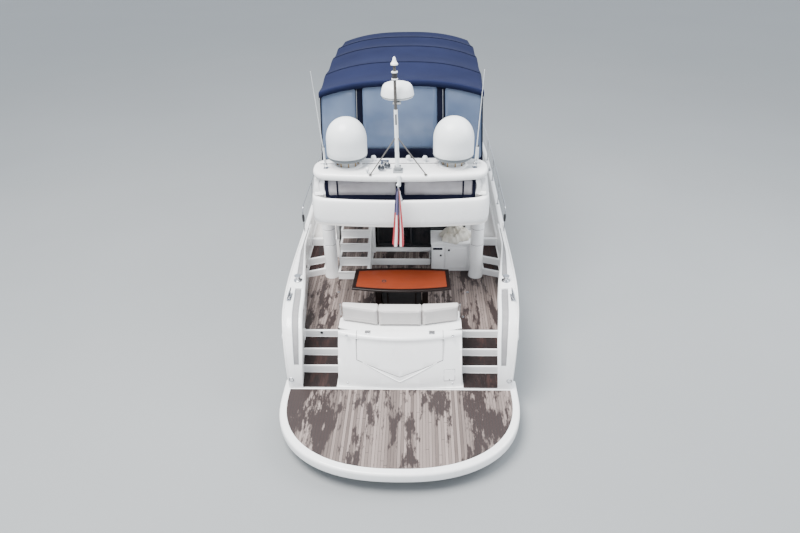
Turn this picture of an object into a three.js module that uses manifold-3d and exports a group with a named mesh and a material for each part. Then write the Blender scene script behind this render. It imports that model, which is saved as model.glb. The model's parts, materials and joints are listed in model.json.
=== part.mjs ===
// Flybridge motor yacht of 17.6 m, afloat. Millimetres, +Y to the bow, +X to starboard, +Z up.
// The origin is on the waterline amidships, so the underwater body, propellers and rudders are below z = 0.
import * as THREE from "three";
import { mergeVertices } from "three/addons/utils/BufferGeometryUtils.js";
import Module from "manifold-3d";

const wasm = await Module();
wasm.setup();

// Driving dimensions
const GAP = 0.3; // between pieces that touch
const TRANSOM_Y = -5850;
const PLATFORM_AFT_Y = -7950;
const PLATFORM_Z = 450;
const PLATFORM_THICK = 200;
const HULL_TOP_Z = 930; // the hull moulding ends here, under the sole and the deck moulding
const SOLE_Z = 950;
const STERN_STEP_HALF = 2015; // inner faces of the coamings at the top of the stern steps
const STERN_STEP_HALF_LOW = 1900; // and at the transom
const TRANSOM_BOX_HALF = 1200;
const SOLE_AFT_Y = -4600;
const SEAT_FRONT_Y = -4400;
const SIDE_STEP_AFT_Y = -2420;
const SIDE_STEP_HALF = 2265;
const SIDE_STEP_INNER = 1855;
const BULKHEAD_Y = -1600;
const SALOON_Z = 1250;
const CABIN_HALF = 1650; // outer face of the deckhouse sides
const CABIN_WALL = 60;
const CABIN_TOP_Z = 3050;
const FLY_Z = 3200;
const FLY_HALF = 1770;
const FLY_AFT_Y = -4050;
const FLY_FRONT_Y = 3450;
const FLY_COAMING_THICK = 90;
const FLY_RAIL_Z = 3640; // top of the fly coaming aft
const FLY_FRONT_Z = 3900;
const WING_Z = 4100; // top of the radar wing
const WING_THICK = 140;
const CANOPY_HALF = 1770;
const CANOPY_AFT_Y = -2350;
const CANOPY_FRONT_Y = 3000;
const CANOPY_EDGE_Z = 5230;
const CANOPY_CROWN = 250;
const STAIR_LEFT_X = -1520;
const STAIR_RIGHT_X = -800;
const STAIR_FOOT_Y = -2650;
const STAIR_RUN = 310;
const STAIR_COUNT = 10;
const SHAFT_X = 650;
const PROP_Y = -5050;
const PROP_Z = -915;
const PROP_RADIUS = 330;
const SHAFT_SLOPE = 0.2; // fall per unit of length going aft
const RUDDER_Y = -5560;

// Colours and finishes
const GELCOAT = finish(0xf2f2f0, 0.25);
const GREY_TRIM = finish(0xc9c8c6, 0.5);
const TEAK = finish(0x8a7667, 0.8);
const CHERRY = finish(0xa84a22, 0.25);
const VINYL_SEAT = finish(0xdbd7d2, 0.6);
const STEEL = finish(0xb9bcc0, 0.2, 1);
const BRONZE = finish(0xa9824f, 0.4, 1);
const DARK_GLASS = finish(0x14181b, 0.08);
const NAVY_CANVAS = finish(0x2e3d66, 0.85);
const CLEAR_VINYL = finish(0x9fb3c8, 0.15);
const FLAG_RED = finish(0xb03038, 0.85);
const ENGINE_GREY = finish(0x8b9094, 0.5);
const WHITE_PLASTIC = finish(0xe9edf0, 0.4);

function finish(color, roughness, metalness = 0) {
  return new THREE.MeshStandardMaterial({ color, roughness, metalness });
}

// Solids and meshes
function solid(geometry) {
  const bare = geometry.index ? geometry.toNonIndexed() : geometry.clone();
  bare.deleteAttribute("normal");
  bare.deleteAttribute("uv");
  const merged = mergeVertices(bare, 1e-3);
  return new wasm.Manifold(
    new wasm.Mesh({
      numProp: 3,
      vertProperties: merged.attributes.position.array,
      triVerts: new Uint32Array(merged.index.array),
    }),
  );
}

function joined(solids) {
  return solids.reduce((whole, piece) => whole.add(piece));
}

function geometryOf(shape) {
  const made = shape.getMesh();
  const positions = new Float32Array(made.numVert * 3);
  for (let i = 0; i < made.numVert; i += 1) {
    const start = i * made.numProp;
    positions.set(made.vertProperties.subarray(start, start + 3), i * 3);
  }
  const geometry = new THREE.BufferGeometry();
  geometry.setAttribute("position", new THREE.BufferAttribute(positions, 3));
  geometry.setIndex(new THREE.BufferAttribute(made.triVerts, 1));
  geometry.computeVertexNormals();
  return geometry;
}

const yacht = new THREE.Group();

function add(name, shape, material) {
  const mesh = new THREE.Mesh(geometryOf(shape), material);
  mesh.name = name;
  yacht.add(mesh);
}

function mirrored(shape) {
  return shape.mirror([1, 0, 0]);
}

// A shape that exists on both sides: starboard as made, port as its mirror image.
function addPair(name, shape, material) {
  add(`${name}_starboard`, shape, material);
  add(`${name}_port`, mirrored(shape), material);
}

function box(x, y, z) {
  const geometry = new THREE.BoxGeometry(x[1] - x[0], y[1] - y[0], z[1] - z[0]);
  geometry.translate((x[0] + x[1]) / 2, (y[0] + y[1]) / 2, (z[0] + z[1]) / 2);
  return solid(geometry);
}

function outline(points) {
  return new THREE.Shape(points.map(([a, b]) => new THREE.Vector2(a, b)));
}

function extruded(shape, depth, segments) {
  const curveSegments = segments ?? 6;
  return new THREE.ExtrudeGeometry(shape, { depth, bevelEnabled: false, curveSegments });
}

// An outline drawn in plan (X, Y), standing from z0 to z1.
function standing(shape, z0, z1, segments) {
  return solid(extruded(shape, z1 - z0, segments).translate(0, 0, z0));
}

// An outline drawn in side view (Y, Z), running from x0 to x1.
function across(shape, x0, x1, segments) {
  const turn = new THREE.Matrix4().makeBasis(
    new THREE.Vector3(0, 1, 0),
    new THREE.Vector3(0, 0, 1),
    new THREE.Vector3(1, 0, 0),
  );
  return solid(extruded(shape, x1 - x0, segments).applyMatrix4(turn).translate(x0, 0, 0));
}

// An outline drawn in end view (X, Z), running from y0 to y1.
function along(shape, y0, y1, segments) {
  const turn = new THREE.Matrix4().makeBasis(
    new THREE.Vector3(1, 0, 0),
    new THREE.Vector3(0, 0, 1),
    new THREE.Vector3(0, -1, 0),
  );
  return solid(extruded(shape, y1 - y0, segments).applyMatrix4(turn).translate(0, y1, 0));
}

// A body of revolution about a vertical line; the profile is [radius, height] from the bottom up.
function turned(profile, x, y, segments = 20) {
  const points = profile.map(([radius, z]) => new THREE.Vector2(radius, z));
  const geometry = new THREE.LatheGeometry(points, segments);
  return solid(geometry.rotateX(Math.PI / 2).translate(x, y, 0));
}

function rod(from, to, radius, sides = 8, endRadius = radius) {
  const a = new THREE.Vector3(...from);
  const b = new THREE.Vector3(...to);
  const line = b.clone().sub(a);
  const geometry = new THREE.CylinderGeometry(endRadius, radius, line.length(), sides);
  const up = new THREE.Vector3(0, 1, 0);
  geometry.applyQuaternion(new THREE.Quaternion().setFromUnitVectors(up, line.normalize()));
  const middle = a.add(b).multiplyScalar(0.5);
  return solid(geometry.translate(middle.x, middle.y, middle.z));
}

// A panel: four outer corners, clockwise from outside, and the vector through its thickness.
function panel(corners, through) {
  const positions = [];
  const near = corners.map((c) => new THREE.Vector3(...c));
  const far = near.map((c) => c.clone().add(new THREE.Vector3(...through)));
  const face = (a, b, c, d) => [a, b, c, a, c, d].forEach((p) => positions.push(p.x, p.y, p.z));
  face(...far);
  face(near[3], near[2], near[1], near[0]);
  near.forEach((corner, i) => {
    const next = (i + 1) % near.length;
    face(corner, near[next], far[next], far[i]);
  });
  const geometry = new THREE.BufferGeometry();
  geometry.setAttribute("position", new THREE.Float32BufferAttribute(positions, 3));
  return solid(geometry);
}

// Skin between closed rings of points, closed by a fan at each end.
function loft(rings, closeEnd = fan) {
  const last = rings[rings.length - 1];
  const triangles = [...closeEnd(rings[0]).map((corners) => corners.reverse()), ...closeEnd(last)];
  rings.slice(1).forEach((ring, i) => {
    const previous = rings[i];
    ring.forEach((point, k) => {
      const next = (k + 1) % ring.length;
      triangles.push([previous[k], previous[next], ring[next]], [previous[k], ring[next], point]);
    });
  });
  const geometry = new THREE.BufferGeometry();
  geometry.setAttribute("position", new THREE.Float32BufferAttribute(triangles.flat(2), 3));
  return solid(geometry);
}

function fan(ring) {
  const centre = [0, 1, 2].map((axis) => ring.reduce((sum, p) => sum + p[axis], 0) / ring.length);
  return ring.map((point, k) => [centre, point, ring[(k + 1) % ring.length]]);
}

// End of a thin strip whose ring runs out along one face and back along the other
function ladder(ring) {
  const rungs = ring.slice(1, ring.length / 2).map((_, k) => {
    const [a, b, c, d] = [ring[k], ring[k + 1], ring[ring.length - 2 - k], ring[ring.length - 1 - k]];
    return [[a, b, c], [a, c, d]];
  });
  return rungs.flat();
}

// A bent tube through the points, mitred at each bend. flat is a direction no length of it runs along.
function tube(points, radius, flat, sides = 6) {
  const path = points.map((p) => new THREE.Vector3(...p));
  const rings = path.map((point, i) => {
    const before = path[Math.max(i - 1, 0)];
    const after = path[Math.min(i + 1, path.length - 1)];
    const ahead = after.clone().sub(point).normalize();
    const behind = point.clone().sub(before).normalize();
    const line = ahead.add(behind).normalize();
    const side = new THREE.Vector3(...flat).cross(line).normalize();
    const up = line.clone().cross(side);
    return Array.from({ length: sides }, (_, k) => {
      const angle = (k / sides) * 2 * Math.PI;
      const offset = side.clone().multiplyScalar(Math.cos(angle) * radius);
      return point.clone().add(offset).addScaledVector(up, Math.sin(angle) * radius).toArray();
    });
  });
  return loft(rings);
}

// Hull stations, stern to bow. bulge pushes the middle of the topside out (round) or in (flared).
const STATIONS = [
  // y, keelZ, chineX, chineZ, bulge, sheerX, sheerZ
  [-5850, -640, 2040, -110, 20, 2215, 1750],
  [-4100, -760, 2160, -90, 40, 2400, 1750],
  [-1500, -880, 2180, -50, 20, 2425, 1830],
  [1500, -950, 2120, 20, 0, 2425, 1930],
  [3600, -930, 1930, 130, -40, 2350, 2010],
  [5300, -860, 1600, 310, -90, 2140, 2080],
  [6700, -640, 1180, 540, -120, 1790, 2140],
  [7900, -150, 740, 830, -120, 1290, 2195],
  [8800, 640, 380, 1180, -80, 780, 2245],
  [9350, 1400, 150, 1600, -30, 380, 2290],
  [9650, 2020, 30, 2080, 0, 90, 2320],
].map(([y, keelZ, chineX, chineZ, bulge, sheerX, sheerZ]) => {
  return { y, keelZ, chineX, chineZ, bulge, sheerX, sheerZ };
});

// Value of a station column at any y, by straight lines between stations.
function at(y, column) {
  const after = Math.max(1, STATIONS.findIndex((s) => s.y >= y));
  const [a, b] = [STATIONS[after - 1], STATIONS[after]];
  return THREE.MathUtils.lerp(a[column], b[column], (y - a.y) / (b.y - a.y));
}

function hullRing(s, inset) {
  const side = [
    [s.chineX - inset, s.chineZ],
    [s.chineX + 50 - inset, s.chineZ + 15],
    [(s.chineX + s.sheerX) / 2 + s.bulge - inset, (s.chineZ + s.sheerZ) / 2],
    [s.sheerX - inset, s.sheerZ],
  ].map(([x, z]) => [Math.max(x, 12), z]);
  const starboard = side.map(([x, z]) => [x, s.y, z]);
  const port = side.map(([x, z]) => [-x, s.y, z]).reverse();
  return [[0, s.y, s.keelZ], ...starboard, ...port].reverse();
}

// Deck level in side view, from the aft end of the side decks to the stem.
const DECK_LINE = [
  [BULKHEAD_Y, 1450],
  [1500, 1600],
  [4000, 1780],
  [9700, 2150],
];

function deckZ(y) {
  const after = Math.max(1, DECK_LINE.findIndex(([station]) => station >= y));
  const [[y0, z0], [y1, z1]] = [DECK_LINE[after - 1], DECK_LINE[after]];
  return THREE.MathUtils.lerp(z0, z1, (y - y0) / (y1 - y0));
}

const FAR = 4000; // beyond every side of the boat
const hullWhole = loft(STATIONS.map((s) => hullRing(s, 0)));
const hullInner = loft(STATIONS.map((s) => hullRing({ ...s, sheerZ: s.sheerZ + 200 }, 90)));
const underDeck = across(
  outline([[BULKHEAD_Y, 0], [9700, 0], ...DECK_LINE.slice().reverse()]),
  -FAR,
  FAR,
);

// Shaft line: a point on it at any y
function shaftPoint(y) {
  return [SHAFT_X, y, PROP_Z + (y - PROP_Y) * SHAFT_SLOPE];
}

// The coamings draw in from the cockpit to the transom
function sternStepHalf(y) {
  return THREE.MathUtils.mapLinear(y, SOLE_AFT_Y, TRANSOM_Y, STERN_STEP_HALF, STERN_STEP_HALF_LOW);
}

const STERN_STEPS = [
  // aft y, forward y, tread z
  [-6100, -5350, 450],
  [-5350, -5020, 625],
  [-5020, SOLE_AFT_Y, 790],
];

// Hull moulding with engine room, stern steps, stern tubes, rudder trunks and shaft brackets
function makeHull() {
  let hull = hullWhole.subtract(box([-FAR, FAR], [-9000, 11000], [HULL_TOP_Z, 4000]));
  hull = hull.subtract(box([-1300, 1300], [-3900, -700], [-330, 1000]));
  hull = hull.subtract(
    box([-TRANSOM_BOX_HALF - 2, TRANSOM_BOX_HALF + 2], [-6100, SEAT_FRONT_Y + 2], [PLATFORM_Z, 1000]),
  );
  STERN_STEPS.forEach(([aft, forward, z]) => {
    const plan = outline([
      [TRANSOM_BOX_HALF, aft],
      [sternStepHalf(aft), aft],
      [sternStepHalf(forward), forward],
      [TRANSOM_BOX_HALF, forward],
    ]);
    const well = standing(plan, z, 1000);
    hull = hull.subtract(well).subtract(mirrored(well));
  });
  const tube = rod(shaftPoint(-4300), shaftPoint(-3300), 42, 12);
  const trunk = rod([SHAFT_X, RUDDER_Y, -900], [SHAFT_X, RUDDER_Y, -150], 34, 12);
  hull = hull.subtract(tube).subtract(mirrored(tube)).subtract(trunk).subtract(mirrored(trunk));
  return hull;
}
const hull = makeHull();
add("hull", hull, GELCOAT);

// Shaft brackets under the hull: a leg and the boss that the shaft turns in
function makeBracket() {
  const [x, y, z] = shaftPoint(PROP_Y + 260);
  const leg = box([x - 18, x + 18], [y - 60, y + 60], [z + 40, -300]);
  const boss = rod(shaftPoint(PROP_Y + 190), shaftPoint(PROP_Y + 330), 68, 12);
  const bore = rod(shaftPoint(PROP_Y + 150), shaftPoint(PROP_Y + 370), 40, 12);
  return leg.add(boss).subtract(bore).subtract(hull.translate([0, 0, -GAP]));
}
addPair("shaft_bracket", makeBracket(), BRONZE);

// Deck moulding: side decks, saloon recess, foredeck with its raised coachroof, bow cleats
const COACHROOF_AFT_Y = 3750;
const HATCH_Y = [6300, 6900];
const HATCH_SEAT_Z = 2150; // top of the frame round the foredeck hatch
const WINDSCREEN_Z = 2080; // top of the coachroof at the foot of the windscreen

function cleat(x, y, z) {
  const bar = rod([x, y - 130, z + 62], [x, y + 130, z + 62], 15, 8);
  const feet = [-45, 45].map((step) => rod([x, y + step, z - 20], [x, y + step, z + 62], 16, 8));
  const pad = box([x - 35, x + 35], [y - 90, y + 90], [z - 20, z + 12]);
  return joined([bar, ...feet, pad]);
}

function makeDeck() {
  const top = box([-FAR, FAR], [BULKHEAD_Y + GAP, 10000], [HULL_TOP_Z + GAP, 4000]);
  let deck = hullWhole.intersect(top).intersect(underDeck);
  const recessHalf = CABIN_HALF - CABIN_WALL;
  deck = deck.subtract(box([-recessHalf, recessHalf], [BULKHEAD_Y - 50, 3700], [SALOON_Z, 4000]));
  const half = [
    [recessHalf, COACHROOF_AFT_Y],
    [recessHalf, 4350],
    [1450, 5200],
    [1180, 6200],
    [850, 6850],
    [450, 7200],
  ];
  const plan = outline([...half, ...half.map(([x, y]) => [-x, y]).reverse()]);
  const side = outline([
    [COACHROOF_AFT_Y, 1700],
    [7200, 1900],
    [7200, 2020],
    [6850, 2110],
    [6200, 2140],
    [4900, WINDSCREEN_Z],
    [COACHROOF_AFT_Y, WINDSCREEN_Z],
  ]);
  deck = deck.add(standing(plan, 1700, 2300).intersect(across(side, -2000, 2000)));
  const [hatchAft, hatchForward] = HATCH_Y;
  deck = deck
    .add(box([-320, 320], [hatchAft, hatchForward], [2000, HATCH_SEAT_Z]))
    .subtract(box([-260, 260], [hatchAft + 60, hatchForward - 60], [1300, 2300]));
  [-1, 1].forEach((sign) => {
    deck = deck.add(cleat(sign * 740, 8250, deckZ(8250)));
  });
  return deck;
}
const deck = makeDeck();
add("deck", deck, GELCOAT);

// Bulwark and cockpit coaming of one side, with the steps up to the side deck and the stern cleat
const COAMING_END = [
  // y, z: fall of the coaming at the stern
  [-5860, 500],
  [-5800, 900],
  [-5680, 1210],
  [-5500, 1490],
  [-5250, 1690],
  [-5000, 1760],
];
const SIDE_STEPS = [
  // aft y, tread z
  [SIDE_STEP_AFT_Y, 1110],
  [-2000, 1280],
];
const COAMING_INNER = [
  // x, y: the coaming's inner face, from the side-deck steps to the stern steps
  [SIDE_STEP_HALF, SIDE_STEP_AFT_Y],
  [2238, -2660],
  [2075, -4000],
  [STERN_STEP_HALF, SOLE_AFT_Y],
];
const STERN_CLEAT = [2200, -4050, 1750];

function makeBulwark() {
  const starboardHalf = box([GAP / 2, FAR], [-6000, 10000], [HULL_TOP_Z + GAP, 4000]);
  const upper = hullWhole.intersect(starboardHalf);
  const deckPlus = underDeck.translate([0, 0, GAP]);
  const rail = upper
    .intersect(box([0, FAR], [BULKHEAD_Y - 1, 10000], [0, 4000]))
    .subtract(hullInner)
    .subtract(deckPlus);
  const coamingPlan = outline([
    [2270, -5200],
    [2500, -4300],
    [2500, BULKHEAD_Y],
    [SIDE_STEP_HALF, BULKHEAD_Y],
    ...COAMING_INNER,
    [STERN_STEP_HALF_LOW, TRANSOM_Y],
    [2110, TRANSOM_Y],
    [2190, -5600],
  ]);
  const above = outline([...COAMING_END, [-5000, 2500], [-6000, 2500], [-6000, 500]]);
  let coaming = upper
    .intersect(standing(coamingPlan, 900, 3000))
    .subtract(across(above, -FAR, FAR));
  SIDE_STEPS.forEach(([aft, z]) => {
    const run = [aft, BULKHEAD_Y - 1];
    coaming = coaming.add(box([SIDE_STEP_INNER, SIDE_STEP_HALF + 1], run, [HULL_TOP_Z + GAP, z]));
  });
  return rail.add(coaming).add(cleat(...STERN_CLEAT));
}
addPair("bulwark", makeBulwark(), GELCOAT);

// Bathing platform with a broad rounded stern edge
function platformPlan() {
  const [aft, side] = [PLATFORM_AFT_Y, 2270];
  const shape = new THREE.Shape();
  shape.moveTo(-side, TRANSOM_Y - GAP);
  shape.lineTo(-side, -6400);
  shape.bezierCurveTo(-side, -7500, -1500, aft, 0, aft);
  shape.bezierCurveTo(1500, aft, side, -7500, side, -6400);
  shape.lineTo(side, TRANSOM_Y - GAP);
  return shape;
}
add("swim_platform", standing(platformPlan(), PLATFORM_Z - PLATFORM_THICK, PLATFORM_Z, 10), GELCOAT);

// Cockpit sole
function makeSole() {
  const side = COAMING_INNER.slice(1).map(([x, y]) => [x - 2, y]);
  const half = [
    [TRANSOM_BOX_HALF + 4, SEAT_FRONT_Y + 4],
    [TRANSOM_BOX_HALF + 4, SOLE_AFT_Y],
    ...side.reverse(),
    [SIDE_STEP_HALF - 3, SIDE_STEP_AFT_Y - 5],
    [SIDE_STEP_INNER - 2, SIDE_STEP_AFT_Y - 5],
    [SIDE_STEP_INNER - 2, BULKHEAD_Y - 2],
  ];
  const port = half.map(([x, y]) => [-x, y]).reverse();
  return standing(outline([...half, ...port]), HULL_TOP_Z + GAP, SOLE_Z);
}
add("cockpit_sole", makeSole(), TEAK);

// Transom box: locker with its hatch outside, sofa on top and inside
const HATCH_HALF = 830;
const HATCH_HINGE_Y = -5290;
const SHELF_Z = 1450;
const SEAT_Z = 1290;
const HATCH_THICK = 50;

function transomForm(inset) {
  const side = [
    [TRANSOM_Y + inset, PLATFORM_Z + GAP],
    [TRANSOM_Y + 15 + inset, 560],
    [-5700 + inset, 950],
    [-5555 + inset, 1330],
    [-5525 + inset, 1410 - inset],
    [-5450 + inset, SHELF_Z - inset],
    [-4920 - inset, SHELF_Z - inset],
    [-4920 - inset, SEAT_Z - inset],
    [SEAT_FRONT_Y, SEAT_Z - inset],
    [SEAT_FRONT_Y, PLATFORM_Z + GAP],
  ];
  const plan = new THREE.Shape();
  plan.moveTo(TRANSOM_BOX_HALF, -4390);
  plan.lineTo(-TRANSOM_BOX_HALF, -4390);
  plan.lineTo(-TRANSOM_BOX_HALF, TRANSOM_Y + 130 + inset);
  const aft = TRANSOM_Y + 5 + inset;
  plan.bezierCurveTo(-600, aft, 600, aft, TRANSOM_BOX_HALF, TRANSOM_Y + 130 + inset);
  return across(outline(side), -TRANSOM_BOX_HALF, TRANSOM_BOX_HALF).intersect(
    standing(plan, 400, 1600, 10),
  );
}

function hatchArea(grow) {
  const [half, low, bottom] = [HATCH_HALF + grow, 990 - grow, 700 - grow];
  const shape = outline([[-half, low], [0, bottom], [half, low], [half, 1600], [-half, 1600]]);
  return along(shape, -6200, HATCH_HINGE_Y + grow);
}
add(
  "transom_box",
  transomForm(0)
    .subtract(hatchArea(6))
    .subtract(box([-760, 760], [-5350, -4720], [740, 1230])),
  GELCOAT,
);
add(
  "transom_hatch",
  transomForm(0).intersect(hatchArea(0)).subtract(transomForm(HATCH_THICK)),
  GELCOAT,
);

// Sofa: seat and back cushions, the ends of the back angled forward
function makeSofa() {
  const half = TRANSOM_BOX_HALF - 45;
  const aft = [[-half, -5010], [-420, -5190], [420, -5190], [half, -5010]];
  const front = [[half, -4850], [420, -4910], [-420, -4910], [-half, -4850]];
  const back = standing(outline([...aft, ...front]), SHELF_Z + GAP, 1850);
  const lower = box([-half, half], [-4920 + GAP, -4840], [SEAT_Z + GAP, 1500]);
  const seat = box([-half, half], [-4850, SEAT_FRONT_Y], [SEAT_Z + GAP, SEAT_Z + 120]);
  return joined([back, lower, seat]);
}
add("sofa", makeSofa(), VINYL_SEAT);

// Cockpit table on two pedestals with a dark plinth between them
function makeTable() {
  const top = new THREE.Shape();
  top.moveTo(-1035, -4155);
  top.quadraticCurveTo(0, -4375, 1035, -4155);
  top.lineTo(1015, -3395);
  top.quadraticCurveTo(0, -3275, -1015, -3395);
  const legs = [-1, 1].map((side) => {
    return box([side * 480 - 70, side * 480 + 70], [-3960, -3560], [SOLE_Z + GAP, 1640]);
  });
  const plinth = box([-420, 420], [-3900, -3620], [SOLE_Z + GAP, 1400]);
  return joined([standing(top, 1620, 1680, 8), ...legs, plinth]);
}
add("cockpit_table", makeTable(), CHERRY);

// Columns that carry the flybridge overhang
addPair(
  "column",
  turned(
    [[0, SOLE_Z + GAP], [162, SOLE_Z + GAP], [150, 1090], [148, 3049.7], [0, 3049.7]],
    1690,
    -2450,
    16,
  ),
  GELCOAT,
);

// Stairs to the flybridge, closed below
function makeStairs() {
  const rise = (FLY_Z - SOLE_Z) / (STAIR_COUNT + 1);
  const steps = [];
  for (let i = 0; i < STAIR_COUNT; i += 1) {
    const y = STAIR_FOOT_Y + i * STAIR_RUN;
    const z = SOLE_Z + (i + 1) * rise;
    steps.push([y, z], [y + STAIR_RUN, z]);
  }
  const top = STAIR_FOOT_Y + STAIR_COUNT * STAIR_RUN;
  const base = [
    [top, SALOON_Z + GAP],
    [BULKHEAD_Y - GAP, SALOON_Z + GAP],
    [BULKHEAD_Y - GAP, SOLE_Z + GAP],
    [STAIR_FOOT_Y, SOLE_Z + GAP],
  ];
  const profile = outline([...steps, ...base].reverse());
  return across(profile, STAIR_LEFT_X, STAIR_RIGHT_X);
}
add("fly_stairs", makeStairs(), GELCOAT);

// Wet bar: a cabinet open aft, closed by two doors
const BAR = { left: 660, split: 1030, right: 1500, side: 1640, aft: -2260, top: 1700 };

function makeBar() {
  const body = box([BAR.left, BAR.side], [BAR.aft, BULKHEAD_Y - GAP], [SOLE_Z + GAP, BAR.top]);
  const wall = 40;
  const bays = [[BAR.left, BAR.split], [BAR.split, BAR.right]].map(([x0, x1]) => {
    return box([x0 + wall, x1 - wall], [BAR.aft - 10, BULKHEAD_Y - 60], [1050, 1600]);
  });
  return bays.reduce((shape, bay) => shape.subtract(bay), body);
}
add("wet_bar", makeBar(), GELCOAT);
add(
  "bar_door_narrow",
  box([BAR.left + 15, BAR.split - 8], [BAR.aft - 26, BAR.aft - 6], [1020, 1630]),
  GELCOAT,
);
add(
  "bar_door_wide",
  box([BAR.split + 8, BAR.right - 15], [BAR.aft - 26, BAR.aft - 6], [1020, 1630]),
  GELCOAT,
);

// Saloon bulkhead with the step below its door and the walls round the stairs, fixed pane and sliding door
const DOOR_LEFT_X = -640;
const DOOR_RIGHT_X = 950;
const DOOR_TOP_Z = 2990;
const DOOR_STEP = { left: STAIR_RIGHT_X + 15, right: 640, aft: -1980, z: 1130 };
const DOOR_SILL_Z = SALOON_Z + 40;
const PANE_LEFT_X = 150; // the fixed pane runs from here to the right edge of the opening
const PANE_OVERLAP = 35; // of the sliding door over the fixed pane
const wallX = CABIN_HALF - CABIN_WALL;
const stairTopY = STAIR_FOOT_Y + STAIR_COUNT * STAIR_RUN;

function makeBulkhead() {
  const walls = [SALOON_Z + GAP, CABIN_TOP_Z - GAP];
  const inner = STAIR_RIGHT_X + 5;
  const door = [DOOR_LEFT_X, DOOR_RIGHT_X];
  const sheet = box([inner, wallX - GAP], [BULKHEAD_Y, BULKHEAD_Y + 60], walls);
  const opening = box(door, [BULKHEAD_Y - 50, BULKHEAD_Y + 90], [SALOON_Z - 10, DOOR_TOP_Z]);
  const { left, right, aft, z } = DOOR_STEP;
  const step = box([left, right], [aft, BULKHEAD_Y - GAP], [SOLE_Z + GAP, z]);
  const riser = box([left, right + 10], [BULKHEAD_Y - 60, BULKHEAD_Y - GAP], [SOLE_Z + GAP, DOOR_SILL_Z]);
  const lipY = [BULKHEAD_Y - 20, BULKHEAD_Y + 30];
  const lip = box([left, DOOR_LEFT_X - 1], lipY, [SALOON_Z + GAP, DOOR_SILL_Z - 1]);
  const inboard = box([inner, inner + 30], [BULKHEAD_Y + 1, stairTopY + 35], walls);
  const forward = box([-wallX + GAP, inner + 15], [stairTopY + 5, stairTopY + 35], walls);
  return joined([sheet.subtract(opening), step, riser, lip, inboard, forward]);
}
add("aft_bulkhead", makeBulkhead(), GELCOAT);
const paneX = [PANE_LEFT_X, DOOR_RIGHT_X - GAP];
const paneZ = [SALOON_Z + GAP, DOOR_TOP_Z - GAP];
add("aft_pane", box(paneX, [BULKHEAD_Y + 15, BULKHEAD_Y + 35], paneZ), DARK_GLASS);
const doorX = [DOOR_LEFT_X - 20, PANE_LEFT_X + PANE_OVERLAP];
const doorZ = [SALOON_Z + 8, DOOR_TOP_Z];
add("saloon_door", box(doorX, [BULKHEAD_Y + 68, BULKHEAD_Y + 100], doorZ), DARK_GLASS);

// Deckhouse sides with one long window each
const PILLAR_FOOT = [4400, 1808];
const PILLAR_HEAD = [2300, CABIN_TOP_Z - GAP];
const SIDE_WINDOW = [
  [-1000, 2000],
  [3650, 2110],
  [2400, 2880],
  [-650, 2880],
];

function makeSideWall() {
  const foot = DECK_LINE.slice(0, 3).map(([y, z]) => [y, z + GAP]);
  const wall = outline([...foot, PILLAR_FOOT, PILLAR_HEAD, [BULKHEAD_Y, CABIN_TOP_Z - GAP]]);
  const hole = across(outline(SIDE_WINDOW), wallX - 50, CABIN_HALF + 50);
  return across(wall, wallX, CABIN_HALF).subtract(hole);
}
addPair("cabin_side", makeSideWall(), GELCOAT);
const paneCorners = SIDE_WINDOW.map(([y, z]) => [y * 0.999 + 1, 2440 + (z - 2440) * 0.997]);
addPair("side_window", across(outline(paneCorners), wallX + 24, wallX + 36), DARK_GLASS);

// Windscreen of three panes
const SCREEN_THICK = 50;
const SCREEN_FOOT = { centre: [760, 4780], corner: [1585, 3960] };
const SCREEN_HEAD_X = 680;
const SCREEN_HEAD_Y = 3180;
const [screenLow, screenHigh] = [WINDSCREEN_Z + 1, CABIN_TOP_Z - 1];

// Where the plane of the side pane, set by three corners, meets the roof at the outer edge
function screenCornerHead() {
  const feet = [SCREEN_FOOT.centre, SCREEN_FOOT.corner];
  const [a, b] = feet.map(([x, y]) => new THREE.Vector3(x, y, screenLow));
  const head = new THREE.Vector3(SCREEN_HEAD_X, SCREEN_HEAD_Y, screenHigh);
  const plane = new THREE.Plane().setFromCoplanarPoints(a, b, head);
  const x = SCREEN_FOOT.corner[0];
  const y = -(plane.constant + plane.normal.x * x + plane.normal.z * screenHigh) / plane.normal.y;
  return [x, y, screenHigh];
}
const SCREEN_CENTRE = [
  [-SCREEN_FOOT.centre[0], SCREEN_FOOT.centre[1], screenLow],
  [SCREEN_FOOT.centre[0], SCREEN_FOOT.centre[1], screenLow],
  [SCREEN_HEAD_X, SCREEN_HEAD_Y, screenHigh],
  [-SCREEN_HEAD_X, SCREEN_HEAD_Y, screenHigh],
];
const SCREEN_SIDE = [
  [...SCREEN_FOOT.centre, screenLow],
  [...SCREEN_FOOT.corner, screenLow],
  screenCornerHead(),
  [SCREEN_HEAD_X, SCREEN_HEAD_Y, screenHigh],
];

function makeWindscreen() {
  const side = panel(SCREEN_SIDE, [0, -SCREEN_THICK, 0]);
  return joined([panel(SCREEN_CENTRE, [0, -SCREEN_THICK, 0]), side, mirrored(side)]);
}
add("windscreen", makeWindscreen(), DARK_GLASS);

// The stern edge in plan of the flybridge and of its wing: nearly straight across, then a tight round
const CORNER = { across: 290, fall: 100, length: 520 };

function sternToStarboard(shape, aft, half) {
  const { across: run, fall, length } = CORNER;
  shape.moveTo(0, aft);
  shape.quadraticCurveTo(half - 3.1 * run, aft, half - run, aft + fall);
  shape.bezierCurveTo(half - 0.3 * run, aft + 1.3 * fall, half, aft + 0.5 * length, half, aft + length);
}

function sternFromPort(shape, aft, half) {
  const { across: run, fall, length } = CORNER;
  shape.lineTo(-half, aft + length);
  shape.bezierCurveTo(-half, aft + 0.5 * length, 0.3 * run - half, aft + 1.3 * fall, run - half, aft + fall);
  shape.quadraticCurveTo(3.1 * run - half, aft, 0, aft);
}

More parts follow.
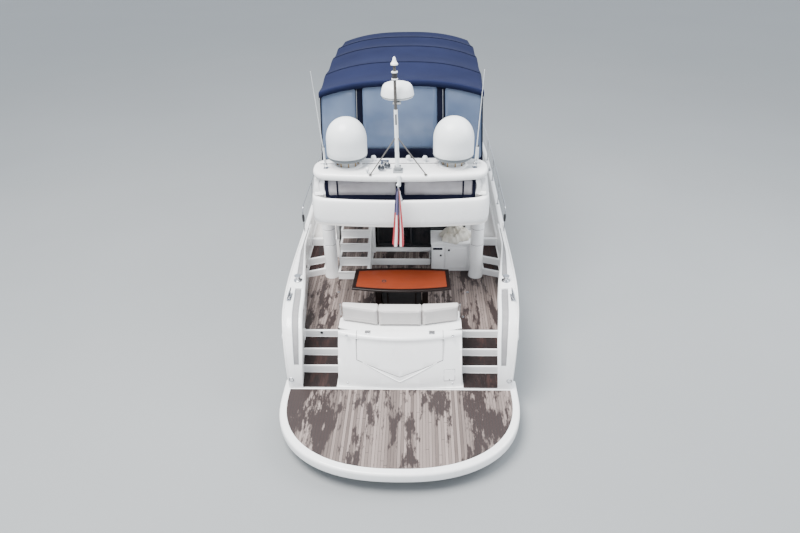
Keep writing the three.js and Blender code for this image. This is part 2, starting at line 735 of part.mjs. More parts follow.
// Flybridge deck and the coaming round it
function flyPlan(inset) {
  const [aft, half, front] = [FLY_AFT_Y + inset, FLY_HALF - inset, FLY_FRONT_Y - inset];
  const shape = new THREE.Shape();
  sternToStarboard(shape, aft, half);
  shape.lineTo(half, 1500);
  shape.bezierCurveTo(half, 3100 - inset, 1300, front, 0, front);
  shape.bezierCurveTo(-1300, front, -half, 3100 - inset, -half, 1500);
  sternFromPort(shape, aft, half);
  return shape;
}
const STAIRWELL = box([STAIR_LEFT_X - 10, STAIR_RIGHT_X + 10], [-2250, stairTopY], [3000, 3300]);
add("fly_deck", standing(flyPlan(0), CABIN_TOP_Z, FLY_Z, 8).subtract(STAIRWELL), GELCOAT);

const COAMING_TOP = outline([
  [-4200, FLY_RAIL_Z],
  [-3000, FLY_RAIL_Z],
  [1500, FLY_FRONT_Z],
  [3600, FLY_FRONT_Z],
  [3600, 4400],
  [-4200, 4400],
]);
const flyCoaming = standing(flyPlan(0), FLY_Z + GAP, 4300, 8)
  .subtract(standing(flyPlan(FLY_COAMING_THICK), FLY_Z - 50, 4350, 8))
  .subtract(across(COAMING_TOP, -FAR, FAR));

// The forward length is one piece round the front.
function makeFrontCoaming() {
  return flyCoaming.intersect(box([-FAR, FAR], [FLY_SPLIT_Y + GAP, 5000], [3000, 4400]));
}
const FLY_SPLIT_Y = -2300; // the coaming is moulded in two lengths, meeting here
add(
  "fly_coaming_aft",
  flyCoaming.intersect(box([-FAR, FAR], [-5000, FLY_SPLIT_Y], [3000, 4400])),
  GELCOAT,
);
add("fly_coaming_front", makeFrontCoaming(), GELCOAT);

// Flybridge furniture: helm console, helm bench, settee round the port side forward of the stairs
add(
  "fly_console",
  across(
    outline([[1700, FLY_Z + GAP], [2450, FLY_Z + GAP], [2450, 3950], [2100, 4020], [1750, 3900]]),
    150,
    1250,
  ),
  GELCOAT,
);
add(
  "fly_bench",
  across(
    outline([
      [650, FLY_Z + GAP],
      [1150, FLY_Z + GAP],
      [1180, 3720],
      [780, 3760],
      [700, 4160],
      [600, 4160],
      [620, 3700],
    ]),
    150,
    1450,
  ),
  VINYL_SEAT,
);
add(
  "fly_settee",
  box([-1600, -400], [800, 1400], [FLY_Z + GAP, 3640]).add(
    box([-1600, -1100], [1390, 2100], [FLY_Z + GAP, 3640]),
  ),
  VINYL_SEAT,
);

// Radar wing: a low arch across the aft flybridge, with a foot for each whip antenna
const WING_AFT_Y = -3960;
const WING_FRONT_Y = -3000;
const WING_HALF = 1720;
const CURTAIN_HALF = 1475; // between the legs of the wing
const WHIP_FOOT = [1460, -3560, 4190];

function wingPlan() {
  const shape = new THREE.Shape();
  sternToStarboard(shape, WING_AFT_Y, WING_HALF);
  shape.lineTo(WING_HALF, -3350);
  shape.bezierCurveTo(1700, WING_FRONT_Y, 1300, WING_FRONT_Y, 900, WING_FRONT_Y);
  shape.lineTo(-900, WING_FRONT_Y);
  shape.bezierCurveTo(-1300, WING_FRONT_Y, -1700, WING_FRONT_Y, -WING_HALF, -3350);
  sternFromPort(shape, WING_AFT_Y, WING_HALF);
  return shape;
}

function makeWing() {
  const slab = standing(wingPlan(), WING_Z - WING_THICK, WING_Z, 6);
  const profile = outline([
    [-3800, FLY_RAIL_Z + GAP],
    [-3150, FLY_RAIL_Z + GAP],
    [-3120, 4000],
    [-3700, 4000],
  ]);
  const leg = across(profile, CURTAIN_HALF + 5, 1800).intersect(standing(flyPlan(5), 3600, 4000, 8));
  const [x, y, z] = WHIP_FOOT;
  const foot = box([x - 35, x + 35], [y - 45, y + 45], [WING_Z - 10, z - 37]);
  return joined([slab, leg, mirrored(leg), foot, mirrored(foot)]);
}
add("radar_wing", makeWing(), GELCOAT);
add(
  "wing_curtain",
  box([-CURTAIN_HALF, CURTAIN_HALF], [-3790, -3775], [3300, WING_Z - WING_THICK - 1]),
  NAVY_CANVAS,
);

// Mast with its stays, radar bracket and lights
const MAST = [-55, -3700];
const RADOME = [-35, -3330];
const RADOME_Z = 5420;

function makeMast() {
  const foot = WING_Z + GAP;
  const [x, y] = MAST;
  const stays = [-560, 500].map((stayX) => rod([stayX, -3925, foot + 8], [x, y, 4800], 11, 6));
  return joined([
    rod([x, y, foot], [x, y, 6050], 34, 10, 26),
    box([x - 90, x + 90], [y - 90, y + 90], [foot, foot + 50]),
    box([x - 45, RADOME[0] + 60], [y, RADOME[1] + 60], [RADOME_Z - 30, RADOME_Z]),
    turned([[0, 5870], [55, 5870], [55, 5980], [0, 5980]], x, y, 12),
    turned([[0, 6040], [70, 6040], [62, 6100], [30, 6140], [26, 6210], [0, 6250]], x, y, 12),
    ...stays,
  ]);
}
add("mast", makeMast(), STEEL);
add(
  "radome",
  turned(
    [[0, 0.5], [230, 0.5], [322, 50], [322, 130], [300, 220], [200, 265], [0, 275]],
    ...RADOME,
    24,
  ).translate([0, 0, RADOME_Z]),
  WHITE_PLASTIC,
);
addPair(
  "satellite_dome",
  turned(
    [
      [0, WING_Z + GAP],
      [290, WING_Z + GAP],
      [250, 4140],
      [240, 4200],
      [330, 4230],
      [392, 4310],
      [405, 4400],
      [403, 4640],
      [360, 4845],
      [270, 4985],
      [140, 5065],
      [0, 5085],
    ],
    1050,
    -3400,
    24,
  ),
  WHITE_PLASTIC,
);

// Whip antenna on a folding foot
const WHIP_TIP = [1485, -4200, 6120];
const whipKnuckle = new THREE.IcosahedronGeometry(30, 1).translate(...WHIP_FOOT);
addPair("whip_antenna", rod(WHIP_FOOT, WHIP_TIP, 16, 8, 7).add(solid(whipKnuckle)), WHITE_PLASTIC);

// Ensign staff on the aft coaming with the ensign hanging limp from it
add(
  "ensign_staff",
  rod([30, -4030, FLY_RAIL_Z + 8], [-30, -4250, 4030], 12, 8).add(
    solid(new THREE.IcosahedronGeometry(26, 1).translate(-30, -4250, 4030)),
  ),
  WHITE_PLASTIC,
);
const ENSIGN_CORNERS = [
  [100, -4300, 2740],
  [-130, -4300, 2740],
  [-50, -4285, 3950],
  [20, -4285, 3950],
];
add("ensign", panel(ENSIGN_CORNERS, [0, 16, 0]), FLAG_RED);

// Canopy: cambered canvas top, steel bows, and the enclosure of clear panels below it
const CANOPY_RINGS = [
  // y, crown, half width, edge height
  [CANOPY_AFT_Y, 200, 1675, 5240],
  [-1000, 270, 1740, CANOPY_EDGE_Z],
  [500, 290, CANOPY_HALF, CANOPY_EDGE_Z],
  [2200, 275, CANOPY_HALF, CANOPY_EDGE_Z],
  [CANOPY_FRONT_Y, 240, 1690, 5205],
];

// The cambered skin between two heights above the canopy's outer face
function canopyRing(y, crown, half, edge, low, high) {
  const steps = 10;
  const line = Array.from({ length: steps + 1 }, (_, k) => {
    const share = (k / steps) * 2 - 1;
    return [share * half, edge + crown * (1 - Math.abs(share) ** 2.6)];
  });
  const top = line.map(([x, z]) => [x, y, z + high]);
  const under = line.map(([x, z]) => [x, y, z + low]).reverse();
  return [...top, ...under];
}

function canopySkin(low, high) {
  const rings = CANOPY_RINGS.map(([y, crown, half, edge]) => canopyRing(y, crown, half, edge, low, high));
  return loft(rings, ladder);
}
add("canopy_top", canopySkin(-45, 0), NAVY_CANVAS);

const FRONT_RAKE = 0.3; // lean of the foremost bow and of the front panel, forward per unit of height
const BOWS = [
  // foot y, rake
  [-2250, 0],
  [-900, 0],
  [700, 0],
  [2150, FRONT_RAKE],
];
const BOW_HALF = 1480;

function makeBows() {
  const [foot, shoulder, crown, railZ] = [FLY_Z + 8, 5060, 5290, 4700];
  const half = [[BOW_HALF, foot], [BOW_HALF, shoulder - 120], [BOW_HALF - 60, shoulder], [900, crown]];
  const bows = BOWS.map(([y, rake]) => {
    const starboard = half.map(([x, z]) => [x, y + (z - foot) * rake, z]);
    const port = starboard.map(([x, along, z]) => [-x, along, z]).reverse();
    return tube([...starboard, ...port], 14, [0, 1, -rake]);
  });
  const [frontFoot, rake] = BOWS[3];
  const frontY = frontFoot + (railZ - foot) * rake;
  const rails = [-1, 1].map((side) => {
    return rod([side * BOW_HALF, BOWS[0][0], railZ], [side * BOW_HALF, frontY, railZ], 12, 6);
  });
  return joined([...bows, ...rails]);
}
add("canopy_frame", makeBows(), STEEL);

const PANEL_THICK = 18;
const ENCLOSURE_TOP_Z = 5500; // before the canopy is cut from it
const ENCLOSURE_STATIONS = [
  // foot y, rake, foot half breadth, foot z, top half breadth
  [CANOPY_AFT_Y + 30, 0, 1735, FLY_RAIL_Z + 50, 1650],
  [1500, 0, 1710, FLY_FRONT_Z + 6, 1730],
  [2480, FRONT_RAKE, 1600, FLY_FRONT_Z + 6, 1650],
];

// A block with the enclosure's four sides, smaller by inset all round, up to a height and down to its foot
function enclosureBlock(inset, high, low) {
  const rings = ENCLOSURE_STATIONS.map(([y, rake, footHalf, footZ, topHalf], i) => {
    const corner = (side, z) => {
      const half = THREE.MathUtils.mapLinear(z, footZ, ENCLOSURE_TOP_Z, footHalf, topHalf) - inset;
      return [side * half, y + (z - footZ) * rake + (1 - i) * inset, z];
    };
    const foot = low ?? footZ;
    return [corner(-1, high), corner(1, high), corner(1, foot), corner(-1, foot)];
  });
  return loft(rings);
}

function makeEnclosure() {
  const room = enclosureBlock(PANEL_THICK, ENCLOSURE_TOP_Z + 100, FLY_Z);
  return enclosureBlock(0, ENCLOSURE_TOP_Z).subtract(room).subtract(canopySkin(-47, 900));
}
add("enclosure", makeEnclosure(), CLEAR_VINYL);

// Guard rails on the bulwark, port and starboard, and the pulpit round the bow
const RAIL_RADIUS = 14;
const RAIL_HEIGHT = 640;
const POST_INSET = 45;

function railPoint(y, height) {
  return [at(y, "sheerX") - POST_INSET, y, at(y, "sheerZ") + height];
}

function sideRail(posts) {
  const line = tube(posts.map((y) => railPoint(y, RAIL_HEIGHT)), RAIL_RADIUS, [0, 0, 1]);
  const uprights = posts.map((y) => rod(railPoint(y, 3), railPoint(y, RAIL_HEIGHT), RAIL_RADIUS, 6));
  return joined([line, ...uprights]);
}
addPair("side_rail", sideRail([-1900, -500, 900, 2300, 3700, 5000]), STEEL);

const PULPIT_POSTS = [5120, 6200, 7200, 8100, 8900, 9400];
const BOW_TIP_Y = 9600;

function makePulpit() {
  const half = sideRail(PULPIT_POSTS);
  const [x, y, z] = railPoint(PULPIT_POSTS[5], RAIL_HEIGHT);
  const nose = [[x, y, z], [x * 0.55, BOW_TIP_Y, z], [-x * 0.55, BOW_TIP_Y, z], [-x, y, z]];
  return joined([half, mirrored(half), tube(nose, RAIL_RADIUS, [0, 0, 1])]);
}
add("pulpit", makePulpit(), STEEL);

// Foredeck: sunbathing pad, hatch with its lid, anchor gear
add(
  "sun_pad",
  across(outline([[5080, 2100], [6100, 2146], [6100, 2210], [5080, 2190]]), -950, 950),
  VINYL_SEAT,
);
add("deck_hatch", box([-310, 310], [6310, 6890], [HATCH_SEAT_Z + 5, HATCH_SEAT_Z + 40]), DARK_GLASS);

function makeWindlass() {
  const y = 8000;
  const foot = deckZ(y) + 30;
  const drum = [[0, foot], [110, foot], [100, 2140], [60, 2160], [60, 2210], [90, 2240], [0, 2250]];
  const chainPipe = box([-90, 90], [y - 100, y + 300], [foot, foot + 60]);
  return turned(drum, 0, y, 14).add(chainPipe);
}
add("windlass", makeWindlass(), STEEL);

// Running gear
function propeller() {
  const [x, y, z] = shaftPoint(PROP_Y);
  const hub = rod(shaftPoint(PROP_Y + 90), shaftPoint(PROP_Y - 90), 72, 12);
  const cone = rod(shaftPoint(PROP_Y - 89), shaftPoint(PROP_Y - 160), 60, 12, 20);
  const shaft = rod(shaftPoint(-3450), shaftPoint(PROP_Y), 30, 12);
  const tilt = Math.atan(SHAFT_SLOPE);
  const blades = [0, 1, 2, 3].map((i) => {
    const shape = new THREE.Shape();
    shape.moveTo(-55, 40);
    shape.bezierCurveTo(-190, 180, -130, PROP_RADIUS, 20, PROP_RADIUS);
    shape.bezierCurveTo(170, PROP_RADIUS, 150, 160, 55, 40);
    const blade = extruded(shape, 14, 5).translate(0, 0, -7);
    blade.rotateY(0.6);
    blade.rotateZ((i * Math.PI) / 2);
    blade.rotateX(Math.PI / 2 + tilt);
    return solid(blade.translate(x, y, z));
  });
  return joined([hub, cone, shaft, ...blades]);
}
addPair("propeller", propeller(), BRONZE);

function rudder() {
  const foil = outline([
    [SHAFT_X - 8, RUDDER_Y - 220],
    [SHAFT_X + 8, RUDDER_Y - 220],
    [SHAFT_X + 30, RUDDER_Y],
    [SHAFT_X + 14, RUDDER_Y + 90],
    [SHAFT_X - 14, RUDDER_Y + 90],
    [SHAFT_X - 30, RUDDER_Y],
  ]);
  return standing(foil, -1150, -600).add(
    rod([SHAFT_X, RUDDER_Y, -700], [SHAFT_X, RUDDER_Y, -200], 25, 12),
  );
}
addPair("rudder", rudder(), BRONZE);

// Engines, plain blocks in the engine room
addPair("engine", box([250, 1150], [-3100, -1400], [-300, 700]), ENGINE_GREY);

// Saloon furniture seen through the windows
add("saloon_settee", box([-1560, -900], [700, 2700], [SALOON_Z + GAP, 1700]), VINYL_SEAT);
add(
  "saloon_helm",
  across(
    outline([[2700, SALOON_Z + GAP], [3690, SALOON_Z + GAP], [3690, 2060], [3200, 2120], [2800, 2000]]),
    250,
    1500,
  ),
  GREY_TRIM,
);

export default yacht;
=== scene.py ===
# %% [markdown]
# A flybridge motor yacht of 17.6 m, afloat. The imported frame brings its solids, bodies and joints in
# metres: +Y is the bow, +X starboard, +Z up, and z = 0 the waterline. Each cell below dresses one part
# of the boat: the moulded hull, teak, steel tube, canvas and so on. A piece that stands for a solid of
# the frame hides it; the solids that are right already only get a better finish.

# %% Load the frame and the tools
import json
import math

import bmesh
import bpy
from mathutils import Matrix, Vector

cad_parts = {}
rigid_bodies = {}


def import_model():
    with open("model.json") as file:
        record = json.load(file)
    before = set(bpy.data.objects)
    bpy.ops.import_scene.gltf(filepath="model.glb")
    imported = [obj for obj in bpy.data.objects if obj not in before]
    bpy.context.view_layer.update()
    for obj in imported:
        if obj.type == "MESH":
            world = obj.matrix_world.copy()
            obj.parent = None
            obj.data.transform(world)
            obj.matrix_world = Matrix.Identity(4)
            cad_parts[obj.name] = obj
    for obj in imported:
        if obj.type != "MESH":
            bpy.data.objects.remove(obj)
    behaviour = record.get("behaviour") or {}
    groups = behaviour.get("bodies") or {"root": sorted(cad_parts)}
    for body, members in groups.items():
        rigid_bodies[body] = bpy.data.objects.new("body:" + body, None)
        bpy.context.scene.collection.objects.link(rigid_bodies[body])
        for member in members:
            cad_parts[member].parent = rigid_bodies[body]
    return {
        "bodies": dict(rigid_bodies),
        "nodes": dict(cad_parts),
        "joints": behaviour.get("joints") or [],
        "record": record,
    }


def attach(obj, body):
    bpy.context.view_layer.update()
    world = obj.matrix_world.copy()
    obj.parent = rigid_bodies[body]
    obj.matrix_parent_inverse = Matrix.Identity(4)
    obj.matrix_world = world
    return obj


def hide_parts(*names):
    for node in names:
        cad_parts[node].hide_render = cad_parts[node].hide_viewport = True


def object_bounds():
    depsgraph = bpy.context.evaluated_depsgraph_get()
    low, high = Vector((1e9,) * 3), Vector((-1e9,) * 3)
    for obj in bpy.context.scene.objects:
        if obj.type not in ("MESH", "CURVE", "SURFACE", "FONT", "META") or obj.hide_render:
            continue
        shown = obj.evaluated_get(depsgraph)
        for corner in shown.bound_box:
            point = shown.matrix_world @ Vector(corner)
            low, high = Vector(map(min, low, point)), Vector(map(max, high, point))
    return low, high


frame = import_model()
cad_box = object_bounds()

# %% [markdown]
# The camera stands where the photograph was taken from: 0.4 m to starboard of the centreline, 15 m aft
# of the hull's middle and 8.7 m above the water, looking down by 30.9 degrees through a 28 mm lens.

# %% Camera
CAMERA_PLACE = (0.40, -15.0, 8.7)
CAMERA_PITCH = 30.9
CAMERA_YAW = 2.2
CAMERA_ROLL = -1.1
camera_data = bpy.data.cameras.new("camera")
camera_data.lens = 28.0
camera_data.sensor_width = 36.0
camera = bpy.data.objects.new("camera", camera_data)
bpy.context.scene.collection.objects.link(camera)
camera.location = CAMERA_PLACE
turn = Matrix.Rotation(math.radians(CAMERA_YAW), 4, "Z")
tilt = Matrix.Rotation(math.radians(90 - CAMERA_PITCH), 4, "X")
roll = Matrix.Rotation(math.radians(CAMERA_ROLL), 4, "Z")
camera.rotation_euler = (turn @ tilt @ roll).to_euler()
bpy.context.scene.camera = camera
print("camera at", CAMERA_PLACE, "looking down", CAMERA_PITCH, "degrees")

# %% [markdown]
# An overcast sky is one huge soft lamp. A pale world gives the even light, a wide area lamp high above
# the stern gives a soft direction, and a weaker one fills the side away from it.

# %% Sky and lamps
def lamp(name, place, target, size, power, colour):
    data = bpy.data.lights.new(name, "AREA")
    data.shape = "DISK"
    data.size = size
    data.energy = power
    data.color = colour
    obj = bpy.data.objects.new(name, data)
    bpy.context.scene.collection.objects.link(obj)
    obj.location = place
    obj.rotation_euler = (Vector(target) - Vector(place)).to_track_quat("-Z", "Y").to_euler()


world = bpy.data.worlds.new("overcast")
bpy.context.scene.world = world
world.use_nodes = True
world.node_tree.nodes["Background"].inputs["Color"].default_value = (0.80, 0.86, 0.93, 1)
world.node_tree.nodes["Background"].inputs["Strength"].default_value = 1.85
lamp("key", (-6, -9, 21), (0, -2, 1), 12.0, 12500, (1.0, 0.985, 0.96))
lamp("fill", (13, -4, 13), (0, 0, 1), 10.0, 2400, (0.94, 0.97, 1.0))

# %% [markdown]
# Materials are node graphs on Object coordinates, so that a pattern has its real scale in metres. The
# helpers below make a node, feed its sockets and hand back its output. A colour is a plain (red, green,
# blue), and a socket takes either a value or another node's output.

# %% Node helpers
def feed(tree, socket, value):
    """Links an output to the socket, or sets a plain value."""
    if isinstance(value, bpy.types.NodeSocket):
        tree.links.new(value, socket)
    else:
        socket.default_value = value


def node(tree, kind, settings=None, **inputs):
    """A node; i0, i1 and so on name its inputs by number."""
    made = tree.nodes.new(kind)
    for name, value in (settings or {}).items():
        setattr(made, name, value)
    for name, value in inputs.items():
        numbered = name[0] == "i" and name[1:].isdigit()
        feed(tree, made.inputs[int(name[1:]) if numbered else name.replace("_", " ")], value)
    return made


def math_node(tree, operation, *values, clamp=False):
    made = node(tree, "ShaderNodeMath", {"operation": operation, "use_clamp": clamp})
    for socket, value in zip(made.inputs, values):
        feed(tree, socket, value)
    return made.outputs[0]


def mix(tree, share, a, b):
    """Colour a where share is 0, b where it is 1."""
    made = node(tree, "ShaderNodeMix", {"data_type": "RGBA"}, i0=share)
    for socket, value in zip(made.inputs[6:8], (a, b)):
        feed(tree, socket, (*value, 1) if isinstance(value, tuple) else value)
    return made.outputs[2]


def object_place(tree):
    return tree.nodes.new("ShaderNodeTexCoord").outputs["Object"]


def object_axes(tree):
    """The x, y and z of each point, in metres."""
    return node(tree, "ShaderNodeSeparateXYZ", i0=object_place(tree)).outputs


def mapped(tree, scale):
    return node(tree, "ShaderNodeMapping", Vector=object_place(tree), Scale=scale).outputs[0]


def noise(tree, vector, scale, detail=3.0, roughness=0.55):
    made = node(tree, "ShaderNodeTexNoise", Vector=vector, Scale=scale, Detail=detail, Roughness=roughness)
    return made.outputs[0]


def ramp(tree, value, low, high):
    made = node(tree, "ShaderNodeMapRange", {"clamp": True}, Value=value, From_Min=low, From_Max=high)
    return made.outputs[0]


# %% [markdown]
# A few effects come back in many finishes, so each is a node group made once. "mottle" gives a slow
# patchy value for colour, "grain" a fine one for bump, "weave" crossed threads, and "grime" collects in
# a stretched noise that runs downwards, as rain does on white topsides. A group puts out values only;
# the shader stays in each material.

# %% Shared groups
def new_group(name, inputs, outputs):
    tree = bpy.data.node_groups.new(name, "ShaderNodeTree")
    for label, kind, value in inputs:
        tree.interface.new_socket(label, in_out="INPUT", socket_type=kind).default_value = value
    for label, kind in outputs:
        tree.interface.new_socket(label, in_out="OUTPUT", socket_type=kind)
    return tree, tree.nodes.new("NodeGroupInput").outputs, tree.nodes.new("NodeGroupOutput").inputs


FLOAT, VECTOR = "NodeSocketFloat", "NodeSocketVector"


def mottle_group():
    inputs = [("Scale", FLOAT, 2.0), ("Contrast", FLOAT, 1.0)]
    tree, given, out = new_group("mottle", inputs, [("Value", FLOAT)])
    centred = math_node(tree, "SUBTRACT", noise(tree, object_place(tree), given["Scale"], 4.0), 0.5)
    scaled = math_node(tree, "MULTIPLY", centred, given["Contrast"])
    tree.links.new(math_node(tree, "ADD", scaled, 0.5, clamp=True), out["Value"])
    return tree


def grime_group():
    tree, given, out = new_group("grime", [("Amount", FLOAT, 0.5)], [("Mask", FLOAT)])
    streaks = noise(tree, mapped(tree, (9.0, 9.0, 0.7)), 1.0, 5.0, 0.6)
    patches = noise(tree, mapped(tree, (1.3, 1.3, 1.3)), 1.0)
    both = math_node(tree, "MULTIPLY", ramp(tree, streaks, 0.5, 0.78), ramp(tree, patches, 0.42, 0.7))
    tree.links.new(math_node(tree, "MULTIPLY", both, given["Amount"], clamp=True), out["Mask"])
    return tree


def grain_group():
    inputs = [("Scale", FLOAT, 300.0), ("Stretch", VECTOR, (1.0, 1.0, 1.0))]
    tree, given, out = new_group("grain", inputs, [("Height", FLOAT)])
    tree.links.new(noise(tree, mapped(tree, given["Stretch"]), given["Scale"]), out["Height"])
    return tree


def weave_group():
    tree, given, out = new_group("weave", [("Pitch", FLOAT, 900.0)], [("Height", FLOAT)])
    waves = []
    for axis in object_axes(tree):
        waves.append(math_node(tree, "SINE", math_node(tree, "MULTIPLY", axis, given["Pitch"])))
    crossed = math_node(tree, "MULTIPLY", waves[0], waves[1])
    tree.links.new(math_node(tree, "ADD", crossed, waves[2]), out["Height"])
    return tree


GROUPS = {"mottle": mottle_group(), "grime": grime_group(), "grain": grain_group(), "weave": weave_group()}


def use_group(tree, name, **values):
    made = tree.nodes.new("ShaderNodeGroup")
    made.node_tree = GROUPS[name]
    for label, value in values.items():
        made.inputs[label].default_value = value
    return made.outputs[0]


print("groups:", sorted(GROUPS))

# %% Material maker
def new_material(name, colour, roughness, build=None, **settings):
    """A Principled material. build(tree, shader) links what changes over the surface."""
    material = bpy.data.materials.new(name)
    material.use_nodes = True
    tree = material.node_tree
    shader = tree.nodes["Principled BSDF"]
    shader.inputs["Base Color"].default_value = (*colour, 1)
    shader.inputs["Roughness"].default_value = roughness
    for label, value in settings.items():
        shader.inputs[label.replace("_", " ")].default_value = value
    if build:
        build(tree, shader)
    material.diffuse_color = (*colour, 1)
    return material


def set_colour(tree, shader, value):
    tree.links.new(value, shader.inputs["Base Color"])


def set_roughness(tree, shader, value, low, high):
    made = node(tree, "ShaderNodeMapRange", {"clamp": True}, Value=value, To_Min=low, To_Max=high)
    tree.links.new(made.outputs[0], shader.inputs["Roughness"])


def set_bump(tree, shader, height, strength, distance):
    made = node(tree, "ShaderNodeBump", Strength=strength, Distance=distance, Height=height)
    tree.links.new(made.outputs[0], shader.inputs["Normal"])


def small_cells(tree, scale):
    """Distance to the nearest cell of a fine pattern, as on non-skid and leather."""
    return node(tree, "ShaderNodeTexVoronoi", Vector=mapped(tree, (1, 1, 1)), Scale=scale).outputs["Distance"]


# %% [markdown]
# Gelcoat is a polyester skin a millimetre thick over glass fibre: glossy, not quite flat, a little
# yellowed in patches, and streaked where water runs off. The hull has the same finish, with dark
# antifouling paint below the waterline and a navy boot stripe just above it.

# %% Gelcoat and hull paint
WHITE = (0.86, 0.855, 0.85)
STAIN = (0.52, 0.49, 0.43)
FOULING_TOP, STRIPE_TOP = 0.05, 0.16


def gelcoat_look(tree, shader):
    patch = use_group(tree, "mottle", Scale=1.1, Contrast=1.4)
    clean = mix(tree, patch, tuple(c * 0.965 for c in WHITE), WHITE)
    set_colour(tree, shader, mix(tree, use_group(tree, "grime", Amount=0.35), clean, STAIN))
    set_roughness(tree, shader, patch, 0.2, 0.32)
    set_bump(tree, shader, use_group(tree, "grain", Scale=6.0), 0.12, 0.004)


gelcoat = new_material("gelcoat", WHITE, 0.25, gelcoat_look, Coat_Weight=0.25, Coat_Roughness=0.08)


def hull_look(tree, shader):
    height = object_axes(tree)[2]
    patch = use_group(tree, "mottle", Scale=0.9, Contrast=1.4)
    clean = mix(tree, patch, (0.74, 0.735, 0.725), WHITE)
    dirty = mix(tree, use_group(tree, "grime", Amount=0.55), clean, STAIN)
    banded = mix(tree, math_node(tree, "LESS_THAN", height, STRIPE_TOP), dirty, (0.035, 0.05, 0.12))
    growth = use_group(tree, "mottle", Scale=5.0, Contrast=1.8)
    fouling = mix(tree, growth, (0.012, 0.016, 0.02), (0.05, 0.06, 0.06))
    under = math_node(tree, "LESS_THAN", height, FOULING_TOP)
    set_colour(tree, shader, mix(tree, under, banded, fouling))
    set_roughness(tree, shader, under, 0.22, 0.75)
    set_bump(tree, shader, use_group(tree, "grain", Scale=5.0), 0.12, 0.004)


hull_paint = new_material("hull_paint", WHITE, 0.25, hull_look, Coat_Weight=0.2, Coat_Roughness=0.1)


def nonskid_look(tree, shader):
    patch = use_group(tree, "mottle", Scale=2.0, Contrast=1.6)
    set_colour(tree, shader, mix(tree, patch, (0.56, 0.54, 0.52), (0.66, 0.64, 0.62)))
    set_bump(tree, shader, small_cells(tree, 220.0), 0.5, 0.002)


nonskid = new_material("nonskid", (0.66, 0.64, 0.6), 0.7, nonskid_look)

# %% [markdown]
# Laid teak: planks 55 mm wide run fore and aft with black caulking between them. Left to the weather
# it goes silver brown, each plank in its own shade, with dark wet patches, most of them near the stern
# where spray comes over. The plank number is the whole part of x over the plank's width; a second
# number staggers the butt joints along it.

# %% Teak
PLANK = 0.055
PLANK_LENGTH = 1.9
CAULK = 0.09
CAULKING = (0.006, 0.005, 0.005)


def teak_look(light, dark, wet, wetness):
    def build(tree, shader):
        x, y, _ = object_axes(tree)
        across = math_node(tree, "DIVIDE", x, PLANK)
        number = math_node(tree, "FLOOR", across)
        tint = node(tree, "ShaderNodeTexWhiteNoise", {"noise_dimensions": "1D"}, W=number).outputs[0]
        shift = math_node(tree, "MULTIPLY", tint, 3.7)
        along = math_node(tree, "ADD", math_node(tree, "DIVIDE", y, PLANK_LENGTH), shift)
        butt = math_node(tree, "LESS_THAN", math_node(tree, "FRACT", along), 0.004)
        share = math_node(tree, "FRACT", across)
        edge = math_node(tree, "ABSOLUTE", math_node(tree, "SUBTRACT", share, 0.5))
        seam = math_node(tree, "MAXIMUM", math_node(tree, "GREATER_THAN", edge, 0.5 - CAULK / 2), butt)
        fibre = noise(tree, mapped(tree, (60.0, 2.2, 60.0)), 1.0, 6.0, 0.65)
        patch = noise(tree, mapped(tree, (4.2, 1.0, 1.0)), 1.0, 5.0, 0.7)
        stern = node(tree, "ShaderNodeMapRange", Value=y, i1=-3.4, i2=-4.7, i3=0.0, i4=0.085).outputs[0]
        beside = math_node(tree, "GREATER_THAN", math_node(tree, "ABSOLUTE", x), 1.2)
        patch = math_node(tree, "ADD", patch, math_node(tree, "MULTIPLY", stern, beside))
        soaked = ramp(tree, patch, 0.63 - wetness, 0.67 - wetness * 0.9)
        shade = math_node(tree, "MULTIPLY", tint, 0.62)
        worn = math_node(tree, "ADD", shade, math_node(tree, "MULTIPLY", fibre, 0.5))
        timber = mix(tree, soaked, mix(tree, worn, dark, light), wet)
        set_colour(tree, shader, mix(tree, seam, timber, CAULKING))
        set_roughness(tree, shader, soaked, 0.8, 0.6)
        height = math_node(tree, "SUBTRACT", math_node(tree, "MULTIPLY", fibre, 0.3), seam)
        set_bump(tree, shader, height, 0.5, 0.002)
    return build


dry_planks = teak_look((0.270, 0.214, 0.194), (0.040, 0.026, 0.022), (0.018, 0.008, 0.007), 0.115)
teak = new_material("teak", (0.26, 0.20, 0.17), 0.7, dry_planks)
wet_planks = teak_look((0.036, 0.018, 0.016), (0.016, 0.007, 0.0065), (0.009, 0.004, 0.004), 0.12)
dark_teak = new_material("dark_teak", (0.10, 0.05, 0.04), 0.6, wet_planks, Specular_IOR_Level=0.25)

# %% [markdown]
# The cockpit table is varnished: a coat over a warm cherry veneer whose grain runs across the boat,
# with a nearly black border. The varnish is the shader's own coat.

# %% Varnished wood
def veneer_look(light, dark):
    def build(tree, shader):
        rings = noise(tree, mapped(tree, (1.2, 26.0, 26.0)), 1.0, 6.0, 0.6)
        cloud = math_node(tree, "MULTIPLY", use_group(tree, "mottle", Scale=3.0, Contrast=1.5), 0.3)
        blend = math_node(tree, "ADD", math_node(tree, "MULTIPLY", rings, 0.7), cloud)
        set_colour(tree, shader, mix(tree, blend, dark, light))
        set_bump(tree, shader, rings, 0.05, 0.001)
    return build


red_grain = veneer_look((0.200, 0.032, 0.009), (0.110, 0.016, 0.005))
cherry = new_material("cherry", (0.55, 0.14, 0.03), 0.35, red_grain, Coat_Weight=0.25, Coat_Roughness=0.1)
black_grain = veneer_look((0.010, 0.004, 0.003), (0.004, 0.002, 0.002))
wenge = new_material("wenge", (0.04, 0.018, 0.012), 0.4, black_grain, Specular_IOR_Level=0.25)

# %% [markdown]
# Cloths and skins. Marine canvas is a coarse plain weave in navy that fades on top, seat vinyl is a
# soft off-white skin with a leather grain, and the clear panels of the enclosure are flexible vinyl,
# milky with age, so they are partly see-through by alpha.

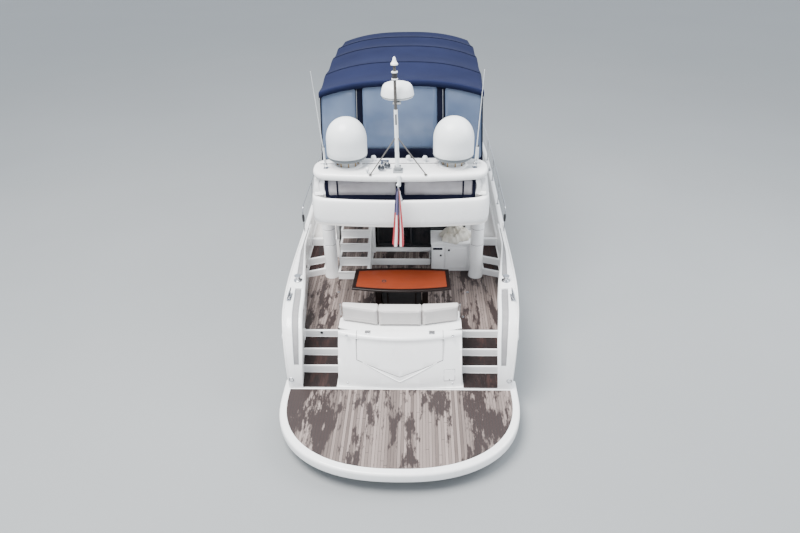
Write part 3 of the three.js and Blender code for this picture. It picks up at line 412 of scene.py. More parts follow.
# %% Canvas, vinyl and clear panels
def canvas_look(dark, faded, scale=1.4, contrast=1.6, pitch=1400.0):
    def build(tree, shader):
        patch = use_group(tree, "mottle", Scale=scale, Contrast=contrast)
        set_colour(tree, shader, mix(tree, patch, dark, faded))
        set_bump(tree, shader, use_group(tree, "weave", Pitch=pitch), 0.25, 0.0006)
    return build


top_look = canvas_look((0.0065, 0.009, 0.030), (0.0105, 0.0145, 0.044))
canvas = new_material("canvas", (0.016, 0.027, 0.10), 0.9, top_look, Specular_IOR_Level=0.1)
# A copy of the navy canvas about three times darker: painted shade on the frames, zips and seams that it
# covers. The bar's dark blue pull takes it for its own colour.
dark_and_shaded_look = canvas_look((0.0022, 0.003, 0.010), (0.0035, 0.0045, 0.015))
dark_and_shaded_canvas = new_material("dark_and_shaded_canvas", (0.01, 0.014, 0.05), 0.9, dark_and_shaded_look, Specular_IOR_Level=0.1)


def vinyl_look(tree, shader):
    patch = use_group(tree, "mottle", Scale=2.5, Contrast=1.4)
    set_colour(tree, shader, mix(tree, patch, (0.46, 0.435, 0.42), (0.56, 0.535, 0.52)))
    set_roughness(tree, shader, patch, 0.45, 0.62)
    set_bump(tree, shader, small_cells(tree, 260.0), 0.25, 0.001)


seat_vinyl = new_material("seat_vinyl", (0.66, 0.64, 0.61), 0.5, vinyl_look)


def cloudy_look(dark, light, cloud_scale, wave_scale, strength):
    """See-through vinyl: slow clouds of colour, and waves that bend what shines in it."""
    def build(tree, shader):
        patch = noise(tree, mapped(tree, cloud_scale), 1.0)
        set_colour(tree, shader, mix(tree, ramp(tree, patch, 0.35, 0.65), dark, light))
        set_bump(tree, shader, noise(tree, mapped(tree, wave_scale), 1.0, 2.0), strength, 0.02)
    return build


blue_clouds = cloudy_look((0.085, 0.120, 0.20), (0.150, 0.200, 0.30), (0.8, 0.8, 0.8), (3.0, 3.0, 1.2), 0.35)
clear_vinyl = new_material("clear_vinyl", (0.34, 0.43, 0.56), 0.16, blue_clouds, Alpha=0.78)
pink_clouds = cloudy_look((0.30, 0.275, 0.29), (0.44, 0.42, 0.44), (1.4, 1.4, 2.2), (5.0, 5.0, 1.0), 0.4)
curtain_vinyl = new_material("curtain_vinyl", (0.55, 0.52, 0.54), 0.2, pink_clouds, Alpha=0.8)

# %% [markdown]
# Metals, glass and plastics. Polished steel tube is never perfectly clean, so its roughness wanders;
# bronze below water is dull; the tinted panes are nearly black and mirror the sky.

# %% Metals, glass and plastics
def worn_metal(low, high, scale):
    def build(tree, shader):
        set_roughness(tree, shader, use_group(tree, "mottle", Scale=scale, Contrast=2.0), low, high)
        set_bump(tree, shader, use_group(tree, "grain", Scale=180.0), 0.04, 0.0005)
    return build


def speckled(name, plain, roughness, light, dark, scale, rough, **settings):
    """A finish between two colours and two roughnesses; plain and roughness are its averages."""
    def build(tree, shader):
        patch = use_group(tree, "mottle", Scale=scale, Contrast=1.8)
        set_colour(tree, shader, mix(tree, patch, dark, light))
        set_roughness(tree, shader, patch, *rough)
        set_bump(tree, shader, use_group(tree, "grain", Scale=240.0), 0.08, 0.0006)
    return new_material(name, plain, roughness, build, **settings)


steel = new_material("steel", (0.46, 0.47, 0.49), 0.2, worn_metal(0.12, 0.3, 8.0), Metallic=1.0)
worn_steel = new_material("worn_steel", (0.42, 0.43, 0.44), 0.45, worn_metal(0.35, 0.6, 14.0), Metallic=0.9)
bronze = speckled(
    "bronze", (0.40, 0.27, 0.13), 0.4, (0.44, 0.30, 0.15), (0.28, 0.20, 0.11), 9.0, (0.3, 0.55), Metallic=1.0)
dark_glass = speckled(
    "dark_glass", (0.008, 0.010, 0.012), 0.05, (0.010, 0.013, 0.016), (0.005, 0.006, 0.008), 1.5,
    (0.03, 0.09), Coat_Weight=0.4)
white_plastic = speckled(
    "white_plastic", (0.76, 0.78, 0.79), 0.35, (0.78, 0.80, 0.81), (0.72, 0.74, 0.75), 2.0, (0.28, 0.42))
grey_plastic = speckled(
    "grey_plastic", (0.40, 0.41, 0.42), 0.5, (0.25, 0.26, 0.27), (0.18, 0.19, 0.20), 6.0, (0.4, 0.6))
grey_blue = speckled(
    "grey_blue", (0.30, 0.34, 0.37), 0.5, (0.10, 0.118, 0.130), (0.08, 0.095, 0.108), 3.0, (0.45, 0.6))
black_rubber = speckled(
    "black_rubber", (0.018, 0.018, 0.02), 0.6, (0.024, 0.024, 0.026), (0.012, 0.012, 0.014), 12.0,
    (0.5, 0.72))
dull_metal = speckled(
    "dull_metal", (0.10, 0.095, 0.09), 0.45, (0.085, 0.078, 0.072), (0.055, 0.05, 0.045), 6.0, (0.35, 0.55))
engine_paint = speckled(
    "engine_paint", (0.42, 0.44, 0.45), 0.45, (0.46, 0.48, 0.49), (0.34, 0.36, 0.37), 5.0, (0.35, 0.6))
trim_grey = speckled(
    "trim_grey", (0.42, 0.41, 0.40), 0.6, (0.27, 0.262, 0.265), (0.20, 0.194, 0.197), 7.0, (0.5, 0.75))
floor_paint = speckled(
    "floor_paint", (0.66, 0.67, 0.68), 0.75, (0.25, 0.26, 0.265), (0.225, 0.235, 0.24), 0.15, (0.7, 0.8))
cream_look = canvas_look((0.30, 0.26, 0.18), (0.84, 0.81, 0.74), 5.0, 1.8, 1500.0)
cream_canvas = new_material("cream_canvas", (0.58, 0.55, 0.48), 0.9, cream_look, Sheen_Weight=0.2)
print("materials:", len(bpy.data.materials))

# %% [markdown]
# Every piece starts as a bmesh, Blender's editable mesh in memory. The helpers below wrap its operators
# in the shapes that a boat needs: a box with softened edges, a round bar, a bent tube, a turned body, a
# slab cut from an outline, and a skin drawn through sections by extruding one after another. Points
# are plain tuples in metres.

# %% Shape helpers
def new_loop(bm, points, closed=True):
    """Vertices and edges through the points: an outline or a section to build on."""
    verts = [bm.verts.new(point) for point in points]
    pairs = list(zip(verts, verts[1:]))
    if closed:
        pairs.append((verts[-1], verts[0]))
    return verts, [bm.edges.new(pair) for pair in pairs]


def everything(bm):
    return list(bm.verts) + list(bm.edges) + list(bm.faces)


def bevel(bm, edges, width, segments=2):
    bmesh.ops.bevel(
        bm, geom=edges, offset=width, offset_type="OFFSET", segments=segments, profile=0.5,
        affect="EDGES", clamp_overlap=True, material=-1,
    )


def box(bm, low, high, edge=0.0, segments=2):
    verts = bmesh.ops.create_cube(bm, size=1.0)["verts"]
    bmesh.ops.scale(bm, vec=[b - a for a, b in zip(low, high)], verts=verts)
    bmesh.ops.translate(bm, vec=[(a + b) / 2 for a, b in zip(low, high)], verts=verts)
    if edge:
        bevel(bm, list({e for v in verts for e in v.link_edges}), edge, segments)


def rod(bm, start, end, radius, end_radius=None, segments=16, edge=0.0):
    """A round bar or cone between two points; edge softens the rims of its ends."""
    line = Vector(end) - Vector(start)
    turn = line.to_track_quat("Z", "Y").to_matrix().to_4x4()
    place = Matrix.Translation((Vector(start) + Vector(end)) / 2) @ turn
    top = radius if end_radius is None else end_radius
    made = bmesh.ops.create_cone(
        bm, cap_ends=True, segments=segments, radius1=radius, radius2=top, depth=line.length, matrix=place,
    )["verts"]
    if edge:
        caps = {f for v in made for f in v.link_faces if len(f.verts) > 4}
        bevel(bm, list({e for f in caps for e in f.edges}), edge, 2)


def ball(bm, centre, radius, scale=(1, 1, 1), segments=16, rings=10):
    place = Matrix.Translation(centre) @ Matrix.Diagonal((*scale, 1))
    bmesh.ops.create_uvsphere(bm, u_segments=segments, v_segments=rings, radius=radius, matrix=place)


def skin(bm, sections, closed=False):
    """A surface through sections of equal numbers of points, each extruded from the one before."""
    verts, edges = new_loop(bm, sections[0], closed)
    ends = [verts]
    for section in sections[1:]:
        place = {v: i for i, v in enumerate(verts)}
        made = bmesh.ops.extrude_edge_only(bm, edges=edges)["geom"]
        fresh = [None] * len(verts)
        for item in made:
            if isinstance(item, bmesh.types.BMVert):
                before = next(e.other_vert(item) for e in item.link_edges if e.other_vert(item) in place)
                fresh[place[before]] = item
        for vert, point in zip(fresh, section):
            vert.co = point
        verts = fresh
        pairs = list(zip(verts, verts[1:])) + ([(verts[-1], verts[0])] if closed else [])
        edges = [bm.edges.get(pair) for pair in pairs]
        ends.append(verts)
    return ends


def solid_skin(bm, sections, closed=True):
    """A skin with a face over its first and its last section."""
    ends = skin(bm, sections, closed)
    bm.faces.new(ends[0])
    bm.faces.new(ends[-1])


def bridge(bm, first, last):
    """Joins two rings of vertices with faces."""
    edges = [bm.edges.get(pair) for ring in (first, last) for pair in zip(ring, ring[1:] + ring[:1])]
    bmesh.ops.bridge_loops(bm, edges=edges)


def tube(bm, points, radius, segments=10, closed=False, radii=None):
    """A round section carried along the points, turned half-way at each bend."""
    path = [Vector(p) for p in points]
    count = len(path)
    normal = None
    rings = []
    for i, point in enumerate(path):
        before = path[i - 1] if i or closed else point
        after = path[(i + 1) % count] if i + 1 < count or closed else point
        line = ((after - point).normalized() + (point - before).normalized()).normalized()
        if normal is None:
            normal = line.orthogonal().normalized()
        normal = (normal - line * normal.dot(line)).normalized()
        side = line.cross(normal)
        size = radii[i] if radii else radius
        angles = [2 * math.pi * k / segments for k in range(segments)]
        rings.append([point + (normal * math.cos(a) + side * math.sin(a)) * size for a in angles])
    if closed:
        ends = skin(bm, rings, closed=True)
        bridge(bm, ends[0], ends[-1])
    else:
        solid_skin(bm, rings)


def turned(bm, profile, x=0.0, y=0.0, segments=48):
    """A body of revolution about an upright line; the profile is (radius, z) from the bottom up."""
    verts, edges = new_loop(bm, [(x + radius, y, z) for radius, z in profile], closed=False)
    bmesh.ops.spin(
        bm, geom=verts + edges, cent=(x, y, 0), axis=(0, 0, 1), angle=2 * math.pi,
        steps=segments, use_merge=True, use_duplicate=False,
    )
    bmesh.ops.remove_doubles(bm, verts=list(bm.verts), dist=1e-5)


def pushed(bm, points, shift):
    """A face through the points pushed along shift, and what the push made."""
    verts, _ = new_loop(bm, points)
    made = bmesh.ops.extrude_face_region(bm, geom=[bm.faces.new(verts)])["geom"]
    bmesh.ops.translate(bm, vec=shift, verts=[v for v in made if isinstance(v, bmesh.types.BMVert)])
    return made


def slab(bm, outline, low, high, edge=0.0, segments=3):
    """An outline in plan, (x, y), raised from low to high, its upper rim rounded by edge."""
    made = pushed(bm, [(x, y, low) for x, y in outline], (0, 0, high - low))
    if edge:
        bevel(bm, [item for item in made if isinstance(item, bmesh.types.BMEdge)], edge, segments)


def across_slab(bm, outline, x0, x1):
    """An outline in side view, (y, z), pushed across the boat."""
    pushed(bm, [(x0, y, z) for y, z in outline], (x1 - x0, 0, 0))


def arc(centre, radius, start, end, steps):
    """Points on an arc in a plane, angles in degrees."""
    angles = [math.radians(start + (end - start) * k / steps) for k in range(steps + 1)]
    return [(centre[0] + radius * math.cos(a), centre[1] + radius * math.sin(a)) for a in angles]


def spread(start, end, count):
    """Even values from start to end, count steps between them."""
    return [start + (end - start) * k / count for k in range(count + 1)]


def at_station(rows, y):
    """The other columns of a table whose rows begin with y, by straight lines between the rows."""
    low, high = next((pair for pair in zip(rows, rows[1:]) if y <= pair[1][0]), rows[-2:])
    share = min(max((y - low[0]) / (high[0] - low[0]), 0), 1)
    return [a + (b - a) * share for a, b in zip(low[1:], high[1:])]


def smooth_line(points, steps):
    """A Catmull-Rom curve through the points, with steps spans between two of them."""
    path = [Vector(p) for p in points]
    ends = [path[0] * 2 - path[1]] + path + [path[-1] * 2 - path[-2]]
    curve = []
    for a, b, c, d in zip(ends, ends[1:], ends[2:], ends[3:]):
        for t in spread(0, 1, steps)[:-1]:
            curve.append(0.5 * (2 * b + (c - a) * t + (2 * a - 5 * b + 4 * c - d) * t * t
                                + (3 * b - a - 3 * c + d) * t ** 3))
    return curve + [path[-1]]


def flipped(points):
    """The same points on the other side of the centreline."""
    return [(-p[0], *p[1:]) for p in points]


def mirror_copy(bm):
    """Adds the port half of what stands to starboard so far."""
    bmesh.ops.mirror(bm, geom=everything(bm), axis="X", merge_dist=1e-4, mirror_u=False)


def flat_area(bm):
    return sum(face.calc_area() for face in bm.faces)


# %% [markdown]
# A finished bmesh becomes an object at the origin. This helper also does what every piece needs:
# outward normals, smooth shading with sharp edges above an angle, its material, the body it rides on,
# and the solids of the frame that it stands for.


def thicken(obj, thickness, offset=-1):
    body = obj.modifiers.new("body", "SOLIDIFY")
    body.thickness = thickness
    body.offset = offset


def round_edges(obj, width, segments=2, angle=40):
    rounding = obj.modifiers.new("rounding", "BEVEL")
    rounding.width = width
    rounding.segments = segments
    rounding.limit_method = "ANGLE"
    rounding.angle_limit = math.radians(angle)


def piece(name, bm, material, body="yacht", stands_for=(), angle=32, normals=True, bevel_width=0.0):
    if normals:
        bmesh.ops.remove_doubles(bm, verts=list(bm.verts), dist=2e-5)
        bmesh.ops.recalc_face_normals(bm, faces=list(bm.faces))
    mesh = bpy.data.meshes.new(name)
    bm.to_mesh(mesh)
    bm.free()
    mesh.shade_smooth()
    mesh.set_sharp_from_angle(angle=math.radians(angle))
    mesh.materials.append(material)
    obj = bpy.data.objects.new(name, mesh)
    bpy.context.scene.collection.objects.link(obj)
    if bevel_width:
        round_edges(obj, bevel_width)
    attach(obj, body)
    if stands_for:
        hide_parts(*stands_for)
    return obj


def dress(names, material):
    """Gives solids of the frame that are right already their finish."""
    for name in names:
        obj = frame["nodes"][name]
        obj.data.materials.clear()
        obj.data.materials.append(material)


def both_sides(make):
    """Calls make for starboard and port with the side's name and sign."""
    for side, sign in (("starboard", 1), ("port", -1)):
        make(side, sign)


print("helpers ready")

# %% [markdown]
# The hull moulding is one continuous glass-fibre shell from the keel to the sheer. Naval architects draw
# it as stations: at each distance along the boat they give the keel, the chine (the corner between
# bottom and topside) and the sheer (the top edge). The same few stations as in the frame are joined
# here by smooth cubic curves, so that the shell has no flat facets. At the stern the top edge falls
# to the platform in a quarter ellipse.

# %% Hull lines
STATIONS = [
    # y, keel z, chine x, chine z, bulge of the topside, sheer x, sheer z
    (-5.85, -0.64, 2.04, -0.11, 0.02, 2.215, 1.75),
    (-4.10, -0.76, 2.16, -0.09, 0.04, 2.392, 1.75),
    (-1.50, -0.88, 2.18, -0.05, 0.02, 2.405, 1.83),
    (1.50, -0.95, 2.12, 0.02, 0.00, 2.405, 1.93),
    (3.60, -0.93, 1.93, 0.13, -0.04, 2.350, 2.01),
    (5.30, -0.86, 1.60, 0.31, -0.09, 2.140, 2.08),
    (6.70, -0.64, 1.18, 0.54, -0.12, 1.790, 2.14),
    (7.90, -0.15, 0.74, 0.83, -0.12, 1.290, 2.195),
    (8.80, 0.64, 0.38, 1.18, -0.08, 0.780, 2.245),
    (9.35, 1.40, 0.15, 1.60, -0.03, 0.380, 2.29),
    (9.65, 2.02, 0.03, 2.08, 0.00, 0.090, 2.32),
]
KEEL, CHINE_X, CHINE_Z, BULGE, SHEER_X, SHEER_Z = range(1, 7)
TRANSOM_Y = STATIONS[0][0]
BOW_Y = STATIONS[-1][0]
CHINE_FLAT = (0.05, 0.015)
STERN_FALL = {"y": -5.0, "length": 0.85, "low": 0.46}
DECK_LINE = [(-1.6, 1.45), (1.5, 1.6), (4.0, 1.78), (9.7, 2.15)]
BULKHEAD_Y = -1.6


def hull_at(y, column):
    """A station column at any y, by a cubic through the stations on either side."""
    last = len(STATIONS) - 2
    i = next((k for k in range(last) if STATIONS[k + 1][0] >= y), last)
    slopes = []
    for k in (i, i + 1):
        a, b = STATIONS[max(k - 1, 0)], STATIONS[min(k + 1, last + 1)]
        slopes.append((b[column] - a[column]) / (b[0] - a[0]))
    low, high = STATIONS[i], STATIONS[i + 1]
    span = high[0] - low[0]
    t = (y - low[0]) / span
    cube, square = t ** 3, t ** 2
    return ((2 * cube - 3 * square + 1) * low[column] + (cube - 2 * square + t) * span * slopes[0]
            + (3 * square - 2 * cube) * high[column] + (cube - square) * span * slopes[1])


def topside_x(y, z):
    """Half breadth of the topside at a height above the chine."""
    foot = hull_at(y, CHINE_Z) + CHINE_FLAT[1]
    t = (z - foot) / (hull_at(y, SHEER_Z) - foot)
    low, high = hull_at(y, CHINE_X) + CHINE_FLAT[0], hull_at(y, SHEER_X)
    return low + (high - low) * t + 4 * hull_at(y, BULGE) * t * (1 - t)


def rim_z(y):
    """Top of the hull side: the sheer, or the fall of the coaming at the stern."""
    fall = STERN_FALL
    share = min(max((fall["y"] - y) / fall["length"], 0), 1)
    return fall["low"] + (hull_at(y, SHEER_Z) - fall["low"]) * math.sqrt(1 - share * share)


def deck_z(y):
    return at_station(DECK_LINE, y)[0]


def stern_rows(step):
    """Distances along the falling rim, close together where it is steep."""
    return [TRANSOM_Y + STERN_FALL["length"] * (1 - math.cos(math.radians(a))) for a in range(0, 91, step)]


print("beam at the sheer:", round(2 * hull_at(0, SHEER_X), 3), "m")

# %% [markdown]
# The shell is skinned through about eighty sections. Each one runs from the starboard rim down the
# topside, over the chine to the keel and up again to port. The sections stand closer together at the
# stern, where the rim falls. Solidify then gives the wall its thickness inwards.

# %% Hull shell
def hull_section(y):
    rim = rim_z(y)
    foot = hull_at(y, CHINE_Z) + CHINE_FLAT[1]
    side = [(topside_x(y, z), y, z) for z in spread(rim, max(foot, 0) if rim > foot else rim, 9)]
    chine_x, chine_z, keel = hull_at(y, CHINE_X), hull_at(y, CHINE_Z), hull_at(y, KEEL)
    bottom = [(topside_x(y, foot), y, foot), (chine_x, y, chine_z)]
    for share in (0.75, 0.5, 0.25):
        bottom.append((chine_x * share, y, keel + (chine_z - keel) * share ** 1.12))
    half = [(max(x, 0.004), y, z) for x, y, z in side + bottom]
    return half + [(0, y, keel)] + [(-x, y, z) for x, y, z in reversed(half)]


def make_hull_shell():
    ys = stern_rows(6) + spread(STERN_FALL["y"], BOW_Y, 74)[1:]
    bm = bmesh.new()
    solid_skin(bm, [hull_section(y) for y in ys], closed=False)
    obj = piece("hull_shell", bm, hull_paint, stands_for=["hull"], angle=24)
    thicken(obj, 0.035)
    print("hull shell:", len(obj.data.vertices), "vertices")


make_hull_shell()

# %% [markdown]
# Along the sides of the cockpit the hull carries a broad coaming: white and rounded outside, with a
# sunken grey strip along its top and a narrow white lip inside. Its section is drawn once as offsets
# from the rim and repeated along the boat; at the stern it bends down with the rim to the platform.

# %% Cockpit coamings
COAMING_INNER = [
    # y, inner face at the sole, how far the lip on top leans in over it
    (-5.85, 1.895, 0.060),
    (-4.60, 2.015, 0.075),
    (-4.00, 2.075, 0.060),
    (-2.66, 2.235, 0.015),
    (-2.42, 2.262, 0.010),
    (-1.50, 2.262, 0.010),
]
STRIP = {"outer": 0.235, "inner": 0.36, "deep": 0.016}
COAMING_FRONT_Y = -1.52
COAMING_FOOT = 0.44


def coaming_at(y):
    """Rim height, outer face, inner face, its lip, and the share of its full height at y."""
    rim = rim_z(y)
    outer = topside_x(y, max(rim - 0.02, 0.3))
    inner, overhang = at_station(COAMING_INNER, y)
    rise = min(max((rim - 0.5) / 0.9, 0), 1)
    return rim, outer, inner, inner - overhang * rise, rise


def strip_edges(outer, lip):
    """Outer and inner edge of the grey strip between the hull side and the inner lip."""
    width = outer - lip
    return outer - min(STRIP["outer"], width * 0.5), outer - min(STRIP["inner"], width * 0.8)


def coaming_section(y):
    rim, outer, inner, lip, rise = coaming_at(y)
    strip_out, strip_in = strip_edges(outer, lip)
    proud, deep = 0.012 * rise, STRIP["deep"] * rise
    across = [
        (outer + 0.004, rim - 0.16), (outer + 0.006, rim - 0.10), (outer - 0.002, rim - 0.055),
        (outer - 0.022, rim - 0.02), (outer - 0.055, rim + 0.002), (outer - 0.10, rim + proud),
        (strip_out + 0.03, rim + proud), (strip_out + 0.008, rim + proud * 0.6), (strip_out, rim - deep),
        (strip_in, rim - deep), (strip_in - 0.008, rim + proud * 0.6), (strip_in - 0.02, rim + proud * 0.8),
        (lip + 0.03, rim + proud * 0.6), (lip + 0.008, rim - 0.012), (lip, rim - 0.04),
        (lip + 0.006, rim - 0.07), (lip + (inner - lip) * 0.55, rim - 0.22), (inner, rim - 0.55),
        (inner, COAMING_FOOT),
    ]
    return [(x, y, max(z, COAMING_FOOT)) for x, z in across]


def make_coaming(side, sign):
    ys = [max(y, TRANSOM_Y + 0.002) for y in stern_rows(5)] + spread(STERN_FALL["y"], -2.8, 22)[1:]
    ys += spread(-2.8, -2.5, 10)[1:] + spread(-2.5, COAMING_FRONT_Y, 8)[1:]
    bm = bmesh.new()
    solid_skin(bm, [[(x * sign, y, z) for x, y, z in coaming_section(y)] for y in ys], closed=False)
    piece(f"coaming_{side}", bm, gelcoat, angle=28)


both_sides(make_coaming)

# %% [markdown]
# The sunken strip on top of the coaming is a separate grey band, laid on the
# bottom of the recess, so it follows the same line with the same offsets. A dark bead runs along both
# of its edges.

# %% Grey strips
def make_strip(side, sign):
    fall = STERN_FALL
    ys = [fall["y"] - fall["length"] * math.sin(math.radians(a)) for a in range(66, -1, -6)]
    ys += spread(fall["y"], -1.7, 22)[1:]
    rows = []
    for y in ys:
        rim, outer, _, lip, rise = coaming_at(y)
        strip_out, strip_in = strip_edges(outer, lip)
        a, b = sign * (strip_out - 0.006), sign * (strip_in + 0.006)
        z = rim - STRIP["deep"] * rise
        rows.append([(a, y, z + 0.001), (a, y, z + 0.006), (b, y, z + 0.006), (b, y, z + 0.001)])
    bm = bmesh.new()
    solid_skin(bm, rows)
    piece(f"coaming_strip_{side}", bm, trim_grey)
    bm = bmesh.new()
    for corner in (1, 2):
        tube(bm, [row[corner] for row in rows], 0.006, 6)
    piece(f"strip_edges_{side}", bm, grey_plastic)


both_sides(make_strip)
print("coamings and strips made")

# %% [markdown]
# Forward of the cockpit the hull side goes on as a low bulwark: a rounded cap rail with a flat inner
# face down to the side deck. It narrows towards the stem, where the two sides meet.

# %% Bulwarks
WALL = 0.09


def bulwark_section(y):
    rim = hull_at(y, SHEER_Z)
    outer = hull_at(y, SHEER_X)
    low = deck_z(y) - 0.02
    inner_top = max(outer - WALL, 0.01)
    inner_low = max(topside_x(y, low) - WALL, 0.008)
    across = [
        (outer + 0.004, rim - 0.09), (outer + 0.012, rim - 0.05), (outer + 0.012, rim - 0.012),
        (outer + 0.002, rim + 0.008), (outer - 0.02, rim + 0.018), (inner_top + 0.02, rim + 0.018),
        (inner_top - 0.002, rim + 0.008), (inner_top - 0.012, rim - 0.012), (inner_top - 0.008, rim - 0.04),
        (inner_top, rim - 0.06), (inner_low, low),
    ]
    return [(max(x, 0.004), y, z) for x, z in across]


def make_bulwark(side, sign):
    ys = spread(COAMING_FRONT_Y, BOW_Y - 0.01, 66)
    bm = bmesh.new()
    solid_skin(bm, [[(x * sign, y, z) for x, y, z in bulwark_section(y)] for y in ys], closed=False)
    obj = piece(f"bulwark_cap_{side}", bm, gelcoat, stands_for=[f"bulwark_{side}"], angle=28)
    thicken(obj, 0.004)


both_sides(make_bulwark)

# %% [markdown]
# A rubbing strake takes the knocks and scrapes before the topsides do: a white plastic moulding with a
# half-round steel bar screwed along it. It starts at the stern quarter and runs to the stem.

# %% Rubbing strakes
STRAKE_DROP = 0.34


def strake_line(start, end, count, out, sign, reach):
    """Points along the strake. Nothing of it may pass the hull's own breadth, so it beds in there."""
    most = cad_box[1][0] - reach
    rows = []
    for y in spread(start, end, count):
        z = hull_at(y, SHEER_Z) - STRAKE_DROP * min(1, (BOW_Y + 0.5 - y) / 2.5)
        rows.append((sign * min(topside_x(y, z) + out, most), y, z))
    return rows


def make_strake(side, sign):
    bm = bmesh.new()
    line = strake_line(-5.5, 9.45, 60, 0.004, sign, 0.026)
    half = [(-0.02, 0.042), (0.014, 0.036), (0.022, 0.018)]
    offsets = [(dx, -dz) for dx, dz in half] + half[::-1]
    solid_skin(bm, [[(x + dx * sign, y, z + dz) for dx, dz in offsets] for x, y, z in line])
    piece(f"rubbing_strake_{side}", bm, white_plastic, angle=50)
    bm = bmesh.new()
    tube(bm, strake_line(-5.46, 9.42, 60, 0.024, sign, 0.011), 0.011, 8)
    piece(f"strake_bar_{side}", bm, steel)


both_sides(make_strake)

# %% [markdown]
# The bathing platform is a slab with a broad rounded stern edge. Its outline is half an ellipse that is
# squared off a little, which a superellipse formula gives. The white rim stays bare; inside it the top
# is laid with teak, let in by a few millimetres.

# %% Bathing platform
PLATFORM = {"half": 2.27, "aft": -7.95, "corner": -6.05, "top": 0.45, "thick": 0.2, "power": 2.35}
RIM_WIDTH = 0.135


def platform_outline(inset):
    """Round the stern from port to starboard, a superellipse abaft the straight sides."""
    half, depth = PLATFORM["half"] - inset, PLATFORM["corner"] - PLATFORM["aft"] - inset
    power, steps = 2 / PLATFORM["power"], 44
    points = []
    for k in range(steps + 1):
        a = math.radians(180 + 180 * k / steps)
        c, s = math.cos(a), math.sin(a)
        x = half * math.copysign(abs(c) ** power, c)
        points.append((x, PLATFORM["corner"] - depth * abs(s) ** power))
    return points


def make_platform():
    rows = [(0.03, -0.2), (0.004, -0.175), (0.0, -0.15), (0.0, -0.05), (0.006, -0.025), (0.02, -0.008),
            (0.045, 0.0)]
    front = -5.60
    bm = bmesh.new()
    rings = []
    for inset, rise in rows:
        edge = platform_outline(inset)
        ring = [(-PLATFORM["half"] + inset, front)] + edge + [(PLATFORM["half"] - inset, front)]
        rings.append([(x, y, PLATFORM["top"] + rise) for x, y in ring])
    solid_skin(bm, rings)
    piece("bathing_platform", bm, gelcoat, stands_for=["swim_platform"], angle=35)
    bm = bmesh.new()
    half, teak_front = PLATFORM["half"] - RIM_WIDTH, TRANSOM_Y - 0.03
    outline = [(-half, teak_front)] + platform_outline(RIM_WIDTH) + [(half, teak_front)]
    slab(bm, outline, PLATFORM["top"] + 0.0005, PLATFORM["top"] + 0.007, 0.002, 1)
    piece("platform_teak", bm, teak)


make_platform()

# %% [markdown]
# Under the platform two stout brackets bolt it to the transom, and a rubber fendering strip runs round
# its edge. They show from low down.

# %% Platform brackets and edge strip
def make_platform_fittings():
    bm = bmesh.new()
    top, foot = PLATFORM["top"] - PLATFORM["thick"], 0.03
    root, end = TRANSOM_Y + 0.01, TRANSOM_Y - 1.3
    for x in (-1.3, 0.0, 1.3):
        across_slab(bm, [(root, top), (end, top), (end, top - 0.03), (root, foot)], x - 0.03, x + 0.03)
    piece("platform_brackets", bm, gelcoat, bevel_width=0.008)
    bm = bmesh.new()
    z = PLATFORM["top"] - 0.1
    line = [(-PLATFORM["half"] + 0.012, TRANSOM_Y, z)]
    line += [(x, y, z) for x, y in platform_outline(0.016)]
    line += [(PLATFORM["half"] - 0.012, TRANSOM_Y, z)]
    tube(bm, line, 0.016, 8)
    piece("platform_fender", bm, trim_grey)


make_platform_fittings()

# %% [markdown]
# On either side of the transom box three white steps climb from the platform to the cockpit. Each
# flight is one moulding: its side view is drawn as an outline and pushed across the boat, and a bevel
# rounds the nosings. Teak pads are let into the treads, with a white margin all round.

# %% Stern steps
STEPS_INNER, STEPS_OUTER = 1.20, 2.03
SOLE_Z = 0.95
SOLE_AFT_Y = -4.65
TREADS = [
    # aft y, forward y, height
    (-5.85, -5.38, 0.452),
    (-5.38, -5.05, 0.625),
    (-5.05, SOLE_AFT_Y, 0.79),
]
TREAD_MARGIN = 0.035


def teak_pad(bm, x, y, z):
    """A pad of planks let into a tread: its lower face is in the moulding."""
    box(bm, (x[0], y[0], z - 0.004), (x[1], y[1], z + 0.006), 0.003, 1)


def make_stern_steps(side, sign):
    outline = [(TREADS[0][0], 0.2)]
    for aft, forward, z in TREADS:
        outline += [(aft, z), (forward, z)]
    outline += [(SOLE_AFT_Y, SOLE_Z + 0.002), (SOLE_AFT_Y + 0.09, SOLE_Z + 0.002), (SOLE_AFT_Y + 0.09, 0.2)]
    x = sorted((STEPS_INNER * sign, STEPS_OUTER * sign))
    bm = bmesh.new()
    across_slab(bm, outline, *x)
    piece(f"stern_steps_{side}", bm, gelcoat, bevel_width=0.014)
    bm = bmesh.new()
    for aft, forward, z in TREADS:
        teak_pad(bm, (x[0] + TREAD_MARGIN, x[1] - TREAD_MARGIN), (aft + 0.03, forward - 0.004), z)
    piece(f"stern_teak_{side}", bm, dark_teak)


both_sides(make_stern_steps)
print("stern steps:", len(TREADS), "a side")

# %% [markdown]
# The cockpit sole is one field of planks, with a shadow gap to the mouldings round it. The planks run
# fore and aft by the material; the piece only needs the right outline. Two hatches into the lazarette
# show as fine seams with a flush ring each.

# %% Cockpit sole
SOLE_OUTLINE = [
    # x, y of the starboard half, from the sofa forward
    (1.21, -4.38),
    (1.21, SOLE_AFT_Y + 0.04),
    (1.99, SOLE_AFT_Y + 0.04),
    (2.03, -4.4),
    (2.07, -4.0),
    (2.228, -2.66),
    (2.252, -2.43),
    (1.85, -2.43),
    (1.85, -1.63),
]
SEAM = 0.005


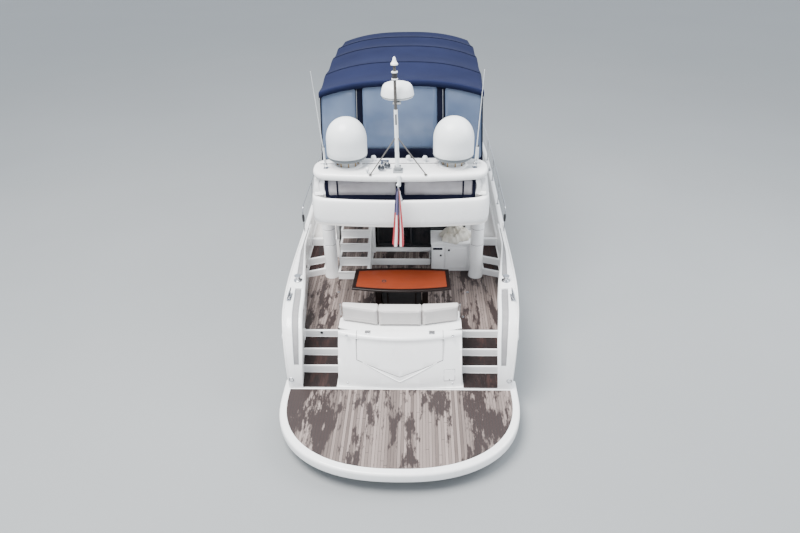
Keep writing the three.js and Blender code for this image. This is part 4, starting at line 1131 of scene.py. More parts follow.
def make_sole():
    bm = bmesh.new()
    outline = SOLE_OUTLINE + flipped(SOLE_OUTLINE[::-1])
    slab(bm, outline, SOLE_Z - 0.02, SOLE_Z + 0.004)
    piece("sole_teak", bm, teak, stands_for=["cockpit_sole"])
    bm = bmesh.new()
    for x0, x1, y0, y1 in ((-0.42, 0.42, -3.3, -2.45), (1.25, 1.82, -3.9, -3.1), (-1.82, -1.25, -3.9, -3.1)):
        top = SOLE_Z + 0.0052
        for a, b in (((x0, y0), (x1, y0 + SEAM)), ((x0, y1 - SEAM), (x1, y1)),
                     ((x0, y0), (x0 + SEAM, y1)), ((x1 - SEAM, y0), (x1, y1))):
            box(bm, (*a, top - 0.004), (*b, top))
    piece("sole_hatch_seams", bm, black_rubber)
    bm = bmesh.new()
    ring = [(0.0, 0.003), (0.032, 0.003), (0.034, 0.007), (0.024, 0.008), (0.022, 0.005), (0.0, 0.005)]
    for x, y in ((0.0, -2.55), (1.46, -3.2), (-1.46, -3.2), (1.3, -4.15), (-0.9, -2.3)):
        turned(bm, [(radius, SOLE_Z + rise) for radius, rise in ring], x, y, 24)
    piece("sole_rings", bm, steel)


make_sole()

# %% [markdown]
# Two more steps on each side lead up to the side deck. They are made like the stern steps: one moulding
# each, with teak pads. Their edges are skewed, the outboard end further aft, which is a shear of all
# points but the ones at the bulkhead.

# %% Side-deck steps
SIDE_TREADS = [
    # aft y, forward y, height
    (-2.42, -2.13, 1.11),
    (-2.13, -1.60, 1.28),
]
SIDE_STEP_X = (1.852, 2.268)
SKEW = 0.38


def skew(bm):
    for vert in bm.verts:
        if vert.co.y < -1.7:
            vert.co.y -= SKEW * (abs(vert.co.x) - SIDE_STEP_X[0])


def make_side_steps(side, sign):
    outline = [(SIDE_TREADS[0][0], 0.94)]
    for aft, forward, z in SIDE_TREADS:
        outline += [(aft, z), (forward, z)]
    outline.append((SIDE_TREADS[-1][1], 0.94))
    x = sorted(end * sign for end in SIDE_STEP_X)
    bm = bmesh.new()
    across_slab(bm, outline, *x)
    skew(bm)
    piece(f"side_steps_{side}", bm, gelcoat, bevel_width=0.014)
    bm = bmesh.new()
    for aft, forward, z in SIDE_TREADS:
        teak_pad(bm, (x[0] + 0.035, x[1] - 0.035), (aft + 0.045, forward - 0.01), z)
    skew(bm)
    piece(f"side_teak_{side}", bm, dark_teak)


both_sides(make_side_steps)

# %% [markdown]
# The transom box is the centrepiece of the stern: its aft face leans in and is curved in plan, its top
# makes the shelf behind the sofa, and the middle of the face is a hinged hatch whose lower edge runs
# to a point. Both come from the same curved sheet: planes cut it along the hatch's outline, and the
# faces inside become the hatch. Solidify gives the hatch its thickness.

# %% Transom box lines
BOX_HALF = 1.20
TRANSOM_PROFILE = [
    # y, z in the middle of the boat, from the platform up and over the shelf
    (-5.845, 0.452),
    (-5.838, 0.56),
    (-5.79, 0.72),
    (-5.735, 0.86),
    (-5.69, 0.98),
    (-5.63, 1.14),
    (-5.575, 1.28),
    (-5.548, 1.345),
    (-5.552, 1.375),
    (-5.548, 1.405),
    (-5.525, 1.432),
    (-5.48, 1.446),
    (-5.42, 1.45),
    (-5.29, 1.45),
]
SHELF_END_Y = -4.93
PLAN_CURVE = {"foot": 0.095, "shelf": 0.20}
HATCH = {"half": 0.83, "low": 0.99, "point": 0.70, "hinge_y": -5.29}


def curve_back(x, z):
    """How far the face falls back from the middle line at a half breadth and height."""
    rise = min(max((z - 0.55) / 0.85, 0), 1) ** 2
    depth = PLAN_CURVE["foot"] + (PLAN_CURVE["shelf"] - PLAN_CURVE["foot"]) * rise
    return depth * (abs(x) / BOX_HALF) ** 2.1


def transom_sheet(xs):
    """The curved face and shelf as a sheet of quads, through the same profile at each x."""
    bm = bmesh.new()
    rows = []
    for x in xs:
        rows.append([(x, y + curve_back(x, z) if y < -5.3 else y, z) for y, z in TRANSOM_PROFILE])
    skin(bm, rows)
    return bm


def cut(bm, point, normal):
    bmesh.ops.bisect_plane(bm, geom=everything(bm), plane_co=point, plane_no=normal, dist=1e-5)


def hatch_share(centre, grow=0.0):
    """True where a point of the sheet belongs to the hatch."""
    half, low, point = HATCH["half"] + grow, HATCH["low"] - grow, HATCH["point"] - grow
    edge = point + (low - point) * min(abs(centre.x) / half, 1)
    return abs(centre.x) < half and centre.z > edge and centre.y < HATCH["hinge_y"] + 0.001


def cut_hatch(bm, grow):
    half, low, point = HATCH["half"] + grow, HATCH["low"] - grow, HATCH["point"] - grow
    for sign in (-1, 1):
        cut(bm, (sign * half, 0, 0), (1, 0, 0))
        cut(bm, (0, 0, point), (sign * (low - point), 0, -half))


print("transom profile:", len(TRANSOM_PROFILE), "points")

# %% Transom box and hatch
def make_transom():
    xs = spread(-BOX_HALF, BOX_HALF, 36)
    gap = 0.009
    bm = transom_sheet(xs)
    cut_hatch(bm, gap)
    doomed = [f for f in bm.faces if hatch_share(f.calc_center_median(), gap)]
    bmesh.ops.delete(bm, geom=doomed, context="FACES")
    for sign in (-1, 1):
        profile = [(y + curve_back(BOX_HALF, z) if y < -5.3 else y, z) for y, z in TRANSOM_PROFILE]
        cheek = profile + [(SHELF_END_Y, 1.45), (SHELF_END_Y + 0.01, 0.452)]
        verts, _ = new_loop(bm, [(sign * BOX_HALF, y, z) for y, z in cheek])
        bm.faces.new(verts)
    box(bm, (-BOX_HALF, HATCH["hinge_y"], 1.39), (BOX_HALF, SHELF_END_Y, 1.45))
    bmesh.ops.remove_doubles(bm, verts=list(bm.verts), dist=1e-4)
    obj = piece("transom_shell", bm, gelcoat, stands_for=["transom_box"], angle=40)
    round_edges(obj, 0.012, 3, 55)
    bm = transom_sheet(xs)
    cut_hatch(bm, 0.0)
    doomed = [f for f in bm.faces if not hatch_share(f.calc_center_median())]
    bmesh.ops.delete(bm, geom=doomed, context="FACES")
    lid = piece("hatch_lid", bm, gelcoat, body="transom_hatch", stands_for=["transom_hatch"], angle=40)
    thicken(lid, 0.04)
    round_edges(lid, 0.004, 2, 55)
    print("hatch lid:", len(lid.data.polygons), "faces")


make_transom()

# %% [markdown]
# Behind the hatch is a locker. Its liner is a box without an aft side, cut by a plane that leans as the
# transom does, so that its edge meets the inside of the face. Solidify makes it a moulded tray. The
# sofa's base stands on the other side of the same box.

# %% Locker liner and sofa base
SEAT_Z = 1.29
SEAT_FRONT_Y = -4.39


def make_locker():
    bm = bmesh.new()
    box(bm, (-0.85, -5.9, 0.66), (0.85, -4.76, 1.375))
    lean = math.atan2(0.24, 0.63)
    normal = (0, -math.cos(lean), math.sin(lean))
    cut_at = (0, -5.625, 0.98)
    bmesh.ops.bisect_plane(bm, geom=everything(bm), plane_co=cut_at, plane_no=normal, clear_outer=True)
    obj = piece("locker_liner", bm, gelcoat, angle=40)
    thicken(obj, 0.006)
    bm = bmesh.new()
    outline = [(SHELF_END_Y, 0.952), (SEAT_FRONT_Y - 0.04, 0.952), (SEAT_FRONT_Y, 1.03),
               (SEAT_FRONT_Y, SEAT_Z), (-4.845, SEAT_Z), (-4.87, 1.45), (SHELF_END_Y, 1.45)]
    across_slab(bm, outline, -BOX_HALF, BOX_HALF)
    piece("sofa_base", bm, gelcoat, bevel_width=0.02)


make_locker()

# %% [markdown]
# Three details of the transom face stand out in raking light: a moulded lip that follows the hatch's
# point a hand's breadth below it, a small square lid low on the right over the power inlet, and the
# gutters at both ends of the shelf. The lip is a tube laid on the curved sheet by looking up its y.

# %% Transom details
def face_y(x, z):
    """The y of the transom face at a height, from the profile's straight pieces."""
    pairs = zip(TRANSOM_PROFILE, TRANSOM_PROFILE[1:])
    (y0, z0), (y1, z1) = next((p for p in pairs if z <= p[1][1]), TRANSOM_PROFILE[-2:])
    return y0 + (y1 - y0) * (z - z0) / (z1 - z0) + curve_back(x, z)


def on_face(x, z, out):
    return (x, face_y(x, z) - out, z)


def make_transom_details():
    bm = bmesh.new()
    drop = 0.10
    half, low, point = 0.72, HATCH["low"] - 0.04, HATCH["point"] - drop
    v_line = [(x, point + (low - point) * abs(x) / half) for x in spread(-half, half, 24)]
    line = [on_face(x, z, 0.001) for x, z in v_line]
    radii = [0.011 * min(1, 0.35 + 3 * (1 - abs(x) / half)) for x, _ in v_line]
    tube(bm, line, 0.011, 10, radii=radii)
    piece("transom_lip", bm, gelcoat)
    bm = bmesh.new()
    x0, x1, z0, z1 = 0.86, 1.06, 0.60, 0.80
    corners = ((x0, z0), (x1, z0), (x1, z1), (x0, z1))
    pushed(bm, [on_face(x, z, 0.006) for x, z in corners], (0, 0.03, 0))
    piece("supply_lid", bm, gelcoat, bevel_width=0.004)
    bm = bmesh.new()
    rim = [on_face(x, z, 0.002) for x, z in ((x0 - 0.006, z0 - 0.006), (x1 + 0.006, z0 - 0.006),
                                             (x1 + 0.006, z1 + 0.006), (x0 - 0.006, z1 + 0.006))]
    tube(bm, rim, 0.003, 6, closed=True)
    rod(bm, on_face(0.96, 0.62, -0.004), on_face(0.96, 0.62, 0.012), 0.009)
    rod(bm, (-1.652, SOLE_AFT_Y - 0.008, 0.90), (-1.652, SOLE_AFT_Y + 0.01, 0.90), 0.030, segments=20)
    piece("lid_seal_and_drain", bm, black_rubber)
    bm = bmesh.new()
    half, low, point = HATCH["half"] + 0.0045, HATCH["low"] - 0.0045, HATCH["point"] - 0.0045
    side = [on_face(half, z, -0.002) for z in spread(low, 1.40, 8)] + [(half, HATCH["hinge_y"] - 0.06, 1.448)]
    foot = [on_face(x, point + (low - point) * x / half, -0.002) for x in spread(0, half, 16)]
    right = foot[:-1] + side
    left = [(-x, y, z) for x, y, z in right[:0:-1]]
    tube(bm, left + right, 0.0042, 8)
    piece("hatch_seal", bm, black_rubber)
    bm = bmesh.new()
    for sign in (-1, 1):
        x, y, z = sign * 0.62, -5.415, 1.452
        rod(bm, (x - 0.05, y, z), (x + 0.05, y, z), 0.008)
        box(bm, (x - 0.055, y + 0.01, z - 0.004), (x + 0.055, y + 0.10, z + 0.004), 0.002, 1)
        ball(bm, (sign * 1.02, -5.48, 1.45), 0.03, (1, 1, 0.5))
        rod(bm, on_face(sign * 1.02, 0.53, 0.0), on_face(sign * 1.02, 0.53, 0.014), 0.02, 0.014)
    piece("transom_fittings", bm, steel)


make_transom_details()

# %% [markdown]
# A foam cushion is a closed vinyl cover under a little pressure: crowned on its faces, tight along its
# edges. The way there is a simulation. The block is remeshed to even squares, Blender's cloth blows it
# up with no gravity, and each point may move only a limited way from where it began. Then the modifier
# is taken off, so the piece keeps the simulated shape.

# %% Cushion maker
VOXEL = 0.016
PUFF_FRAMES = 14
PRESSURE = 4.0
WELT_RADIUS = 0.004


def even_mesh(obj, voxel):
    remesh = obj.modifiers.new("even", "REMESH")
    remesh.mode = "VOXEL"
    remesh.voxel_size = voxel
    shape = bpy.data.meshes.new_from_object(obj.evaluated_get(bpy.context.evaluated_depsgraph_get()))
    obj.modifiers.clear()
    shape.materials.clear()
    for material in obj.data.materials:
        shape.materials.append(material)
    obj.data = shape


def puff(obj, most):
    """Blows the cover up and keeps the result, with no point further than most from its start."""
    start = [v.co.copy() for v in obj.data.vertices]
    cloth = obj.modifiers.new("cover", "CLOTH")
    cloth.settings.quality = 5
    cloth.settings.mass = 0.35
    cloth.settings.tension_stiffness = 18
    cloth.settings.compression_stiffness = 18
    cloth.settings.bending_stiffness = 2.0
    cloth.settings.use_pressure = True
    cloth.settings.uniform_pressure_force = PRESSURE
    cloth.settings.effector_weights.gravity = 0
    cloth.point_cache.frame_start = 1
    cloth.point_cache.frame_end = PUFF_FRAMES
    scene = bpy.context.scene
    for number in range(1, PUFF_FRAMES + 1):
        scene.frame_set(number)
    moved = obj.evaluated_get(bpy.context.evaluated_depsgraph_get()).data
    for vert, before, after in zip(obj.data.vertices, start, moved.vertices):
        shift = after.co - before
        if shift.length > most:
            shift = shift.normalized() * most
        vert.co = before + shift
    obj.modifiers.clear()
    scene.frame_set(1)


def cushion(name, bm, most, stands_for=()):
    obj = piece(name, bm, seat_vinyl, stands_for=stands_for)
    even_mesh(obj, VOXEL)
    puff(obj, most)
    obj.data.shade_smooth()
    finer = obj.modifiers.new("finer", "SUBSURF")
    finer.levels = 1
    finer.render_levels = 1
    return obj


def welt(name, obj, lines):
    """Piping sewn into a seam: a thin tube laid on the finished cushion along each closed line."""
    bm = bmesh.new()
    for line in lines:
        points = []
        for point in line:
            _, place, normal, _ = obj.closest_point_on_mesh(Vector(point))
            points.append(place + normal * WELT_RADIUS * 0.3)
        tube(bm, points, WELT_RADIUS, 6, closed=True)
    piece(name, bm, seat_vinyl)


def outline_points(corners, z):
    """Eight even points on each side of a closed outline in plan, at a height."""
    points = []
    for (x0, y0), (x1, y1) in zip(corners, corners[1:] + corners[:1]):
        points += [(x0 + (x1 - x0) * k / 8, y0 + (y1 - y0) * k / 8, z) for k in range(8)]
    return points


print("voxel:", VOXEL, "m")

# %% [markdown]
# The sofa has three back cushions, the outer two turned a little towards the table, and three seat
# cushions in front of them. Each is a block with soft edges before it is blown up.

# %% Sofa
BACK_LOW, BACK_HIGH = 1.462, 1.838
BACKS = {
    "port": [(-1.148, -4.995), (-0.432, -5.165), (-0.432, -4.93), (-1.148, -4.87)],
    "middle": [(-0.418, -5.165), (0.418, -5.165), (0.418, -4.93), (-0.418, -4.93)],
    "starboard": [(0.432, -5.165), (1.148, -4.995), (1.148, -4.87), (0.432, -4.93)],
}
SEATS = {"port": (-1.15, -0.43), "middle": (-0.418, 0.418), "starboard": (0.43, 1.15)}


def make_sofa():
    for side, plan in BACKS.items():
        bm = bmesh.new()
        slab(bm, plan, BACK_LOW, BACK_HIGH, 0.035, 3)
        stands_for = ["sofa"] if side == "middle" else []
        obj = cushion(f"sofa_back_{side}", bm, 0.014, stands_for)
        lines = [outline_points(plan, z) for z in (BACK_HIGH - 0.03, BACK_LOW + 0.12)]
        welt(f"sofa_back_seam_{side}", obj, lines)
    for side, (x0, x1) in SEATS.items():
        bm = bmesh.new()
        y0, y1 = -4.835, SEAT_FRONT_Y - 0.008
        box(bm, (x0, y0, SEAT_Z + 0.004), (x1, y1, SEAT_Z + 0.112), 0.03, 3)
        obj = cushion(f"sofa_seat_{side}", bm, 0.012)
        corners = [(x0, y0), (x1, y0), (x1, y1), (x0, y1)]
        welt(f"sofa_seat_seam_{side}", obj, [outline_points(corners, SEAT_Z + 0.095)])
    bm = bmesh.new()
    for x in (-1.168, 1.168):
        box(bm, (x - 0.007, -5.03, 1.60), (x + 0.007, -4.985, 1.85), 0.004, 1)
        rod(bm, (x, -5.007, 1.85), (x, -5.007, 1.872), 0.016)
    piece("sofa_brackets", bm, steel)


make_sofa()
print("sofa: 3 backs, 3 seats")

# %% [markdown]
# The table top is drawn from two shallow curves. A dark frame stands a hair above the varnished panel,
# so the border is real geometry: the outline is offset inwards, and the band between the two outlines
# becomes the frame. Below are two pedestals, and between them a black block that is painted shade for the
# dark space under the table.

# %% Table
TABLE = {"top": 1.68, "thick": 0.045, "border": 0.085}
TABLE_CORNERS = [(-1.035, -4.158), (1.035, -4.158), (1.015, -3.395), (-1.015, -3.395)]


def table_outline(inset):
    (x0, y0), (x1, _), (x2, y2), (x3, _) = TABLE_CORNERS
    aft = [(x, y0 + inset - 0.107 * (1 - (x / x1) ** 2)) for x in spread(x0 + inset, x1 - inset, 20)]
    fore = [(x, y2 - inset + 0.06 * (1 - (x / x2) ** 2)) for x in spread(x2 - inset, x3 + inset, 20)]
    return aft + fore


def make_table():
    top, border = TABLE["top"], TABLE["border"]
    under = top - TABLE["thick"]
    section = [(border, top - 0.002), (border, top), (0.008, top + 0.001), (0.002, top - 0.004),
               (0.0, top - 0.012), (0.0, under + 0.01), (0.01, under), (0.2, under)]
    bm = bmesh.new()
    solid_skin(bm, [[(x, y, z) for x, y in table_outline(inset)] for inset, z in section])
    piece("table_frame", bm, wenge, stands_for=["cockpit_table"], angle=30)
    bm = bmesh.new()
    slab(bm, table_outline(border + 0.002), top - 0.02, top - 0.001)
    piece("table_panel", bm, cherry)
    bm = bmesh.new()
    for x in (-0.5, 0.5):
        box(bm, (x - 0.065, -3.95, 0.955), (x + 0.065, -3.57, 1.636), 0.012, 2)
    for x in (-0.30, 0.30):
        box(bm, (x - 0.016, -3.93, 0.955), (x + 0.016, -3.60, 1.40), 0.004, 1)
    piece("table_legs", bm, wenge)
    bm = bmesh.new()
    # A black block between the pedestals: painted shade for the dark space under the table.
    box(bm, (-0.42, -3.90, 0.956), (0.42, -3.62, 1.40), 0.01, 2)
    piece("table_shade_block", bm, black_rubber)
    bm = bmesh.new()
    for x in (-0.5, 0.5):
        for y in (-3.95, -3.57):
            box(bm, (x - 0.08, y - 0.006, 0.952), (x + 0.08, y + 0.006, 0.985), 0.003, 1)
    piece("table_metal", bm, steel)
    bm = bmesh.new()
    ring = [(0.028, -0.002), (0.048, -0.002), (0.050, 0.003), (0.044, 0.007), (0.030, 0.004), (0.028, -0.002)]
    turned(bm, [(radius, top + rise) for radius, rise in ring], -0.37, -3.88, 32)
    piece("table_ring", bm, black_rubber)


make_table()

# %% [markdown]
# Two fat columns carry the overhang of the upper deck. A column is a body of revolution: a lathe
# profile spun round an upright line, with a flared foot and two ring joints that catch the light.

# %% Columns
COLUMN_X, COLUMN_Y = 1.69, -2.45
COLUMN_JOINTS = (1.81, 2.21)


def make_column(side, sign):
    low, high = SOLE_Z + 0.004, 3.055
    profile = [(0.0, low), (0.172, low), (0.172, low + 0.02), (0.164, low + 0.06), (0.154, low + 0.13),
               (0.149, low + 0.24)]
    for joint in COLUMN_JOINTS:
        profile += [(0.148, joint - 0.012), (0.140, joint - 0.006)]
        profile += [(0.140, joint + 0.006), (0.148, joint + 0.012)]
    profile += [(0.148, 2.30), (0.155, 2.42), (0.166, 2.58), (0.184, 2.90), (0.184, high), (0.0, high)]
    bm = bmesh.new()
    turned(bm, profile, sign * COLUMN_X, COLUMN_Y, 56)
    piece(f"column_skin_{side}", bm, gelcoat, stands_for=[f"column_{side}"], angle=30)
    bm = bmesh.new()
    seal = [(0.138, -0.005), (0.143, -0.005), (0.143, 0.005), (0.138, 0.005), (0.138, -0.005)]
    for joint in COLUMN_JOINTS:
        turned(bm, [(radius, joint + rise) for radius, rise in seal], sign * COLUMN_X, COLUMN_Y, 56)
    piece(f"column_seals_{side}", bm, trim_grey)


both_sides(make_column)

# %% [markdown]
# The stairs to the flybridge are a closed flight: white risers, and treads of dark teak with a white
# margin. One outline in side view holds all ten steps. A white stringer closes the inner side, a little
# higher than the treads.

# %% Stairs
STAIR = {"left": -1.52, "right": -0.80, "foot": -2.65, "run": 0.31, "count": 10, "top": 3.2}


def make_stairs():
    rise = (STAIR["top"] - SOLE_Z) / (STAIR["count"] + 1)
    left, right = STAIR["left"] + 0.002, STAIR["right"] - 0.002
    outline = [(STAIR["foot"], SOLE_Z + 0.004)]
    treads = []
    for i in range(STAIR["count"]):
        y, z = STAIR["foot"] + i * STAIR["run"], SOLE_Z + (i + 1) * rise
        outline += [(y + 0.012, z - 0.03), (y, z - 0.022), (y, z), (y + STAIR["run"] + 0.012, z)]
        treads.append((y, z))
    end = STAIR["foot"] + STAIR["count"] * STAIR["run"] + 0.012
    outline += [(end, 1.26), (BULKHEAD_Y, 1.26), (BULKHEAD_Y, SOLE_Z + 0.004)]
    bm = bmesh.new()
    across_slab(bm, outline, left, right)
    piece("stair_flight", bm, gelcoat, stands_for=["fly_stairs"], bevel_width=0.006)
    bm = bmesh.new()
    for y, z in treads:
        teak_pad(bm, (left + 0.05, right - 0.05), (y + 0.03, y + STAIR["run"] - 0.03), z)
    piece("stair_teak", bm, teak)
    bm = bmesh.new()
    start, slope_end = STAIR["foot"], BULKHEAD_Y - 0.004
    high = SOLE_Z + rise * (slope_end - start) / STAIR["run"] + rise + 0.015
    side_view = [(start - 0.03, SOLE_Z + 0.004), (start - 0.03, SOLE_Z + rise * 0.75),
                 (start + 0.02, SOLE_Z + rise + 0.015), (slope_end, high), (slope_end, SOLE_Z + 0.004)]
    across_slab(bm, side_view, right, right + 0.028)
    piece("stair_stringer", bm, gelcoat, bevel_width=0.008)


make_stairs()
print("stairs:", STAIR["count"], "treads")

# %% [markdown]
# The wet bar to starboard is a white cabinet with a moulded top, two doors on rounded frames, black
# push knobs and a dark blue pull. The doors are pieces of their own, because they turn with the joints
# of the frame.

# %% Wet bar
BAR = {"left": 0.66, "split": 0.97, "right": 1.50, "side": 1.64, "aft": -2.26, "top": 1.70}


def make_bar():
    left, right, side, aft, top = (BAR[key] for key in ("left", "right", "side", "aft", "top"))
    bm = bmesh.new()
    wall, low, high = 0.04, 1.05, 1.60
    box(bm, (left, aft, 0.956), (side, BULKHEAD_Y - 0.002, low))
    box(bm, (left, aft, high), (side, BULKHEAD_Y - 0.002, top - 0.03))
    box(bm, (left, -1.66, low), (side, BULKHEAD_Y - 0.002, high))
    for x0, x1 in ((left, left + wall), (BAR["split"] - wall, BAR["split"] + wall), (right - wall, side)):
        box(bm, (x0, aft, low), (x1, -1.66, high))
    piece("bar_cabinet", bm, gelcoat, stands_for=["wet_bar"], normals=False)
    bm = bmesh.new()
    box(bm, (left - 0.018, aft - 0.03, top - 0.032), (side + 0.01, BULKHEAD_Y - 0.002, top + 0.006), 0.014, 3)
    box(bm, (left + 0.03, aft + 0.03, top + 0.004), (BAR["split"] - 0.02, -1.68, top + 0.014), 0.01, 3)
    piece("bar_top", bm, gelcoat)
    doors = (("narrow", left + 0.017, BAR["split"] - 0.01), ("wide", BAR["split"] + 0.01, right - 0.017))
    for name, x0, x1 in doors:
        bm = bmesh.new()
        low, high = 1.022, 1.628
        box(bm, (x0, aft - 0.025, low), (x1, aft - 0.007, high), 0.006, 2)
        box(bm, (x0 + 0.035, aft - 0.031, low + 0.035), (x1 - 0.035, aft - 0.02, high - 0.035), 0.006, 2)
        if name == "wide":
            a, b, c, d = x0 + 0.05, x1 - 0.05, low + 0.05, high - 0.05
            rim = [(x, aft - 0.031, z) for x, z in ((a, c), (b, c), (b, d), (a, d))]
            tube(bm, rim, 0.007, 8, closed=True)
        piece(f"bar_panel_{name}", bm, gelcoat, body=f"bar_door_{name}", stands_for=[f"bar_door_{name}"])
        knob_x, knob_z = (x1 - 0.085, 1.395) if name == "narrow" else (x0 + 0.085, 1.535)
        bm = bmesh.new()
        rod(bm, (knob_x, aft - 0.028, knob_z), (knob_x, aft - 0.050, knob_z), 0.026, 0.022, 20, 0.003)
        piece(f"bar_knob_{name}", bm, black_rubber, body=f"bar_door_{name}")
    bm = bmesh.new()
    box(bm, (left + 0.03, aft - 0.052, 1.550), (BAR["split"] - 0.055, aft - 0.030, 1.598), 0.007, 2)
    piece("bar_pull", bm, dark_and_shaded_canvas, body="bar_door_narrow")


make_bar()

# %% [markdown]
# A cover of cream canvas lies crumpled on the bar. It is one sheet: a low heap whose surface is thrown
# into sharp wandering folds. Where it passes the front edge of the bar it hangs down.

# %% Crumpled cover
HEAP = {"x": 1.22, "y": -1.975, "half": (0.36, 0.30), "height": 0.24, "fold": 0.075, "width": 0.80}


def folds(x, y):
    """Height of the folds, -1 to 1, sharp on their ridges."""
    first = math.sin(17 * x + 7 * y + 2.3 * math.sin(9 * y + 1) + 1.2 * math.sin(14 * x))
    second = math.sin(-8 * x + 21 * y + 2.1 * math.sin(11 * x + 2))
    third = math.sin(31 * x - 26 * y + 1.7 * math.sin(19 * y))
    return 0.5 * (1 - 2 * abs(first) ** 0.8) + 0.35 * (1 - 2 * abs(second) ** 0.8) + 0.15 * third


def heap_point(r, a):
    """Point of the cover at a share of its radius, round an angle."""
    reach = r * (1 + 0.13 * math.sin(3 * a + 1) + 0.07 * math.sin(7 * a) + 0.04 * math.sin(13 * a + 2))
    dx, dy = HEAP["half"][0] * reach * math.cos(a), HEAP["half"][1] * reach * math.sin(a)
    lumps = 1 + 0.35 * math.sin(9 * dx + 2) * math.cos(11 * dy)
    body = HEAP["height"] * max(1 - r ** 3.2, 0) ** 0.7 * lumps
    fold = HEAP["fold"] * folds(dx, dy) * (0.35 + 0.65 * (1 - r ** 3))
    rim = BAR["top"] + 0.017
    z = max(rim + body + fold + 0.02 * (1 - r ** 4), rim)
    x, y = HEAP["x"] + dx + 0.012 * folds(dy, dx), HEAP["y"] + dy
    edge = BAR["aft"] - 0.036
    past = max(edge - y, 0)
    return (x, max(y, edge - 0.012), z - 0.8 * past)


def make_cover():
    bm = bmesh.new()
    rings, steps = 46, 150
    rows = []
    for k in range(1, rings + 1):
        rows.append([heap_point(k / rings, 2 * math.pi * j / steps) for j in range(steps)])
    ends = skin(bm, rows, closed=True)
    top = bm.verts.new(heap_point(0, 0))
    for a, b in zip(ends[0], ends[0][1:] + ends[0][:1]):
        bm.faces.new((top, a, b))
    area = flat_area(bm)
    cover = piece("bar_cover", bm, cream_canvas, angle=70)
    thicken(cover, 0.003, 1)
    print("cover:", round(area, 3), "square metres in a heap of", HEAP["half"])


make_cover()

# %% [markdown]
# The flybridge is moulded like the hull. Its plan is drawn with three cubic curves a side: a stern edge
# that is nearly straight with tight corners, a straight side, and a round front. The coaming round it
# is one skin of rings, each the plan moved in or out by a small inset at its own height.

# %% Plan curves
def bezier(a, b, c, d, steps):
    """Points on a cubic curve, without its first one."""
    points = []
    for k in range(1, steps + 1):
        t, s = k / steps, 1 - k / steps
        weights = (s ** 3, 3 * s * s * t, 3 * s * t * t, t ** 3)
        points.append(tuple(sum(w * p for w, p in zip(weights, axis)) for axis in zip(a, b, c, d)))
    return points


def stern_corner(aft, half):
    """From the middle of the stern edge to the starboard side."""
    knee, control = (half - 0.29, aft + 0.10), (half - 0.90, aft)
    first = (control[0] * 2 / 3, aft)
    second = tuple(k + (c - k) * 2 / 3 for k, c in zip(knee, control))
    across = bezier((0, aft), first, second, knee, 12)
    return across + bezier(knee, (half - 0.09, aft + 0.13), (half, aft + 0.26), (half, aft + 0.52), 14)


def full_plan(half_plan):
    """A closed outline from its starboard half, which starts and ends on the centreline."""
    return half_plan + flipped(half_plan[1:-1])[::-1]


FLY = {"aft": -4.05, "half": 1.77, "front": 3.45, "floor": 3.20, "under": 3.05}


def fly_outline(inset):
    aft, half, front = FLY["aft"] + inset, FLY["half"] - inset, FLY["front"] - inset
    points = [(0.0, aft)] + stern_corner(aft, half)
    points += [(half, y) for y in spread(aft + 0.52, 1.5, 16)[1:]]
    return full_plan(points + bezier((half, 1.5), (half, 3.1 - inset), (1.3, front), (0.0, front), 24))


def rail_z(y):
    """Top of the coaming: low round the stern, rising to the front."""
    return 3.605 + 0.295 * min(max((y + 3.0) / 4.5, 0), 1)


print("flybridge outline:", len(fly_outline(0)), "points")

# %% Flybridge coaming
FLY_SECTION = [
    # inset, True where the height is measured from the rail, height
    (0.42, False, 0.010),
    (0.40, False, -0.003),
    (0.12, False, -0.004),
    (0.045, False, 0.004),
    (0.012, False, 0.024),
    (-0.004, False, 0.06),
    (-0.010, False, 0.14),
    (-0.012, False, 0.30),
    (-0.006, True, -0.14),
    (0.002, True, -0.05),
    (0.012, True, -0.016),
    (0.03, True, 0.0),
    (0.058, True, 0.002),
    (0.078, True, -0.008),
    (0.09, True, -0.035),
    (0.094, True, -0.10),
    (0.10, False, 0.145),
]


def make_fly_coaming():
    rows = []
    for inset, from_rail, height in FLY_SECTION:
        ring = fly_outline(inset)
        rows.append([(x, y, (rail_z(y) if from_rail else FLY["under"]) + height) for x, y in ring])
    bm = bmesh.new()
    ends = skin(bm, rows, closed=True)
    bridge(bm, ends[0], ends[-1])
    piece("fly_shell", bm, gelcoat, stands_for=["fly_coaming_aft", "fly_coaming_front"], angle=40)


make_fly_coaming()
dress(["fly_deck"], nonskid)

# %% [markdown]
# Above the stern of the flybridge stands the radar wing: a low arch whose two legs grow out of the
# coaming and whose slab carries the domes, the mast and the antennas. The slab is ringed like the
# coaming. A leg is a stack of plans: outside it follows the flybridge's corner, inside it flares out
# at the foot and again under the slab, in round fillets.

# %% Radar wing
WING = {"aft": -3.96, "front": -3.0, "half": 1.72, "top": 4.10, "under": 3.96}


def wing_outline(inset):
    aft, half, front = WING["aft"] + inset, WING["half"] - inset, WING["front"] - inset
    points = [(0.0, aft)] + stern_corner(aft, half) + [(half, -3.35)]
    points += bezier((half, -3.35), (half - 0.02, front), (1.3, front), (0.9, front), 10)
    return full_plan(points + [(0.45, front), (0.0, front)])


WING_SECTION = [(0.05, -0.142), (0.02, -0.138), (0.004, -0.122), (-0.004, -0.09), (-0.004, -0.05),
                (0.006, -0.022), (0.022, -0.006), (0.05, 0.001), (0.09, 0.003), (0.12, 0.004)]
LEG_INNER = [
    # inner x, height: fillet at the foot, upright, fillet under the slab
    (1.42, 3.632),
    (1.455, 3.652),
    (1.48, 3.685),
    (1.495, 3.74),
    (1.50, 3.80),
    (1.495, 3.85),
    (1.475, 3.90),
    (1.435, 3.94),
    (1.37, 3.962),
    (1.30, 3.972),
]
LEG_FRONT_Y = -3.18
LEG_FLARE = 0.10


